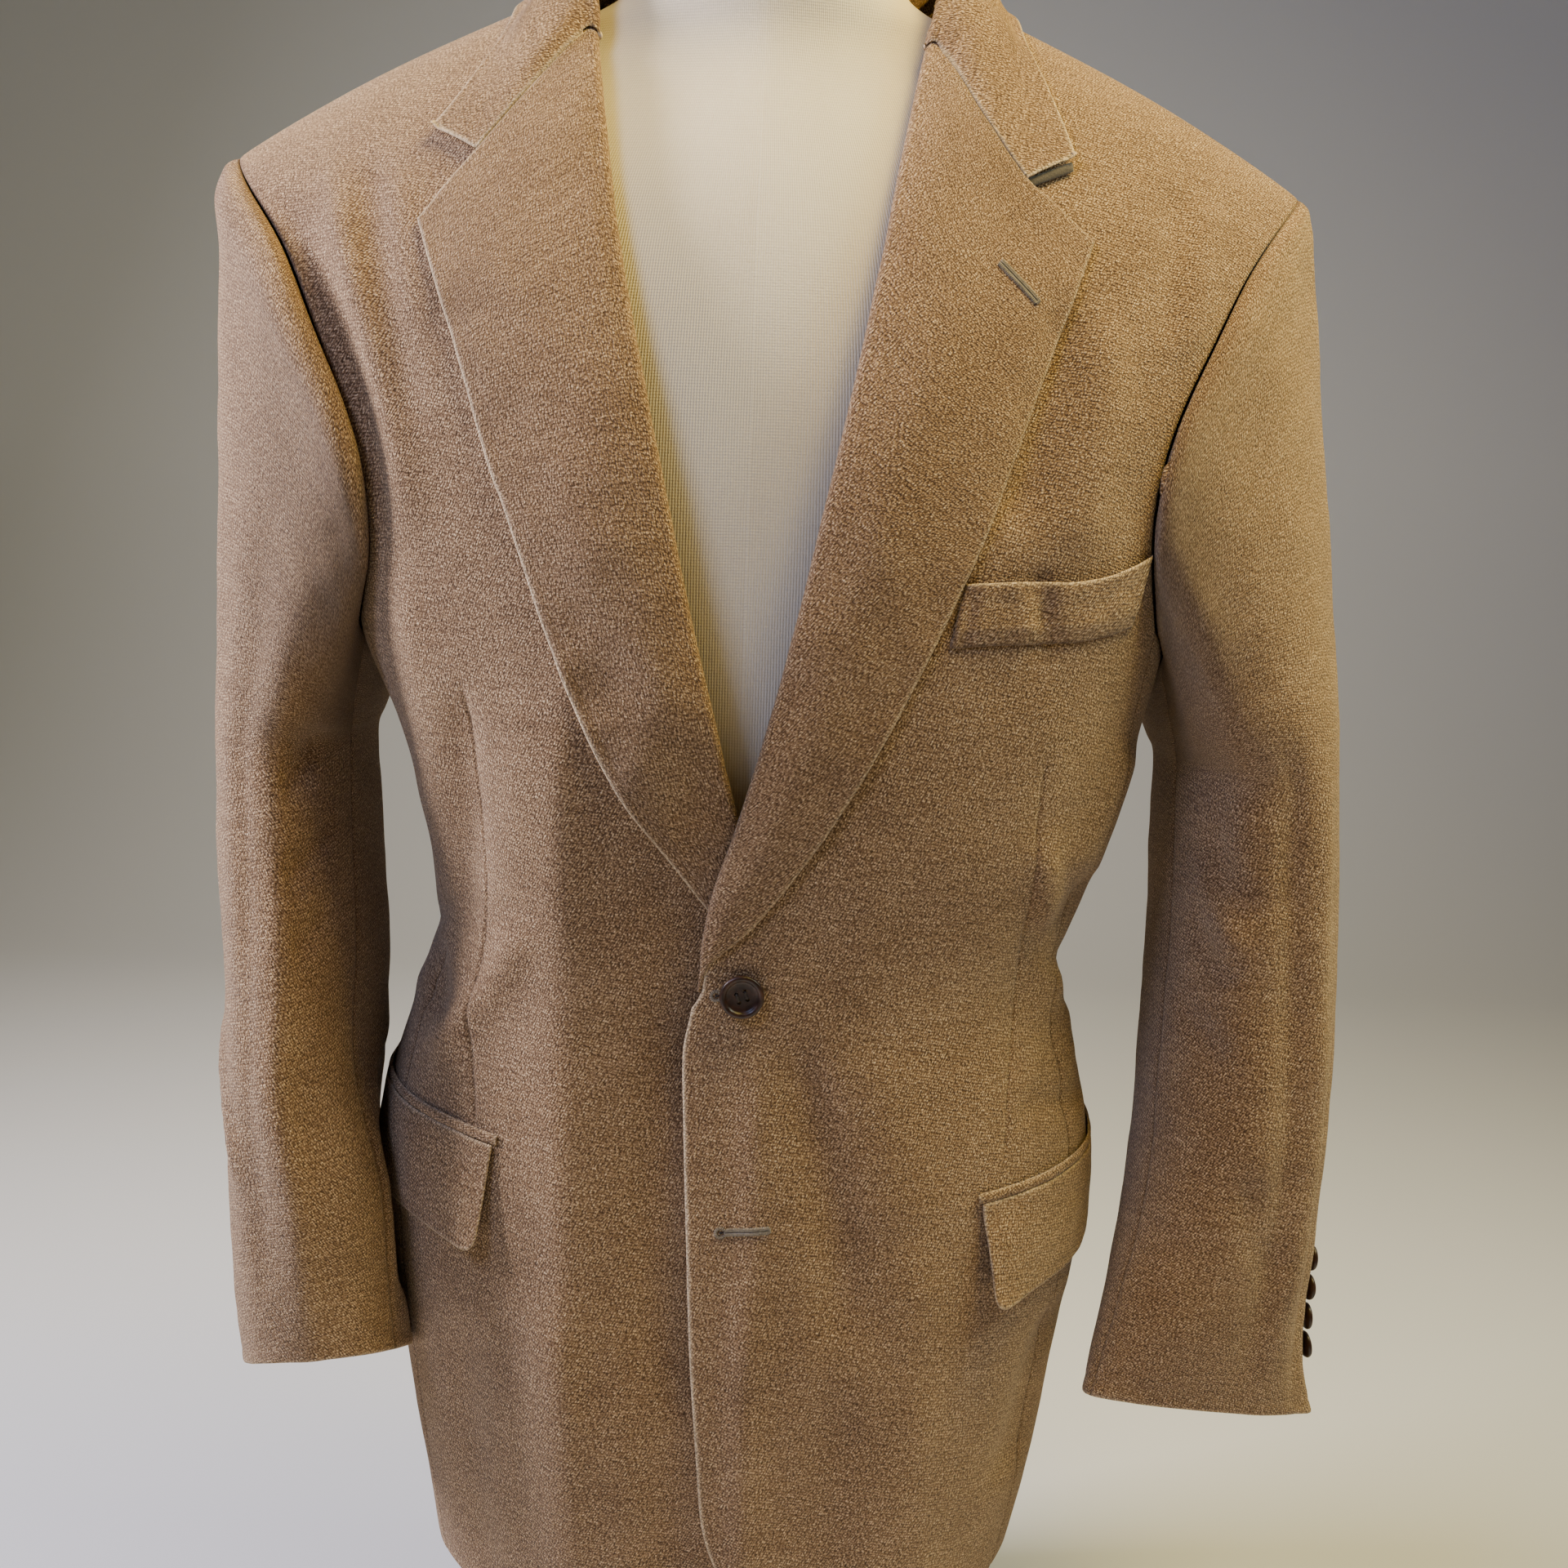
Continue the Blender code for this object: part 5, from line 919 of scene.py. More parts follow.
def relief(x, b, phi, side):
    """How far the cloth stands out from the body's plain surface."""
    front = 1 - ease(phi, 74, 92)
    total = ridge_line(x, b, FOLDS_LEFT if side > 0 else FOLDS_RIGHT, 1.0) * front
    total = total + ridge_line(phi, b, ROUND_LEFT if side > 0 else ROUND_RIGHT, 0.0030)
    seed = 11 if side > 0 else 23
    arc = phi * 0.0030
    total = total + ripple(arc, b, seed, 0.085) * 0.00050 + ripple(arc, b, seed + 1, 0.036) * 0.00016
    hem = ease(b, 0.50, 0.72)
    total = total + hem * 0.0016 * np.sin(arc / 0.017 + (0.6 if side > 0 else 2.0) + 1.4 * np.sin(arc / 0.05))
    # it lies quiet at centre back, along the shoulder seams and where the fronts overlap
    quiet = ease(b - ridge_b(np.abs(x)), 0.0, 0.035) * ease(180 - phi, 0.5, 9) * ease(x, -0.004, 0.012)
    return total * quiet


def surface_normal(x, b, phi, side):
    flat = normal_xb(np.abs(x), b, side, False)
    back = normal_xb(np.abs(x), b, side, True)
    n = np.where((phi > 90)[..., None], back, flat)
    n = n * np.where(x < 0, -1.0, 1.0)[..., None] ** np.array([1, 0, 0])
    round_ = ring_normal(np.clip(phi, 1, 179), b, side)
    w = ease(b, 0.12, 0.19) * ease(phi, 25, 40) * (1 - ease(phi, 140, 155))
    return unit(n * (1 - w[..., None]) + round_ * w[..., None])


def drape(points, side):
    """Points on or near the body moved out by its folds."""
    x, b, phi = coords(points, side)
    return points + surface_normal(x, b, phi, side) * relief(x, b, phi, side)[..., None]


# ---------------------------------------------------------------- grids and shells
def weights(n, at):
    eye = np.eye(n)
    return np.stack([spline(np.arange(n), eye[i], at) for i in range(n)], -1)


def finer(grid, rows=None, cols=None):
    """A grid read at fractional rows and columns through cubic splines."""
    g = np.asarray(grid, float)
    if rows is not None:
        g = np.einsum("rn,ncx->rcx", weights(g.shape[0], rows), g)
    if cols is not None:
        g = np.einsum("cn,rnx->rcx", weights(g.shape[1], cols), g)
    return g


def fine_ends(width, count, first=True, last=True, steps=(0.0006, 0.0014, 0.0026, 0.0044)):
    """Shares of a width with close steps at its ends, where seams and edges lie."""
    ends = [s / width for s in steps]
    lo = ends if first else []
    hi = [1 - s for s in ends[::-1]] if last else []
    a, c = (lo[-1] if lo else 0.0), (hi[0] if hi else 1.0)
    mid = list(np.linspace(a, c, count + 1)[(1 if lo else 0):(-1 if hi else None)])
    out = sorted(set([0.0] + lo + mid + hi + [1.0]))
    return np.array(out)


def runs(grid, axis):
    d = np.linalg.norm(np.diff(grid, axis=axis), axis=-1)
    z = np.zeros_like(np.take(d, [0], axis))
    return np.concatenate([z, np.cumsum(d, axis)], axis)


def edge_distances(grid):
    """Distance of every point from the first and last column and the first and last row."""
    across_, along = runs(grid, 1), runs(grid, 0)
    return across_, across_[:, -1:] - across_, along, along[-1:] - along


def settle(grid, out, edges, fall=0.00055, broad=1.0):
    """Presses the cloth in along its seams and edges, and gives masks of painted shade along the seams and painted
    highlight along the free edges. edges: (first column, last column, first row, last row), each seam, edge or None.
    """
    d4 = edge_distances(grid)
    drop = np.zeros(grid.shape[:2])
    seam = np.zeros(grid.shape[:2])
    edge_highlight = np.zeros(grid.shape[:2])
    for kind, d in zip(edges, d4):
        if kind == "seam":
            drop = np.maximum(drop, fall * np.exp(-(d / 0.0011) ** 1.5) + 0.00012 * np.exp(-(d / 0.005) ** 2))
            # painted shade: a thin dark line along each seam, where its groove lies in shadow
            seam = np.maximum(seam, np.exp(-(d / 0.0008) ** 2))
        elif kind == "edge":
            drop = np.maximum(drop, 0.00035 * np.exp(-(d / 0.0008) ** 1.5))
            # painted highlight: a pale band along each free edge, as if the turned edge caught the light
            edge_highlight = np.maximum(edge_highlight, np.exp(-(d / (0.0009 * broad)) ** 2))
    return grid - out * drop[..., None], seam, edge_highlight


def shell(name, grid, out, wall, mat, node=None, uv=None, edges=("edge",) * 4, fall=0.00055, shade_lines=None, bulge=0.32, pale=0.5, broad=1.0):
    """A closed sheet of cloth with rounded borders: outer and inner faces, and a band round the border that swells a
    little between them.
    """
    grid, out = np.asarray(grid, float), np.asarray(out, float)
    rows, cols = grid.shape[:2]
    if uv is None:
        uv = grid_uv(grid)
    face, seam, edge_highlight = settle(grid, out, edges, fall, broad)
    # pale sets the strength of the painted edge highlight on this piece
    edge_highlight = edge_highlight * pale
    inner = grid - out * wall
    d4 = edge_distances(grid)
    inset = np.zeros((rows, cols))
    for d in d4:
        inset = np.maximum(inset, 0.25 * wall * np.exp(-(d / (0.6 * wall)) ** 2))
    inner = inner + out * inset[..., None]
    loop = [(0, j) for j in range(cols - 1)] + [(i, cols - 1) for i in range(rows - 1)]
    loop += [(rows - 1, j) for j in range(cols - 1, 0, -1)] + [(i, 0) for i in range(rows - 1, 0, -1)]
    li = np.array(loop)
    at = face[li[:, 0], li[:, 1]]
    nb = np.array([[min(max(i, 1), rows - 2), min(max(j, 1), cols - 2)] for i, j in loop])
    outward = unit(at - face[nb[:, 0], nb[:, 1]])
    mid = (at + inner[li[:, 0], li[:, 1]]) / 2 + outward * wall * bulge
    verts = np.concatenate([face.reshape(-1, 3), inner.reshape(-1, 3), mid])
    n = rows * cols
    idx = np.arange(n).reshape(rows, cols)
    q = np.stack([idx[:-1, :-1], idx[:-1, 1:], idx[1:, 1:], idx[1:, :-1]], -1).reshape(-1, 4)
    turned = np.sum(across(grid) * out) < 0
    lp = idx[li[:, 0], li[:, 1]]
    nx = np.roll(lp, -1)
    m = 2 * n + np.arange(len(lp))
    mx = np.roll(m, -1)
    top, bottom = q, q[:, ::-1] + n
    rim1 = np.stack([nx, lp, m, mx], -1)
    rim2 = np.stack([mx, m, lp + n, nx + n], -1)
    faces = np.concatenate([top, bottom, rim1, rim2])
    if turned:
        faces = faces[:, ::-1]
    mesh = bpy.data.meshes.new(name)
    mesh.from_pydata(verts.tolist(), [], faces.tolist())
    flat = np.concatenate([uv.reshape(-1, 2), uv.reshape(-1, 2), uv[li[:, 0], li[:, 1]]])
    layer = mesh.uv_layers.new(name="weave")
    index = np.empty(len(mesh.loops), np.int32)
    mesh.loops.foreach_get("vertex_index", index)
    layer.data.foreach_set("uv", flat[index].astype(np.float32).ravel())
    # painted masks for the material: shade along the seams and a pale highlight along the free edges
    seam_shade_all = np.concatenate([seam.ravel(), seam.ravel() * 0, seam[li[:, 0], li[:, 1]]])
    edge_highlight_all = np.concatenate([edge_highlight.ravel(), edge_highlight.ravel(), np.maximum(edge_highlight[li[:, 0], li[:, 1]], 0)])
    for key, values in (("seam", seam_shade_all), ("edge_highlight", edge_highlight_all)):
        a = mesh.attributes.new(key, "FLOAT", "POINT")
        a.data.foreach_set("value", values.astype(np.float32))
    # added lines of painted shade (darts, the lapel's top seam, the collar's ends) join the seam shade mask
    if shade_lines is not None:
        a = mesh.attributes["seam"]
        both = np.maximum(seam_shade_all, np.concatenate([shade_lines.ravel(), shade_lines.ravel() * 0, shade_lines[li[:, 0], li[:, 1]]]))
        a.data.foreach_set("value", both.astype(np.float32))
    mesh.polygons.foreach_set("use_smooth", [True] * len(mesh.polygons))
    mesh.update()
    obj = bpy.data.objects.new(name, mesh)
    bpy.context.scene.collection.objects.link(obj)
    mesh.materials.append(mat)
    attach(obj, "root")
    if node:
        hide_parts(node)
    return obj


def grid_uv(grid, turn=0.0, off=(0.0, 0.0)):
    """Weave coordinates in metres: along the rows, and along the columns."""
    u = runs(grid, 1)
    c = grid.shape[1] // 2
    u = u - u[:, c:c + 1]
    v = np.repeat(runs(grid, 0)[:, c:c + 1], grid.shape[1], 1)
    t = math.radians(turn)
    return np.stack([u * math.cos(t) - v * math.sin(t) + off[0], u * math.sin(t) + v * math.cos(t) + off[1]], -1)


def body_uv(grid, side, low, start):
    """Weave on a body panel: level threads lie level below the chest and follow the cloth over the shoulder above it."""
    b = SHOULDER_Z - grid[..., 2]
    v = -b.copy()
    for i in range(low, len(grid)):
        d = grid[i] - grid[i - 1]
        v[i] = v[i - 1] + np.hypot(d[:, 1], d[:, 2])
    flat = np.linalg.norm(np.diff(grid[..., :2], axis=1), axis=-1)
    u = np.concatenate([np.zeros((len(grid), 1)), np.cumsum(flat, 1)], 1)
    return np.stack([(u + start[:, None]) * side, v], -1)


def sheet_facts(grid):
    d1, d2 = runs(grid, 1), runs(grid, 0)
    e1, e2 = np.diff(grid, axis=1)[:-1], np.diff(grid, axis=0)[:, :-1]
    area = float(np.linalg.norm(np.cross(e1, e2), axis=-1).sum())
    w, l = float(d1[:, -1].max()), float(d2[-1].max())
    grow = max(1.0, area / (w * l))
    w, l, area = round(w * grow, 4) + 0.0005, round(l, 4) + 0.0005, round(area, 5)


# ---------------------------------------------------------------- materials
def nodes_of(mat):
    mat.use_nodes = True
    tree = mat.node_tree
    for node in list(tree.nodes):
        tree.nodes.remove(node)
    out = tree.nodes.new("ShaderNodeOutputMaterial")
    shader = tree.nodes.new("ShaderNodeBsdfPrincipled")
    tree.links.new(shader.outputs[0], out.inputs["Surface"])
    return tree, shader


class Net:
    """Short names for the few kinds of node that the materials are made of."""

    def __init__(self, tree):
        self.tree = tree

    def link(self, a, b):
        self.tree.links.new(a, b)

    def put(self, socket, value):
        if isinstance(value, bpy.types.NodeSocket):
            self.link(value, socket)
        else:
            socket.default_value = value

    def math(self, op, a, b=0.0, c=None, clamp=False):
        n = self.tree.nodes.new("ShaderNodeMath")
        n.operation, n.use_clamp = op, clamp
        self.put(n.inputs[0], a)
        self.put(n.inputs[1], b)
        if c is not None:
            self.put(n.inputs[2], c)
        return n.outputs[0]

    def vec(self, op, a, b):
        n = self.tree.nodes.new("ShaderNodeVectorMath")
        n.operation = op
        self.put(n.inputs[0], a)
        self.put(n.inputs[1], b)
        return n.outputs["Value"] if op in ("DOT_PRODUCT", "LENGTH") else n.outputs[0]

    def xyz(self, x, y, z=0.0):
        n = self.tree.nodes.new("ShaderNodeCombineXYZ")
        for s, v in zip(n.inputs, (x, y, z)):
            self.put(s, v)
        return n.outputs[0]

    def noise(self, vector, scale, detail=2.0, rough=0.5, distortion=0.0):
        n = self.tree.nodes.new("ShaderNodeTexNoise")
        self.put(n.inputs["Vector"], vector)
        n.inputs["Scale"].default_value = scale
        n.inputs["Detail"].default_value = detail
        n.inputs["Roughness"].default_value = rough
        n.inputs["Distortion"].default_value = distortion
        return n

    def cells(self, vector, scale=1.0, jitter=0.5, feature="F1"):
        n = self.tree.nodes.new("ShaderNodeTexVoronoi")
        n.voronoi_dimensions = "2D"
        n.feature = feature
        self.put(n.inputs["Vector"], vector)
        n.inputs["Scale"].default_value = scale
        n.inputs["Randomness"].default_value = jitter
        return n

    def fit(self, value, a, b, c=0.0, d=1.0, kind="SMOOTHSTEP"):
        n = self.tree.nodes.new("ShaderNodeMapRange")
        n.interpolation_type = kind
        self.put(n.inputs[0], value)
        for s, v in zip(n.inputs[1:5], (a, b, c, d)):
            s.default_value = v
        return n.outputs[0]

    def ramp(self, value, stops):
        n = self.tree.nodes.new("ShaderNodeValToRGB")
        e = n.color_ramp.elements
        while len(e) < len(stops):
            e.new(0.5)
        for s, (at, colour) in zip(e, stops):
            s.position = at
            s.color = (*colour, 1)
        self.put(n.inputs[0], value)
        return n.outputs[0]

    def mix(self, factor, a, b, kind="MIX"):
        n = self.tree.nodes.new("ShaderNodeMix")
        n.data_type = "RGBA"
        n.blend_type = kind
        self.put(n.inputs[0], factor)
        for s, v in ((n.inputs[6], a), (n.inputs[7], b)):
            if isinstance(v, tuple):
                v = (*v, 1)
            self.put(s, v)
        return n.outputs[2]

    def attribute(self, name):
        n = self.tree.nodes.new("ShaderNodeAttribute")
        n.attribute_name = name
        return n.outputs["Fac"]

    def uv(self, name="weave"):
        n = self.tree.nodes.new("ShaderNodeUVMap")
        n.uv_map = name
        return n.outputs[0]

    def object_place(self):
        return self.tree.nodes.new("ShaderNodeTexCoord").outputs["Object"]

    def bump(self, height, strength, distance, base=None):
        n = self.tree.nodes.new("ShaderNodeBump")
        n.inputs["Strength"].default_value = strength
        n.inputs["Distance"].default_value = distance
        self.put(n.inputs["Height"], height)
        if base is not None:
            self.put(n.inputs["Normal"], base)
        return n.outputs[0]


def tweed(name, lean=62.0, fat=1.0, jitter=0.62, contrast=1.0, tint=(1.0, 1.0, 1.0)):
    """Barleycorn tweed: pale flecks of weft over a brown ground in leaning rows, with mixed wool, a soft nap and a
    painted highlight along the turned edges.
    """
    mat = bpy.data.materials.new(name)
    tree, shader = nodes_of(mat)
    k = Net(tree)
    uv = k.uv()
    wobble = k.noise(uv, 55.0, 1.0).outputs["Color"]
    uv2 = k.vec("ADD", uv, k.vec("MULTIPLY", k.vec("SUBTRACT", wobble, (0.5, 0.5, 0.5)), (0.0011, 0.0011, 0.0)))
    # the two steps of the weave, in metres: from fleck to fleck along a row, and from row to row
    a, c = math.radians(lean), math.radians(lean - 76)
    s1, s2 = np.array([math.cos(a), math.sin(a)]) * WEAVE * 1.12 * fat, np.array([math.cos(c), math.sin(c)]) * WEAVE * 0.86 * fat
    inv = np.linalg.inv(np.stack([s1, s2], 1))
    p = k.vec("DOT_PRODUCT", uv2, (*inv[0], 0.0))
    q = k.vec("DOT_PRODUCT", uv2, (*inv[1], 0.0))
    lattice = k.xyz(p, q)
    cell = k.cells(lattice, 1.0, jitter)
    under = k.cells(k.vec("ADD", lattice, (0.47, 0.53, 0.0)), 1.0, jitter)
    sep = tree.nodes.new("ShaderNodeSeparateColor")
    k.link(cell.outputs["Color"], sep.inputs[0])
    fleck = k.fit(cell.outputs["Distance"], 0.66, 0.02)
    strong = k.math("MULTIPLY", fleck, k.fit(sep.outputs[0], 0.0, 1.0, 0.30, 1.0, "LINEAR"))
    low = k.fit(under.outputs["Distance"], 0.50, 0.05)
    la, lb = math.radians(lean + 4), math.radians(lean - 86)
    stroke = k.noise(k.xyz(k.vec("DOT_PRODUCT", uv2, (math.cos(la) * 560, math.sin(la) * 560, 0.0)),
                           k.vec("DOT_PRODUCT", uv2, (math.cos(lb) * 1500, math.sin(lb) * 1500, 0.0))), 1.0, 2.0, 0.55).outputs["Fac"]
    cross = k.noise(k.xyz(k.vec("DOT_PRODUCT", uv2, (math.cos(-0.5) * 650, math.sin(-0.5) * 650, 0.0)),
                          k.vec("DOT_PRODUCT", uv2, (math.cos(1.07) * 1650, math.sin(1.07) * 1650, 0.0))), 1.0, 1.0, 0.5).outputs["Fac"]
    fibre = k.noise(uv, 2600.0, 2.0, 0.7).outputs["Fac"]
    thread = k.noise(k.vec("MULTIPLY", uv, (150.0, 1450.0, 0.0)), 1.0, 2.0, 0.5).outputs["Fac"]
    slub = k.noise(k.vec("MULTIPLY", uv, (26.0, 420.0, 0.0)), 1.0, 1.0, 0.5).outputs["Fac"]
    cloud = k.noise(uv, 22.0, 3.0, 0.6).outputs["Fac"]
    tone = k.math("MULTIPLY", strong, 0.52 * contrast)
    for part, share in ((stroke, 1.45 * contrast), (cross, 0.70 * contrast), (fibre, 0.80), (thread, 0.34), (slub, 0.20), (cloud, 0.20)):
        tone = k.math("ADD", tone, k.math("MULTIPLY", k.math("SUBTRACT", part, 0.5), share))
    tone = k.math("SUBTRACT", tone, k.math("MULTIPLY", low, 0.16 * contrast))
    tone = k.math("ADD", tone, 0.30, clamp=True)
    colour = k.ramp(tone, [(0.0, (0.070, 0.034, 0.015)), (0.22, (0.150, 0.080, 0.038)), (0.46, (0.310, 0.185, 0.096)),
                           (0.70, (0.580, 0.385, 0.215)), (1.0, (0.950, 0.720, 0.460))])
    odd = k.math("GREATER_THAN", sep.outputs[1], 0.93)
    colour = k.mix(k.math("MULTIPLY", odd, k.math("MULTIPLY", fleck, 0.45)), colour, (0.16, 0.085, 0.045))
    colour = k.mix(1.0, colour, tint, "MULTIPLY")
    edge_highlight, seam = k.attribute("edge_highlight"), k.attribute("seam")
    # painted highlight: pale cream mixed in along the turned edges, as if light caught them
    colour = k.mix(k.math("MULTIPLY", edge_highlight, k.fit(tone, 0.1, 0.7, 0.35, 0.95, "LINEAR")), colour, (0.86, 0.67, 0.43))
    # painted shade: dark brown mixed in along seams, darts and the gorge lines
    colour = k.mix(k.math("MULTIPLY", seam, 0.62), colour, (0.10, 0.060, 0.035))
    k.link(colour, shader.inputs["Base Color"])
    height = k.math("ADD", k.math("MULTIPLY", fleck, 0.50), k.math("MULTIPLY", fibre, 0.45))
    height = k.math("ADD", height, k.math("MULTIPLY", stroke, 0.80))
    height = k.math("ADD", height, k.math("MULTIPLY", thread, 0.25))
    k.link(k.bump(height, 1.0, 0.00078), shader.inputs["Normal"])
    k.link(k.fit(tone, 0.0, 1.0, 0.94, 0.80, "LINEAR"), shader.inputs["Roughness"])
    shader.inputs["Specular IOR Level"].default_value = 0.22
    shader.inputs["Sheen Weight"].default_value = 0.28
    shader.inputs["Sheen Roughness"].default_value = 0.42
    shader.inputs["Sheen Tint"].default_value = (1.0, 0.90, 0.76, 1)
    return mat


WEAVE = 0.00130           # metres from fleck to fleck


def felt(name):
    mat = bpy.data.materials.new(name)
    tree, shader = nodes_of(mat)
    k = Net(tree)
    uv = k.uv()
    mat_noise = k.noise(uv, 900.0, 4.0, 0.7).outputs["Fac"]
    soft = k.noise(uv, 140.0, 2.0).outputs["Fac"]
    colour = k.ramp(k.math("ADD", k.math("MULTIPLY", mat_noise, 0.7), k.math("MULTIPLY", soft, 0.3)),
                    [(0.25, (0.020, 0.015, 0.012)), (0.55, (0.060, 0.046, 0.036)), (0.85, (0.130, 0.100, 0.078))])
    k.link(colour, shader.inputs["Base Color"])
    k.link(k.bump(mat_noise, 0.8, 0.0004), shader.inputs["Normal"])
    k.link(k.fit(soft, 0.0, 1.0, 0.98, 0.86, "LINEAR"), shader.inputs["Roughness"])
    shader.inputs["Sheen Weight"].default_value = 0.25
    return mat


def horn(name):
    """Dark brown horn: faint streaks, a polished face with fine scratches."""
    mat = bpy.data.materials.new(name)
    tree, shader = nodes_of(mat)
    k = Net(tree)
    at = k.object_place()
    streak = k.noise(k.vec("MULTIPLY", at, (260.0, 60.0, 260.0)), 1.0, 3.0, 0.55, 0.8).outputs["Fac"]
    grain = k.noise(at, 1800.0, 2.0).outputs["Fac"]
    colour = k.ramp(streak, [(0.28, (0.012, 0.0045, 0.0025)), (0.52, (0.030, 0.0110, 0.0060)), (0.74, (0.070, 0.0280, 0.0140)), (0.92, (0.130, 0.0600, 0.0300))])
    k.link(colour, shader.inputs["Base Color"])
    k.link(k.fit(grain, 0.3, 0.7, 0.30, 0.46, "LINEAR"), shader.inputs["Roughness"])
    k.link(k.bump(k.math("ADD", grain, k.math("MULTIPLY", streak, 0.6)), 0.12, 0.0002), shader.inputs["Normal"])
    shader.inputs["Specular IOR Level"].default_value = 0.42
    return mat


def thread(name, dark, light, shine=0.4):
    mat = bpy.data.materials.new(name)
    tree, shader = nodes_of(mat)
    k = Net(tree)
    at = k.object_place()
    ply = k.noise(at, 2600.0, 2.0, 0.6).outputs["Fac"]
    lump = k.noise(at, 700.0, 1.0).outputs["Fac"]
    k.link(k.ramp(k.math("ADD", k.math("MULTIPLY", ply, 0.6), k.math("MULTIPLY", lump, 0.4)), [(0.3, dark), (0.7, light)]), shader.inputs["Base Color"])
    k.link(k.bump(ply, 0.5, 0.0002), shader.inputs["Normal"])
    k.link(k.fit(ply, 0.0, 1.0, shine + 0.25, shine + 0.1, "LINEAR"), shader.inputs["Roughness"])
    return mat


def jersey(name):
    """Cream rib knit: narrow upright ribs of stitches, slightly uneven."""
    mat = bpy.data.materials.new(name)
    tree, shader = nodes_of(mat)
    k = Net(tree)
    uv = k.uv()
    sep = tree.nodes.new("ShaderNodeSeparateXYZ")
    bent = k.vec("ADD", uv, k.vec("MULTIPLY", k.vec("SUBTRACT", k.noise(uv, 20.0, 1.0).outputs["Color"], (0.5, 0.5, 0.5)), (0.0012, 0.0012, 0.0)))
    k.link(bent, sep.inputs[0])
    rib = k.math("SINE", k.math("MULTIPLY", sep.outputs[0], 2 * math.pi / 0.0017))
    stitch = k.math("SINE", k.math("ADD", k.math("MULTIPLY", sep.outputs[1], 2 * math.pi / 0.0013),
                                   k.math("MULTIPLY", k.math("ABSOLUTE", rib), 1.6)))
    fuzz = k.noise(uv, 1300.0, 3.0, 0.6).outputs["Fac"]
    cloud = k.noise(uv, 12.0, 3.0).outputs["Fac"]
    tone = k.math("ADD", k.math("MULTIPLY", rib, 0.15), k.math("MULTIPLY", stitch, 0.05))
    tone = k.math("ADD", tone, k.math("MULTIPLY", k.math("SUBTRACT", fuzz, 0.5), 0.30))
    tone = k.math("ADD", tone, k.math("MULTIPLY", k.math("SUBTRACT", cloud, 0.5), 0.25))
    tone = k.math("ADD", tone, 0.55, clamp=True)
    k.link(k.ramp(tone, [(0.1, (0.52, 0.42, 0.29)), (0.5, (0.74, 0.64, 0.49)), (0.9, (0.88, 0.80, 0.66))]), shader.inputs["Base Color"])
    height = k.math("ADD", k.math("MULTIPLY", rib, 0.6), k.math("MULTIPLY", stitch, 0.25))
    k.link(k.bump(k.math("ADD", height, fuzz), 0.45, 0.00035), shader.inputs["Normal"])
    k.link(k.fit(fuzz, 0.0, 1.0, 0.95, 0.82, "LINEAR"), shader.inputs["Roughness"])
    shader.inputs["Sheen Weight"].default_value = 0.18
    shader.inputs["Sheen Roughness"].default_value = 0.4
    shader.inputs["Specular IOR Level"].default_value = 0.2
    return mat


def satin_steel(name):
    mat = bpy.data.materials.new(name)
    tree, shader = nodes_of(mat)
    k = Net(tree)
    at = k.object_place()
    ring_ = k.vec("LENGTH", k.vec("MULTIPLY", at, (1.0, 1.0, 0.0)), (0, 0, 0))
    brush = k.noise(k.xyz(k.math("MULTIPLY", ring_, 1500.0), k.math("MULTIPLY", ring_, 90.0)), 1.0, 3.0).outputs["Fac"]
    smudge = k.noise(at, 14.0, 3.0).outputs["Fac"]
    k.link(k.ramp(k.math("ADD", k.math("MULTIPLY", brush, 0.5), k.math("MULTIPLY", smudge, 0.5)), [(0.3, (0.38, 0.38, 0.39)), (0.7, (0.56, 0.56, 0.57))]), shader.inputs["Base Color"])
    shader.inputs["Metallic"].default_value = 1.0
    k.link(k.fit(k.math("ADD", brush, smudge), 0.6, 1.4, 0.24, 0.46, "LINEAR"), shader.inputs["Roughness"])
    k.link(k.bump(brush, 0.08, 0.0001), shader.inputs["Normal"])
    return mat


def plain(name, colour, rough=0.9):
    mat = bpy.data.materials.new(name)
    mat.use_nodes = True
    node = mat.node_tree.nodes["Principled BSDF"]
    node.inputs["Base Color"].default_value = (*colour, 1)
    node.inputs["Roughness"].default_value = rough
    return mat


# ---------------------------------------------------------------- the body's panels
UP_LEVELS = [0.200, 0.160, 0.115, 0.065, 0.015, -0.030, -0.065, -0.0855]
BACK_UPS = [0.045, 0.105, 0.20, 0.36, 0.58, 0.80, 1.0]
FINE = [0.0006, 0.0014, 0.0026, 0.0044]
H_IN = HEM_B + HEM_DROP
LOW = np.concatenate([H_IN - np.array([0, 0.0006, 0.0015, 0.0028, 0.0046, 0.0070, 0.0100, 0.0135, 0.0175, 0.0215]),
                      np.linspace(H_IN - 0.0258, CHEST_B + 0.0080, 110), CHEST_B + np.array(FINE[::-1]), [CHEST_B]])
UP = np.concatenate([np.linspace(0, 1, 81)[1:-2], 1 - np.array([0.0044, 0.0026, 0.0014, 0.0006]) / 0.33, [1.0]])


def with_cluster(shares_, at, width, steps=(0.0007, 0.0014, 0.0023, 0.0036)):
    """Columns close together at one place, such as along a dart."""
    near = steps[-1] / width
    keep = [s for s in shares_ if abs(s - at) > near * 1.35]
    return np.array(sorted(keep + [at] + [at - s / width for s in steps] + [at + s / width for s in steps]))


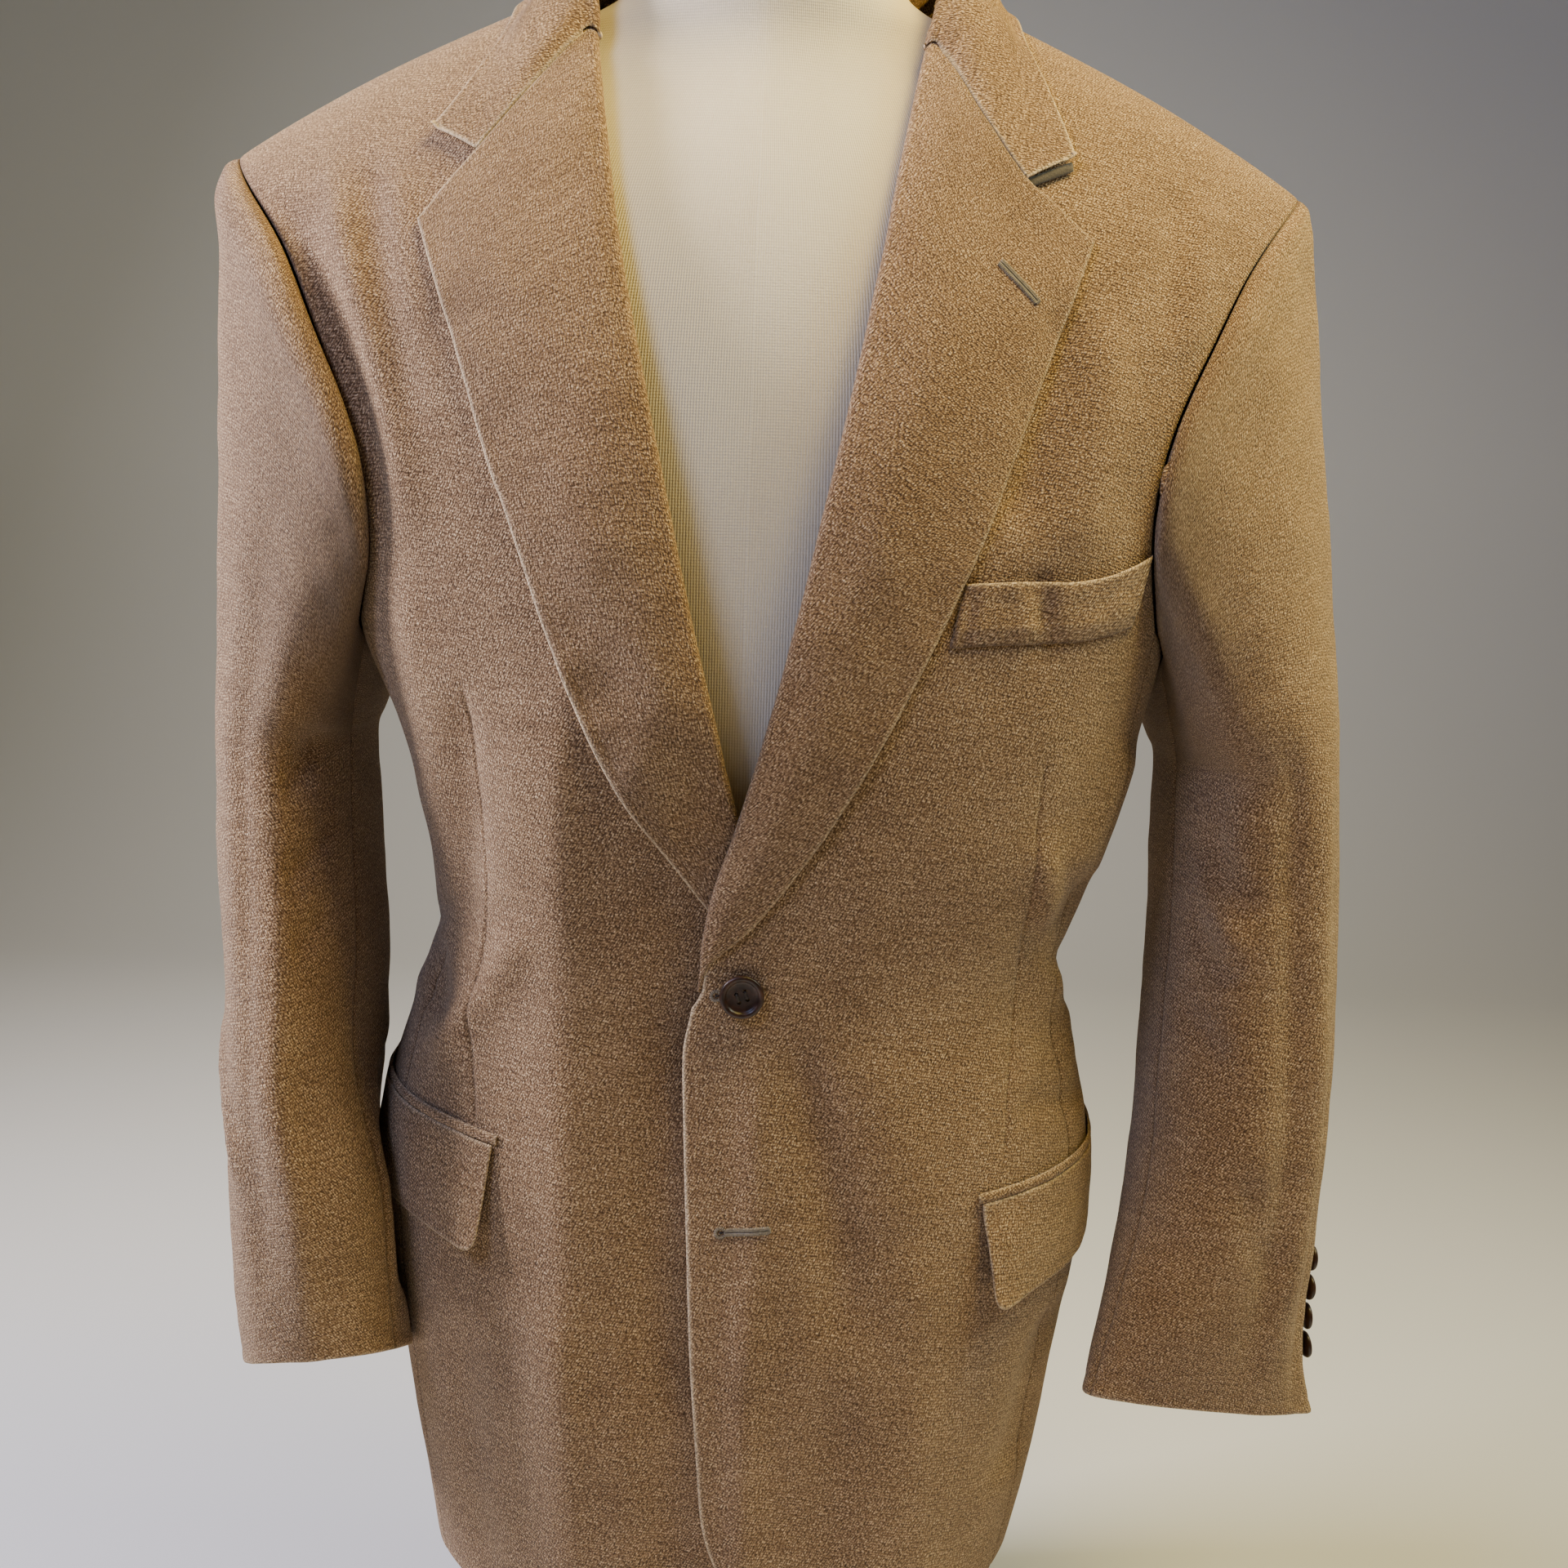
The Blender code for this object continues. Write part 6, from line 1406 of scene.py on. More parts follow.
def front_grid(side):
    key = side_key(side)
    tab = DART[key]
    low_t = np.array(seam_levels(LOW))
    rows, darts, widths = [], [], []

    def ends(b, t):
        return float(phi_at_x(front_in(b, side), b, side)), HEM_B + (ARM_LOW["b"][0] - HEM_B) * t

    def dart_share(b, t, guess):
        p_in, b_out = ends(b, t)
        at_b = b + (b_out - b) * guess
        x = float(np.interp(at_b, tab["b"], tab["x"])) if not tab["b"][0] <= at_b <= tab["b"][-1] else float(mono(tab["b"], tab["x"], at_b))
        return (float(phi_at_x(x, at_b, side)) - p_in) / (FRONT_SEAM - p_in)

    s0 = dart_share(CHEST_B, 1.0, 0.6)
    base = with_cluster(fine_ends(0.185, 46), s0, 0.185)
    sd = s0
    for b, t in sorted(zip(LOW, low_t)):
        sd = dart_share(b, t, sd)
        w = 1 - float(ease(b, 0.475, 0.56))
        shift = (sd - s0) * w
        s = base + shift * np.exp(-((base - s0) / 0.19) ** 2) * np.sin(np.pi * base) ** 0.5
        p_in, b_out = ends(b, t)
        rows.append(ring(p_in + (FRONT_SEAM - p_in) * s, b + (b_out - b) * s, side))
        darts.append(s - float(np.interp(s0, base, s)))
    rows, darts = rows[::-1], darts[::-1]
    x = rows[-1][:, 0] * side
    share = (x - x[0]) / (x[-1] - x[0])
    q_tab = [0.0] + [float(q_of(float(front_in(b, side)), b)) for b in UP_LEVELS[:-1]] + [1.0]
    at = np.arange(9) / 8
    b_in = CHEST_B
    for t in UP:
        q_in = float(mono(at, q_tab, t))
        for _ in range(6):
            x_in = float(front_in(b_in, side))
            b_in = float(b_of(x_in, q_in))
        x_out, q_out = arm_xq(side, "front", 1 - t)
        rows.append(at_xq(x_in + (x_out - x_in) * share, q_in + (q_out - q_in) * base, side))
        darts.append(darts[-1])
    grid = np.array(rows)
    if side < 0:
        grid[..., 1] += dip(grid[..., 0] * side, SHOULDER_Z - grid[..., 2])
    b = SHOULDER_Z - grid[..., 2]
    run = runs(grid, 1)
    centre = np.array([np.interp(0.0, d, r) for d, r in zip(np.array(darts), run)])
    dist = run - centre[:, None]
    on = ease(b, tab["b"][0] - 0.004, tab["b"][0] + 0.020) * (1 - ease(b, tab["b"][-1] - 0.006, tab["b"][-1] + 0.001))
    return grid, dist, on


def calm(grid, g, low=None):
    """Lets the folds die out before the armhole, where the sleeve holds the cloth to its line."""
    if low is None:
        away = runs(grid, 0)[-1:] - runs(grid, 0)
    else:
        away = runs(grid, 1)[:, -1:] - runs(grid, 1)
        below = np.linalg.norm(grid[:, -1] - grid[low - 1, -1], axis=-1) * (np.arange(len(grid)) < low)
        away = np.hypot(away, below[:, None])
    return grid + (g - grid) * ease(away, 0.0004, 0.011)[..., None]


def panels(mat):
    made = {}
    for side, key in ((1, "left"), (-1, "right")):
        # front
        grid, dist, on = front_grid(side)
        u0 = grid[:, 0, 0] * side * 1.01
        uv = body_uv(grid, side, len(LOW), u0)
        g = calm(grid, drape(grid, side), len(LOW))
        n = across(g) * side
        deep = 0.0010 if side < 0 else 0.0006
        g = g - n * (on * (deep * np.exp(-(dist / 0.0011) ** 2) + 0.0007 * np.exp(-(dist / 0.0070) ** 2)))[..., None]
        # painted shade: a thin dark line along the dart, stronger on the wearer's right front
        line = on * np.exp(-(dist / 0.0008) ** 2) * (0.85 if side < 0 else 0.55)
        made["front_" + key] = g
        # pale=0.8: a strong painted highlight along the front edges
        o = shell("tweed_front_" + key, g, n, WALL, mat, "front_" + key, uv, ("edge", "seam", "edge", "seam"), shade_lines=line, pale=0.8)
        sheet_facts(g)
        # side
        cols = fine_ends(0.125, 28)
        grid = side_panel(side, LOW, cols)
        arc = ring(np.full(len(LOW), FRONT_SEAM), LOW, side)
        uv = body_uv(grid, side, len(LOW), np.full(len(LOW), 0.215))
        g = calm(grid, drape(grid, side))
        n = across(g) * side
        made["side_" + key] = g
        o = shell("tweed_side_" + key, g, n, WALL, mat, "side_" + key, uv, ("seam", "seam", "edge", "seam"))
        sheet_facts(g)
        # back
        cols = fine_ends(0.21, 46)
        ups = mono(np.arange(8) / 7, [0.0] + BACK_UPS, UP)
        grid = back_rows(side, LOW, ups, cols)
        uv = body_uv(grid, side, len(LOW), np.zeros(len(grid)))
        uv[..., 0] += 0.7
        g = calm(grid, drape(grid, side), len(LOW))
        n = across(g) * -side
        made["back_" + key] = g
        o = shell("tweed_back_" + key, g, n, WALL, mat, "back_" + key, uv, ("seam", "seam", "edge", "seam"))
        sheet_facts(g)
    return made


def back_rows(side, levels, ups, cols):
    """The back panel's rows, with the armhole followed at the shares of the upper rows."""
    grid = list(back_panel(side, levels, [], cols))
    s = shares(cols)
    x = grid[-1][:, 0] * side
    share = x / x[-1]
    for t, u in zip(UP, ups):
        x_out, q_out = arm_xq(side, "back", t)
        x = x_out * share
        grid.append(at_xq(x, neck_q(x) * (q_out * share + float(u) * (1 - share)), side, True))
    return np.array(grid)


# ---------------------------------------------------------------- lapels and collar
def mounds(grid, spots):
    """Soft swellings of a sheet: share along the rows and columns, half-widths in metres, height."""
    a, c = runs(grid, 1), runs(grid, 0)
    total = np.zeros(grid.shape[:2])
    for row, col, wr, wc, h in spots:
        i, j = int(row * (grid.shape[0] - 1)), int(col * (grid.shape[1] - 1))
        p = grid[i, j]
        d = grid - p
        along = grid[min(i + 3, grid.shape[0] - 1), j] - grid[max(i - 3, 0), j]
        along = along / np.linalg.norm(along)
        l = d @ along
        w = np.sqrt(np.maximum(np.sum(d * d, -1) - l * l, 0))
        total += h * np.exp(-(l / wr) ** 2 - (w / wc) ** 2)
    return total


def lapels(mat):
    made = {}
    spots = dict(
        left=[(0.30, 0.62, 0.050, 0.016, 0.0012), (0.52, 0.80, 0.035, 0.018, -0.0010), (0.70, 0.55, 0.060, 0.020, 0.0012),
              (0.86, 0.80, 0.022, 0.022, 0.0009), (0.93, 0.60, 0.020, 0.030, -0.0007), (0.44, 0.95, 0.030, 0.008, 0.0008), (0.12, 0.8, 0.02, 0.01, -0.0006)],
        right=[(0.34, 0.66, 0.045, 0.014, 0.0014), (0.50, 0.72, 0.030, 0.016, -0.0013), (0.64, 0.62, 0.035, 0.020, 0.0014),
               (0.76, 0.80, 0.020, 0.022, -0.0010), (0.88, 0.70, 0.022, 0.026, 0.0012), (0.58, 0.96, 0.030, 0.007, 0.0008), (0.20, 0.9, 0.02, 0.01, 0.0006)],
    )
    for side, key in ((1, "left"), (-1, "right")):
        rows = 96
        base = lapel(side, rows, 30, legs=2, bend=10, leg=0.0065)
        ncol = base.shape[1]
        cols = np.concatenate([np.linspace(0, ncol - 1.6, 56), ncol - 1 - np.array([0.45, 0.30, 0.17, 0.07, 0.0])])
        rr = np.concatenate([np.linspace(0, rows - 1.2, 118), rows - np.array([0.70, 0.42, 0.22, 0.08, 0.0])])
        base = finer(base, rr, cols)
        x, b, phi = coords(base, side)
        g = base + surface_normal(x, b, phi, side) * relief(x, b, phi, side)[..., None] * 0.9
        n = across(g) * side
        g = g + n * mounds(g, spots[key])[..., None]
        wave = ripple(runs(g, 0), runs(g, 1), 40 + side, 0.045)
        free = ease(runs(g, 1)[:, -1:] - runs(g, 1), 0.030, 0.0)
        g = g + n * (wave * 0.00030 * (0.5 + free))[..., None]
        # the lower end runs out to a point on the crease, in line with the front edge
        crease = int(np.argmin(np.abs(cols - 7)))
        rise = runs(g, 0)[:, crease:crease + 1]
        narrow = 0.16 + 0.84 * ease(rise, -0.001, 0.026)
        g = g[:, crease:crease + 1] + (g - g[:, crease:crease + 1]) * narrow[..., None]
        # a flat band behind the turned edge, where the layers are pressed thin
        d_edge = runs(g, 1)[:, -1:] - runs(g, 1)
        g = g - n * (0.00028 * np.exp(-((d_edge - 0.0058) / 0.0013) ** 2))[..., None]
        n = across(g) * side
        made[key] = (g, n)
        made[key + "_columns"] = cols
        uv = grid_uv(g, 16.0 * side, (2.0, side * 0.9))
        tuck(key, side, g, n, uv, mat, crease)
        over = runs(g, 0)[-1:] - runs(g, 0)
        notch = abs(g[-1, crease, 0]) + (abs(g[-1, -1, 0]) - abs(g[-1, crease, 0])) * NOTCH_V[key]
        # painted shade: a thin dark line along the lapel's top seam, up to the notch
        line = np.exp(-(over / 0.0008) ** 2) * (1 - ease(np.abs(g[..., 0]), notch - 0.002, notch)) * 0.8
        # painted edge highlight, stronger on the wearer's right lapel, which faces the key light
        o = shell("tweed_lapel_" + key, g, n, 0.0016, mat, "lapel_" + key, uv, (None, "edge", None, "edge"), shade_lines=line, pale=0.35 if side > 0 else 0.85)
        sheet_facts(g)
    return made


def tuck(key, side, g, n, uv, mat, crease):
    """The lapel's turning along its top seam, which runs on under the collar from the crease to the notch."""
    v = runs(g, 1)[-1]
    last = int(np.argmin(np.abs(v - v[-1] * 0.60)))
    cols = np.arange(0, last)
    top, nn, u0 = g[-1, cols], n[-1, cols], uv[-1, cols]
    ahead = unit(g[-1, cols] - g[-6, cols])
    rows, urows = [], []
    near = np.exp(-((v[cols] - v[crease]) / 0.006) ** 2)[:, None]
    for s in (-0.0030, -0.0012, -0.0003, 0.0004, 0.0011, 0.0018, 0.0030, 0.0055, 0.0090, 0.0120):
        deep = 0.0005 + 0.0012 * float(ease(s, -0.001, 0.007))
        rows.append(top + ahead * s - nn * (deep * (1 - near) + (0.0004 - 0.0013 * float(ease(s, -0.0004, 0.0016))) * near))
        urows.append(u0 + np.array([0, s]))
    r = np.array(rows)
    o = shell("tweed_lapel_turning_" + key, r, across(r) * side, 0.0008, mat, None, np.array(urows), (None,) * 4)
    return o


def meet(g, row, cc, lapel_, columns):
    """Carries one end of the collar to the lapel's top line, from inside the crease to the notch."""
    top, up = lapel_[0][-1], lapel_[1][-1]
    ahead = unit(lapel_[0][-1] - lapel_[0][-6])
    key = "left" if row else "right"
    run = lambda line, at: (lambda r: r - r[at])(np.concatenate([[0.0], np.cumsum(np.linalg.norm(np.diff(line, axis=0), axis=1))]))
    sl = run(top, int(np.argmin(np.abs(columns - 7))))
    sc = run(g[row], int(np.argmin(np.abs(cc - 5))))
    across_ = abs(top[:, 0])
    notch = across_[int(np.argmin(np.abs(columns - 7)))] + (across_[-1] - across_[int(np.argmin(np.abs(columns - 7)))]) * NOTCH_V[key]
    at_notch = float(np.interp(notch, across_[sl > 0], sl[sl > 0]))
    knee = float(np.interp(14.0, cc, sc))
    s = np.clip(np.where(sc > 0, sc * at_notch / knee, sc), sl[0], None)
    at_crease = np.exp(-((sl - 0.0005) / 0.0045) ** 2)[:, None]
    line = top + ahead * (0.0005 - 0.0013 * at_crease) + up * 0.0005
    target = np.stack([np.interp(s, sl, line[:, i]) for i in range(3)], 1)
    move = target - g[row]
    free = cc > 14.0
    move[free] = move[int(np.argmin(np.abs(cc - 14)))]
    move = move * (ease(sc, -0.018, -0.006) * (1 - ease(cc, 14.0, 17.0)))[:, None]
    gone = np.abs(runs(g, 0) - (runs(g, 0)[-1:] if row else 0.0))
    return g + move[None] * (1 - ease(gone, 0.0, 0.045))[..., None]


def flat_ends(uv, g):
    """Near its two ends the collar lies nearly flat, and the weave is laid square on it there."""
    out, col = uv.copy(), int(g.shape[1] * 0.62)
    for row in (0, -1):
        gone = np.abs(runs(g, 0) - (runs(g, 0)[-1:] if row else 0.0))
        i = int(np.argmin(np.abs(gone[:, col] - 0.035)))
        a, c = unit(g[i + 3, col] - g[i - 3, col]), g[i, col + 3] - g[i, col - 3]
        c = unit(c - a * (c @ a))
        ua, uc = unit(uv[i + 3, col] - uv[i - 3, col]), uv[i, col + 3] - uv[i, col - 3]
        uc = unit(uc - ua * (uc @ ua))
        d = g - g[i, col]
        flat = uv[i, col] + (d @ a)[..., None] * ua + (d @ c)[..., None] * uc
        w = (1 - ease(gone, 0.050, 0.090))[..., None]
        out = out * (1 - w) + flat * w
    return out


def lie_down(base):
    """Over the shoulders the collar's fall lies down on the cloth right out to its edge."""
    base, last = base.copy(), base.shape[0] - 1
    for i in range(last + 1):
        at = min(i, last - i)
        w = float(ease(at, 5.0, 7.5) * (1 - ease(at, 11.5, 14.0)))
        if w < 1e-6:
            continue
        for j, most in ((-1, 0.0045), (-2, 0.0051), (-3, 0.0064), (-4, 0.0084), (-5, 0.0110)):
            p = base[i, j]
            side, x = (1 if p[0] > 0 else -1), abs(p[0])
            b0 = max(SHOULDER_Z - p[2], float(ridge_b(x)) + 0.0005)
            near = [at_xb(x, b0 + db, side, back) for back in (False, True) for db in np.linspace(0, 0.03, 31)]
            s = min(near, key=lambda q: float(np.linalg.norm(p - q)))
            d = float(np.linalg.norm(p - s))
            if d > most:
                base[i, j] = p + (s - p) * (1 - most / d) * w
    return base


def collar_piece(mat, laps):
    base = lie_down(collar(24, 10))
    nr, nc = base.shape[:2]
    rr = np.concatenate([[0, 0.06, 0.16, 0.30, 0.5], np.linspace(0.75, nr - 1.75, 170), nr - 1 - np.array([0.5, 0.30, 0.16, 0.06, 0])])
    c1 = np.linspace(0, 14, 46)
    c2 = np.concatenate([np.linspace(14, nc - 1.5, 8)[1:], nc - 1 - np.array([0.32, 0.20, 0.11, 0.04, 0])])
    g = finer(base, rr)
    g = np.concatenate([finer(g[:, :15], None, c1), finer(g[:, 14:], None, c2 - 14)], 1)
    cc = np.concatenate([c1, c2])
    g = meet(g, 0, cc, laps["right"], laps["right_columns"])
    g = meet(g, -1, cc, laps["left"], laps["left_columns"])
    n = -across(g)
    d_edge = runs(g, 1)[:, -1:] - runs(g, 1)
    g = g + n * (0.0003 * ripple(runs(g, 0), runs(g, 1), 61, 0.05) - 0.00028 * np.exp(-((d_edge - 0.0058) / 0.0013) ** 2))[..., None]
    n = -across(g)
    uv = flat_ends(grid_uv(g, 90.0, (4.0, 0.0)), g)
    gone = np.minimum(runs(g, 0), runs(g, 0)[-1:] - runs(g, 0))
    # painted shade: a thin dark line along the collar's ends, where they meet the lapels
    line = np.exp(-(gone / 0.0008) ** 2) * (1 - ease(cc, 13.4, 14.0)) * 0.9
    # the strongest and broadest painted highlight runs along the collar's edges
    o = shell("tweed_collar", g, n, 0.0016, mat, "collar", uv, (None, "edge", "edge", "edge"), shade_lines=line, pale=1.0, broad=1.3)
    sheet_facts(g)
    return g, n


def felt_bar(mat):
    """The undercollar felt, seen in the notch between the collar's end and the lapel."""
    inner, outer = np.array([0.1165, 0.0163]), np.array([0.1380, 0.0060])
    down = np.array([0.0006, 0.0046])
    rows = []
    for v in np.linspace(1, 0, 9):
        rows.append([off_xb(*(inner + (outer - inner) * u + down * v), 1, 0.0024 + 0.0005 * math.sin(math.pi * v)) for u in np.linspace(0, 1, 26)])
    g = drape(np.array(rows), 1)
    n = across(g)
    if n[..., 1].mean() > 0:
        n = -n
    o = shell("undercollar_felt_bar", g, n, 0.0010, mat, "undercollar_felt")


# ---------------------------------------------------------------- sleeves
ARM_ROWS = dict(left=np.array([0.280, 0.300, 0.320, 0.340, 0.360, 0.380, 0.400, 0.420, 0.440, 0.460, 0.482, 0.505, 0.530, 0.555, 0.580, 0.597, 0.609]),
                right=np.array([0.280, 0.300, 0.320, 0.340, 0.360, 0.380, 0.400, 0.418, 0.436, 0.455, 0.475, 0.497, 0.520, 0.543, 0.562, 0.575, 0.585]))
CAP_ROWS = [0, 0.015, 0.03, 0.055, 0.09, 0.13, 0.18, 0.245, 0.32, 0.42, 0.52, 0.64, 0.76, 0.88]
PSI_FRONT, PSI_HIND = 164.0, 212.0 + 148.0 * 3 / 7


def round_arm(psi):
    p = psi % 360
    if p < 148:
        return ("front", p / 148, psi)
    if p < 212:
        return ("low", (p - 148) / 64, psi)
    return ("back", (p - 212) / 148, psi)


def sleeves(mat):
    made = {}
    room = dict(left=0.005, right=0.006)
    for side, key in ((1, "left"), (-1, "right")):
        flap_room = lambda b: room[key] * float(ease(b, 0.41, 0.45)) * (1 - float(ease(b, 0.54, 0.58)))
        for part, lo, hi, count in (("upper", PSI_HIND - 360, PSI_FRONT, 30), ("under", PSI_FRONT, PSI_HIND, 14)):
            psis = np.linspace(lo, hi, count + 1)
            base = sleeve(side, [round_arm(p) for p in psis], CAP_ROWS, ARM_ROWS[key], start=0.0003, flap=flap_room)
            nr = base.shape[0]
            rr = np.concatenate([[0, 0.07, 0.17, 0.32, 0.55], np.linspace(0.8, nr - 1.35, 168), nr - 1 - np.array([0.22, 0.13, 0.07, 0.03, 0])])
            wide = 0.24 if part == "upper" else 0.12
            cc = fine_ends(wide, 78 if part == "upper" else 36) * count
            g = finer(base, rr, cc)
            psi = np.interp(cc, np.arange(count + 1), psis)[None, :] + np.zeros(g.shape[:2])
            b = SHOULDER_Z - g[..., 2]
            folds = SLEEVE_FOLDS_LEFT if side > 0 else SLEEVE_FOLDS_RIGHT
            turned = (psi + hind_turn(side, b, psi)) % 360
            total = ridge_line(turned, b, folds, 0.0010)
            total = total + ripple(psi * 0.001, b, 71 + side, 0.075) * 0.00060 + ripple(psi * 0.001, b, 81 + side, 0.030) * 0.00016
            # the head is eased into the armhole in shallow puckers, fullest over its top
            run = runs(g, 0)
            top = np.exp(-(((psi + 180) % 360 - 180) / 75) ** 2)
            total = total + top * 0.00045 * np.exp(-((run - 0.010) / 0.008) ** 2) * np.sin(psi / 4.1 + 1.7 * np.sin(psi / 17.0))
            swell = 0.0011 * np.exp(-((run - 0.006) / 0.0045) ** 2) * (0.35 + 0.65 * top)
            ends = ease(run, 0.0, 0.012)
            fore = np.exp(-((psi % 360 - 76) / 58) ** 4)
            roll = (0.0070 if side < 0 else 0.0022) * fore * run / 0.011 * np.exp(1 - run / 0.011)
            n = across(g) * side
            g = g + n * (total * ends + swell + roll)[..., None]
            cuff = run[-1:] - run
            g = g - n * (0.00030 * np.exp(-((cuff - 0.0075) / 0.0020) ** 2))[..., None]
            n = across(g) * side
            made[(key, part)] = (g, n, psi)
            uv = grid_uv(g, 0.0, (6.0 + side + (0.5 if part == "under" else 0), 0.0))
            o = shell("tweed_%s_sleeve_%s" % (part, key), g, n, WALL, mat, "%s_sleeve_%s" % (part, key), uv, ("seam", "seam", "seam", "edge"))
            sheet_facts(g)
    return made


# ---------------------------------------------------------------- pockets
ON_TOP = 0.0010


def flaps(mat):
    made = {}
    for side, key in ((1, "left"), (-1, "right")):
        cols = fine_ends(FLAP_W, 56)
        s = FLAP_W * cols
        e = np.minimum(s, FLAP_W - s)
        short = FLAP_R - np.sqrt(np.maximum(FLAP_R**2 - np.maximum(FLAP_R - e, 0) ** 2, 0))
        v = fine_ends(FLAP_H, 20)[::-1]
        S = np.repeat(s[None], len(v), 0)
        H = 0.0006 + (FLAP_H - short)[None] * v[:, None]
        hang = H / FLAP_H
        corner = np.exp(-(S / 0.024) ** 2)
        out = ON_TOP + 0.0016 + 0.0016 * hang**1.5 + (0.0085 if side > 0 else 0.0075) * corner * hang**1.6
        out = out + 0.0008 * np.sin(np.pi * hang) * (0.6 + 0.4 * np.sin(S / 0.021 + side)) + 0.0005 * ripple(S, H, 90 + side, 0.04)
        g = drape(flap_point(side, S, H, out), side)
        n = across(g) * side
        d = edge_distances(g)
        near = np.minimum(np.minimum(d[0], d[1]), d[2])
        g = g - n * (0.00025 * np.exp(-((near - 0.0050) / 0.0012) ** 2))[..., None]
        made[key] = g
        uv = np.stack([S * side + side * 0.20, -(H + FLAP[key]["b"])], -1)
        o = shell("tweed_flap_" + key, g, across(g) * side, 0.0016, mat, "flap_" + key, uv)
        sheet_facts(g)
        # the jet: a narrow rounded band above the flap
        sj = np.linspace(-0.002, FLAP_W + 0.002, 70)
        rows = []
        vv = np.linspace(0, 1, 9)
        for w in vv:
            h = -JET_H * w
            rows.append(flap_point(side, sj, np.full_like(sj, h), np.full_like(sj, ON_TOP + 0.0008 + 0.0009 * math.sin(math.pi * w) ** 0.6) + 0.00015 * ripple(sj, sj * 0, 95 + side, 0.02)))
        gj = drape(np.array(rows), side)
        uvj = np.stack([np.repeat(sj[None], len(vv), 0) * side, np.repeat(vv[:, None] * JET_H, len(sj), 1)], -1)
        t = math.radians(45)
        uvj = np.stack([uvj[..., 0] * math.cos(t) - uvj[..., 1] * math.sin(t), uvj[..., 0] * math.sin(t) + uvj[..., 1] * math.cos(t)], -1)
        nj = across(gj) * side
        o = shell("tweed_jet_" + key, gj, nj, 0.0010, mat, "jet_" + key, uvj, ("edge", "edge", None, "edge"))
    return made


def breast_welt(mat):
    u = fine_ends(0.088, 44)
    v = fine_ends(0.027, 14)[::-1]          # from the lower seam to the upper edge
    U, V = np.meshgrid(u, v)
    up = 1 - V
    out = ON_TOP + 0.0010 + 0.0016 * ease(up, 0.0, 0.30) + 0.0010 * ease(up, 0.55, 1.0) * np.sin(np.pi * np.clip(U, 0, 1)) ** 0.7
    out = out - 0.0010 * np.exp(-((U - 0.44) / 0.035) ** 2 - ((up - 0.45) / 0.35) ** 2) + 0.0007 * np.exp(-((U - 0.52) / 0.05) ** 2 - ((up - 0.5) / 0.4) ** 2)
    out = out - 0.0009 * np.exp(-((U - 0.055) / 0.022) ** 2 - ((up - 0.5) / 0.3) ** 2) + 0.0003 * ripple(U * 0.088, V * 0.027, 99, 0.02)
    out = out - 0.0009 * (np.exp(-(U / 0.012) ** 2) + np.exp(-((1 - U) / 0.012) ** 2))
    g = drape(welt_point(U, V, out), 1)
    n = across(g)
    if n[..., 1].mean() > 0:
        n = -n
    uv = np.stack([U * 0.088, -V * 0.027], -1)
    o = shell("tweed_breast_welt", g, n, 0.0014, mat, "breast_welt", uv, ("seam", "seam", "seam", "edge"), fall=0.0004)
    sheet_facts(g)
    return g


# ---------------------------------------------------------------- small things
def joined(name, verts, faces, mat, smooth=True, node=None):
    mesh = bpy.data.meshes.new(name)
    mesh.from_pydata([tuple(map(float, v)) for v in verts], [], [tuple(map(int, f)) for f in faces])
    mesh.polygons.foreach_set("use_smooth", [smooth] * len(mesh.polygons))
    mesh.materials.append(mat)
    mesh.update()
    obj = bpy.data.objects.new(name, mesh)
    bpy.context.scene.collection.objects.link(obj)
    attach(obj, "root")
    if node:
        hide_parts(node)
    return obj


class Pile:
    """Collects many small solids as one mesh."""

    def __init__(self):
        self.verts, self.faces = [], []

    def tube(self, path, radius, sides=6, caps=True):
        path = np.asarray(path, float)
        n = len(path)
        tang = unit(np.gradient(path, axis=0))
        ref = np.array([0.0, 0.0, 1.0]) if abs(tang[0][2]) < 0.9 else np.array([1.0, 0, 0])
        start = len(self.verts)
        r = np.broadcast_to(radius, (n,))
        side_ = unit(np.cross(tang[0], ref))
        for i in range(n):
            side_ = unit(side_ - tang[i] * (side_ @ tang[i]))
            up = np.cross(tang[i], side_)
            for j in range(sides):
                a = 2 * math.pi * j / sides
                self.verts.append(path[i] + (side_ * math.cos(a) + up * math.sin(a)) * r[i])
        for i in range(n - 1):
            for j in range(sides):
                k = (j + 1) % sides
                a, c = start + i * sides, start + (i + 1) * sides
                self.faces.append((a + j, a + k, c + k, c + j))
        if caps:
            self.faces.append(tuple(start + j for j in range(sides))[::-1])
            self.faces.append(tuple(start + (n - 1) * sides + j for j in range(sides)))

    def lozenge(self, centre, along, up, length, wide, high, sides=6):
        """A single thread lying over the cloth: a short bent tube with its ends tucked in."""
        steps = np.linspace(-1, 1, 7)
        path = [centre + along * length * 0.5 * s + up * (high * (1 - abs(s) ** 2.2) - 0.0001) for s in steps]
        self.tube(path, wide * (0.45 + 0.55 * np.sqrt(np.clip(1 - steps**2, 0, 1))), sides)


def on_grid(grid, normals, x, z):
    """The point and the direction out of a sheet at a place seen from the front."""
    d = (grid[..., 0] - x) ** 2 + (grid[..., 2] - z) ** 2 + np.where(normals[..., 1] < -0.2, 0, 1e3)
    i = np.unravel_index(np.argmin(d), d.shape)
    p, n = grid[i], normals[i]
    y = p[1] - (n[0] * (x - p[0]) + n[2] * (z - p[2])) / n[1]
    return np.array([x, y, z]), n


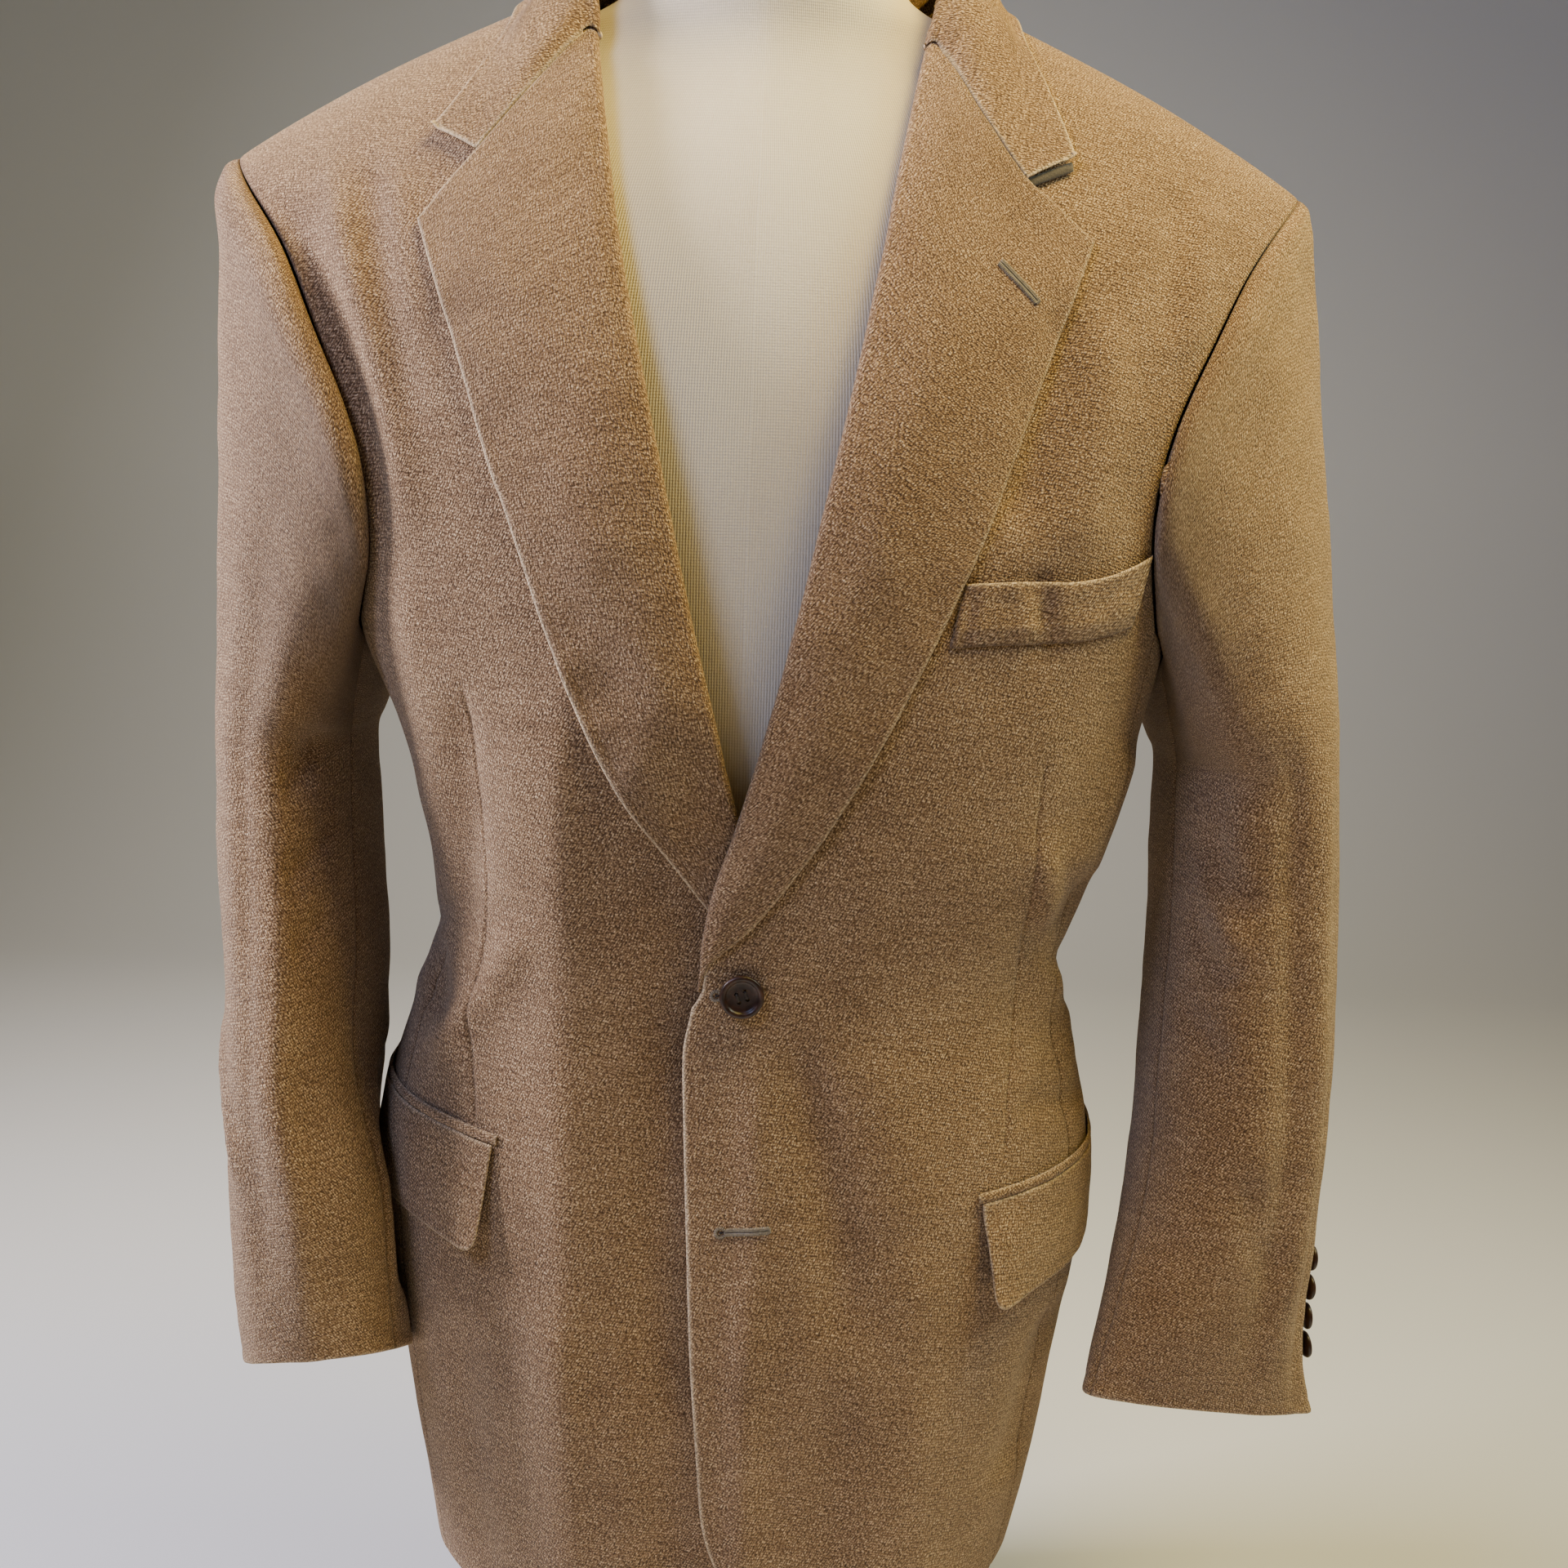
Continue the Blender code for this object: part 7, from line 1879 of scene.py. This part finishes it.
def buttonhole(name, surface, a, c, mat, eye=False, half=0.0011, count=30):
    """A worked hole: two rows of close stitches on either side of a slit, a bar at its end and, on the large one, an eye."""
    grid, normals = surface
    pile, slit = Pile(), Pile()
    a, c = np.array(a), np.array(c)
    d = (c - a) / np.linalg.norm(c - a)
    w = np.array([-d[1], d[0]])
    rng = np.random.RandomState(5)
    length = np.linalg.norm(c - a)
    put = lambda s, t: on_grid(grid, normals, *(a + d * s + w * t))
    r_eye = 0.0017 if eye else 0.0
    for row in (-1, 1):
        for i in range(count):
            s = r_eye * 1.2 + (length - r_eye * 1.2) * (i + 0.5) / count
            p, n = put(s, row * half * (1.0 + rng.uniform(-0.06, 0.06)))
            q, _ = put(s, row * (half + 0.001))
            along = unit(q - p)
            tilt = unit(np.cross(n, along)) * rng.uniform(-0.16, 0.16)
            pile.lozenge(p + n * 0.00015, unit(along + tilt), n, 0.0019, 0.00030, 0.00042)
        lips = []
        for s in np.linspace(r_eye, length, 24):
            p, n = put(s, row * half * 0.42)
            lips.append(p + n * 0.00030)
        pile.tube(lips, 0.00030)
    if eye:
        for i in range(16):
            t = math.radians(40 + 280 * i / 15)
            v = -d * math.cos(t - math.pi) * -1 if False else d * math.cos(t) + w * math.sin(t)
            p, n = on_grid(grid, normals, *(a + v * (r_eye + 0.0006)))
            q, _ = on_grid(grid, normals, *(a + v * (r_eye + 0.002)))
            pile.lozenge(p + n * 0.00015, unit(q - p), n, 0.0017, 0.00032, 0.00042)
    for i in range(5):
        p, n = put(length + 0.0002, (i - 2) * 0.00050)
        q, _ = put(length + 0.002, (i - 2) * 0.00050)
        pile.lozenge(p + n * 0.0002, unit(q - p), n, 0.0013, 0.00028, 0.0004)
    # the slit: a thin dark tube of painted shade where one sees into the cut, wider at the eye
    line = []
    for s in np.linspace(-0.2 * r_eye, length * 0.985, 20):
        p, n = put(s, 0.0)
        line.append(p + n * 0.00002)
    slit.tube(line, np.concatenate([[0.0009 if eye else 0.00018], np.full(18, 0.00036), [0.00018]]))
    joined(name + "_thread", pile.verts, pile.faces, mat[0])
    joined(name + "_slit", slit.verts, slit.faces, mat[1])


def button_mesh(radius, thick):
    """A turned four-hole button: rounded back, raised lip, dished face, holes cut through."""
    pts = [(0, 0), (0.55, 0.0), (0.80, 0.06), (0.92, 0.20), (0.985, 0.42), (1.0, 0.60), (0.985, 0.80), (0.945, 0.94), (0.885, 1.0),
           (0.820, 0.985), (0.765, 0.90), (0.730, 0.76), (0.69, 0.64), (0.60, 0.56), (0.42, 0.53), (0.2, 0.52), (0, 0.52)]
    seg = 72
    bm = bmesh.new()
    rings = []
    for r, h in pts:
        if r == 0:
            rings.append([bm.verts.new((0, 0, h * thick))])
        else:
            rings.append([bm.verts.new((r * radius * math.cos(2 * math.pi * j / seg), r * radius * math.sin(2 * math.pi * j / seg), h * thick)) for j in range(seg)])
    for lo, hi in zip(rings[:-1], rings[1:]):
        for j in range(seg):
            k = (j + 1) % seg
            if len(lo) == 1:
                bm.faces.new((lo[0], hi[k], hi[j]))
            elif len(hi) == 1:
                bm.faces.new((lo[j], lo[k], hi[0]))
            else:
                bm.faces.new((lo[j], lo[k], hi[k], hi[j]))
    bmesh.ops.recalc_face_normals(bm, faces=bm.faces)
    mesh = bpy.data.meshes.new("button_blank")
    bm.to_mesh(mesh)
    bm.free()
    blank = bpy.data.objects.new("button_blank", mesh)
    bpy.context.scene.collection.objects.link(blank)
    cut = bmesh.new()
    for sx in (-1, 1):
        for sy in (-1, 1):
            bmesh.ops.create_cone(cut, cap_ends=True, segments=20, radius1=radius * 0.098, radius2=radius * 0.098, depth=thick * 3,
                                  matrix=Matrix.Translation((sx * radius * 0.20, sy * radius * 0.20, thick * 0.4)))
    cm = bpy.data.meshes.new("holes")
    cut.to_mesh(cm)
    cut.free()
    holes = bpy.data.objects.new("holes", cm)
    bpy.context.scene.collection.objects.link(holes)
    mod = blank.modifiers.new("holes", "BOOLEAN")
    mod.object, mod.operation, mod.solver = holes, "DIFFERENCE", "EXACT"
    bpy.context.view_layer.update()
    done = bpy.data.meshes.new_from_object(blank.evaluated_get(bpy.context.evaluated_depsgraph_get()))
    verts = np.array([v.co for v in done.vertices], float)
    faces = [tuple(p.vertices) for p in done.polygons]
    for o in (blank, holes):
        bpy.data.objects.remove(o, do_unlink=True)
    return verts, faces


def frame_at(normal, turn):
    z = unit(np.asarray(normal, float))
    x = unit(np.array([1.0, 0, 0]) - z * z[0])
    y = np.cross(z, x)
    c, s = math.cos(turn), math.sin(turn)
    return np.stack([x * c + y * s, y * c - x * s, z], 1)


def button(name, node, master, radius, thick, point, normal, mats, turn=0.2, shank=0.0012):
    verts, faces = master
    m = frame_at(normal, turn)
    scale = np.array([radius, radius, thick])
    v = (verts * scale) @ m.T + np.asarray(point)
    obj = joined(name, v, faces, mats[0], True, node)
    mod = obj.modifiers.new("edges", "EDGE_SPLIT")
    mod.split_angle = math.radians(38)
    pile = Pile()
    h = radius * 0.20
    rng = np.random.RandomState(int(abs(point[0] * 1e5)) % 9973)
    for sx in (-1, 1):
        for k_ in range(3):
            o = (k_ - 1) * radius * 0.035
            path = []
            for t in np.linspace(-1, 1, 11):
                z = thick * (0.54 + 0.05 * (1 - t * t)) if abs(t) < 0.86 else thick * 0.25
                path.append(np.array([sx * h + o + rng.uniform(-1, 1) * 2e-5, t * h * 1.03, z]) @ m.T + np.asarray(point))
            pile.tube(path, radius * 0.022, 6)
    # the shank under the button
    for i in range(4):
        x0, y0 = (h if i % 2 else -h) * 0.8, (h if i // 2 else -h) * 0.8
        path = [np.array([x0 * (1 - 0.4 * t), y0 * (1 - 0.4 * t), -shank * t + thick * 0.1 * (1 - t)]) @ m.T + np.asarray(point) for t in np.linspace(0, 1, 5)]
        pile.tube(path, radius * 0.045, 6)
    joined(name + "_thread", pile.verts, pile.faces, mats[1])


def dress_form(mat):
    levels = np.concatenate([np.linspace(-0.155, -0.100, 5), np.linspace(-0.092, -0.020, 13), np.linspace(-0.005, 0.235, 14), np.linspace(0.262, 0.655, 18), [0.667, 0.677, 0.684]])
    phis = np.arange(0, 360, 7.5)
    rows = []
    for b in levels[::-1]:
        shrink = 1.0 - 0.10 * float(ease(b, 0.655, 0.69))
        rows.append([form_point(phi, b) * [shrink, shrink, 1] for phi in phis])
    rows = np.array(rows)
    pad = np.concatenate([rows[:, -4:], rows, rows[:, :5]], 1)
    g = finer(pad, np.linspace(0, len(levels) - 1, 190), 4 + np.linspace(0, len(phis), 161))
    g[:, -1] = g[:, 0]
    nr, nc = g.shape[:2]
    arc = runs(g, 1)
    mean = arc[:, -1].max()
    share = np.linspace(0, 1, nc)[None] * np.ones((nr, 1))
    uv = np.stack([share * mean, g[..., 2]], -1)
    verts = list(g[:, :-1].reshape(-1, 3))
    idx = np.arange(nr * (nc - 1)).reshape(nr, nc - 1)
    faces = []
    fuv = []
    for i in range(nr - 1):
        for j in range(nc - 1):
            k = (j + 1) % (nc - 1)
            faces.append((idx[i, j], idx[i, k], idx[i + 1, k], idx[i + 1, j]))
            fuv += [uv[i, j], uv[i, j + 1], uv[i + 1, j + 1], uv[i + 1, j]]
    # rounded closings at the neck and under the torso
    for row, z_sign, steps in ((nr - 1, 1, 7), (0, -1, 7)):
        ring_pts = g[row, :-1]
        centre = ring_pts.mean(0)
        prev = list(idx[row])
        base_z = ring_pts[0][2]
        puff = 0.010 if z_sign > 0 else 0.004
        for s in range(1, steps + 1):
            t = s / steps
            k_ = math.cos(t * math.pi / 2)
            if s < steps:
                new = []
                for p in ring_pts:
                    q = centre + (p - centre) * (0.06 + 0.94 * k_)
                    q[2] = base_z + z_sign * puff * math.sin(t * math.pi / 2)
                    new.append(len(verts))
                    verts.append(q)
            else:
                q = centre.copy()
                q[2] = base_z + z_sign * puff
                new = [len(verts)] * len(prev)
                verts.append(q)
            for j in range(len(prev)):
                k2 = (j + 1) % len(prev)
                f = (prev[j], prev[k2], new[k2], new[j]) if s < steps else (prev[j], prev[k2], new[0])
                if z_sign < 0:
                    f = f[::-1]
                faces.append(f)
                for vi in f:
                    p = verts[vi]
                    fuv.append(np.array([p[0], p[1]]))
            prev = new
    mesh = bpy.data.meshes.new("dress_form_torso")
    mesh.from_pydata([tuple(map(float, v)) for v in verts], [], [tuple(map(int, f)) for f in faces])
    layer = mesh.uv_layers.new(name="weave")
    layer.data.foreach_set("uv", np.array(fuv, np.float32).ravel())
    bm = bmesh.new()
    bm.from_mesh(mesh)
    bmesh.ops.recalc_face_normals(bm, faces=bm.faces)
    bm.to_mesh(mesh)
    bm.free()
    mesh.polygons.foreach_set("use_smooth", [True] * len(mesh.polygons))
    mesh.materials.append(mat)
    obj = bpy.data.objects.new("dress_form_torso", mesh)
    bpy.context.scene.collection.objects.link(obj)
    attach(obj, "root")
    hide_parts("form_torso")
    return obj


# ---------------------------------------------------------------- stage
def stage():
    bm = bmesh.new()
    prof = [(-3.2, 0.0), (1.6, 0.0)]
    for i in range(1, 13):
        t = math.pi / 2 * i / 12
        prof.append((1.6 + 0.9 * math.sin(t), 0.9 - 0.9 * math.cos(t)))
    prof.append((2.5, 4.2))
    rows = [[bm.verts.new((x, y, z - 0.0005)) for x in (-4.0, 4.0)] for y, z in prof]
    for a, c in zip(rows[:-1], rows[1:]):
        bm.faces.new((a[0], a[1], c[1], c[0]))
    mesh = bpy.data.meshes.new("floor_sweep")
    bm.to_mesh(mesh)
    bm.free()
    mesh.polygons.foreach_set("use_smooth", [True] * len(mesh.polygons))
    mesh.materials.append(plain("pale_floor", (0.74, 0.74, 0.73)))
    obj = bpy.data.objects.new("floor_sweep", mesh)
    bpy.context.scene.collection.objects.link(obj)


def area_light(name, place_, aim, size, power, colour):
    data = bpy.data.lights.new(name, "AREA")
    data.shape = "RECTANGLE"
    data.size, data.size_y = size
    data.energy = power
    data.color = colour
    obj = bpy.data.objects.new(name, data)
    bpy.context.scene.collection.objects.link(obj)
    d = Vector(aim) - Vector(place_)
    obj.rotation_euler = d.to_track_quat("-Z", "Y").to_euler()
    obj.location = place_
    return obj


def camera():
    data = bpy.data.cameras.new("camera")
    data.sensor_width, data.lens = 36.0, 36.0 * 1850 / 1920
    data.clip_start = 0.05
    obj = bpy.data.objects.new("camera", data)
    bpy.context.scene.collection.objects.link(obj)
    pitch, roll = math.radians(8.4), math.radians(1.9)
    ahead = Vector((0, math.cos(pitch), -math.sin(pitch)))
    up0, right0 = Vector((0, math.sin(pitch), math.cos(pitch))), Vector((1, 0, 0))
    right = right0 * math.cos(roll) + up0 * math.sin(roll)
    up = up0 * math.cos(roll) - right0 * math.sin(roll)
    m = Matrix((right, up, -ahead)).transposed().to_4x4()
    m.translation = Vector((0.0195, -0.781, 0.665))
    obj.matrix_world = m
    bpy.context.scene.camera = obj


def world():
    w = bpy.data.worlds.new("studio")
    w.use_nodes = True
    bg = w.node_tree.nodes["Background"]
    bg.inputs[0].default_value = (0.90, 0.93, 1.0, 1)
    bg.inputs[1].default_value = 0.03
    bpy.context.scene.world = w


def build():
    body, lap, sleeve_, = tweed("tweed_body"), tweed("tweed_lapel", 74.0, 0.98, 0.85, 0.9), tweed("tweed_sleeve", 60.0)
    fronts = panels(body)
    lapel_grids = lapels(lap)
    collar_piece(lap, lapel_grids)
    felt_bar(felt("felt_charcoal"))
    arms = sleeves(sleeve_)
    flaps(body)
    breast_welt(body)
    horn_mat, dark = horn("horn_dark"), thread("button_thread", (0.016, 0.010, 0.007), (0.060, 0.040, 0.028))
    pale, slit = thread("buttonhole_silk", (0.13, 0.105, 0.078), (0.33, 0.275, 0.205), 0.45), thread("slit_shadow", (0.012, 0.008, 0.006), (0.035, 0.022, 0.015), 0.5)
    master = button_mesh(1.0, 1.0)
    front = fronts["front_left"]
    fn = across(front)
    # front button on the overlapping front, standing on its shank
    p, n = on_grid(front, fn, 0.0035, SHOULDER_Z - 0.3797)
    n = unit(n + np.array([0.03, 0, 0.06]))
    button("horn_front_button", "front_button", master, 0.01015, 0.0036, p + n * 0.0017, n, (horn_mat, dark), 0.35)
    lowr = fronts["front_right"]
    p, n = on_grid(lowr, across(lowr) * -1, 0.0035, SHOULDER_Z - 0.4917)
    button("horn_front_button_lower", "front_button_lower", master, 0.01015, 0.0030, p + n * 0.0004, n, (horn_mat, dark), 0.2, 0.0003)
    buttonhole("front_buttonhole", (front, fn), (-0.0030, SHOULDER_Z - 0.4929), (0.0195, SHOULDER_Z - 0.4903), (pale, slit), True, count=34)
    buttonhole("upper_buttonhole", (front, fn), (-0.0080, SHOULDER_Z - 0.3808), (0.0130, SHOULDER_Z - 0.3790), (pale, slit), True, count=34)
    g, n = lapel_grids["left"]
    buttonhole("lapel_buttonhole", (g, n), (0.1048, SHOULDER_Z - 0.0549), (0.1215, SHOULDER_Z - 0.0714), (pale, slit), False, count=32)
    psi_cuff = dict(left=322.0, right=292.0)
    for side, key in ((1, "left"), (-1, "right")):
        g, n, psi = arms[(key, "upper")]
        for i, b in enumerate(dict(left=[0.5329, 0.5471, 0.5613, 0.5755], right=[0.5089, 0.5231, 0.5373, 0.5515])[key]):
            p0 = sleeve_ring(side, b, psi_cuff[key])
            d = np.linalg.norm(g - p0, axis=-1)
            j = np.unravel_index(np.argmin(d), d.shape)
            nn = n[j]
            p1 = p0 + nn * float((g[j] - p0) @ nn)
            button("horn_cuff_%s_%d" % (key, i + 1), "cuff_button_%s_%d" % (key, i + 1), master, 0.0068, 0.0028, p1 + nn * 0.0009, nn, (horn_mat, dark), 0.3 + 0.4 * i, 0.0006)
    dress_form(jersey("jersey_cream"))
    steel = satin_steel("satin_steel")
    for name in ("form_stem", "form_base"):
        obj = frame["nodes"][name]
        if not obj.material_slots:
            obj.data.materials.append(steel)
        for s in obj.material_slots:
            s.material = steel


build()
stage()
world()
camera()
area_light("left_key", (-1.15, -0.13, 1.18), (0.0, 0.0, 0.65), (0.32, 0.32), 33, (0.99, 0.93, 1.0))
area_light("overhead_warm", (0.42, -0.22, 1.62), (0.0, 0.0, 0.65), (0.45, 0.45), 20.4, (1.0, 0.76, 0.20))
area_light("right_side", (1.0, -0.20, 1.35), (0.0, 0.0, 0.65), (0.45, 0.45), 8.7, (0.88, 1.0, 0.80))
area_light("right_rear", (1.25, 0.10, 1.15), (0.0, 0.0, 0.65), (0.45, 0.45), 3.3, (1.0, 0.78, 0.58))
area_light("left_front", (-0.75, -0.95, 1.45), (0.0, 0.0, 0.65), (0.45, 0.45), 10.2, (0.50, 0.60, 1.0))
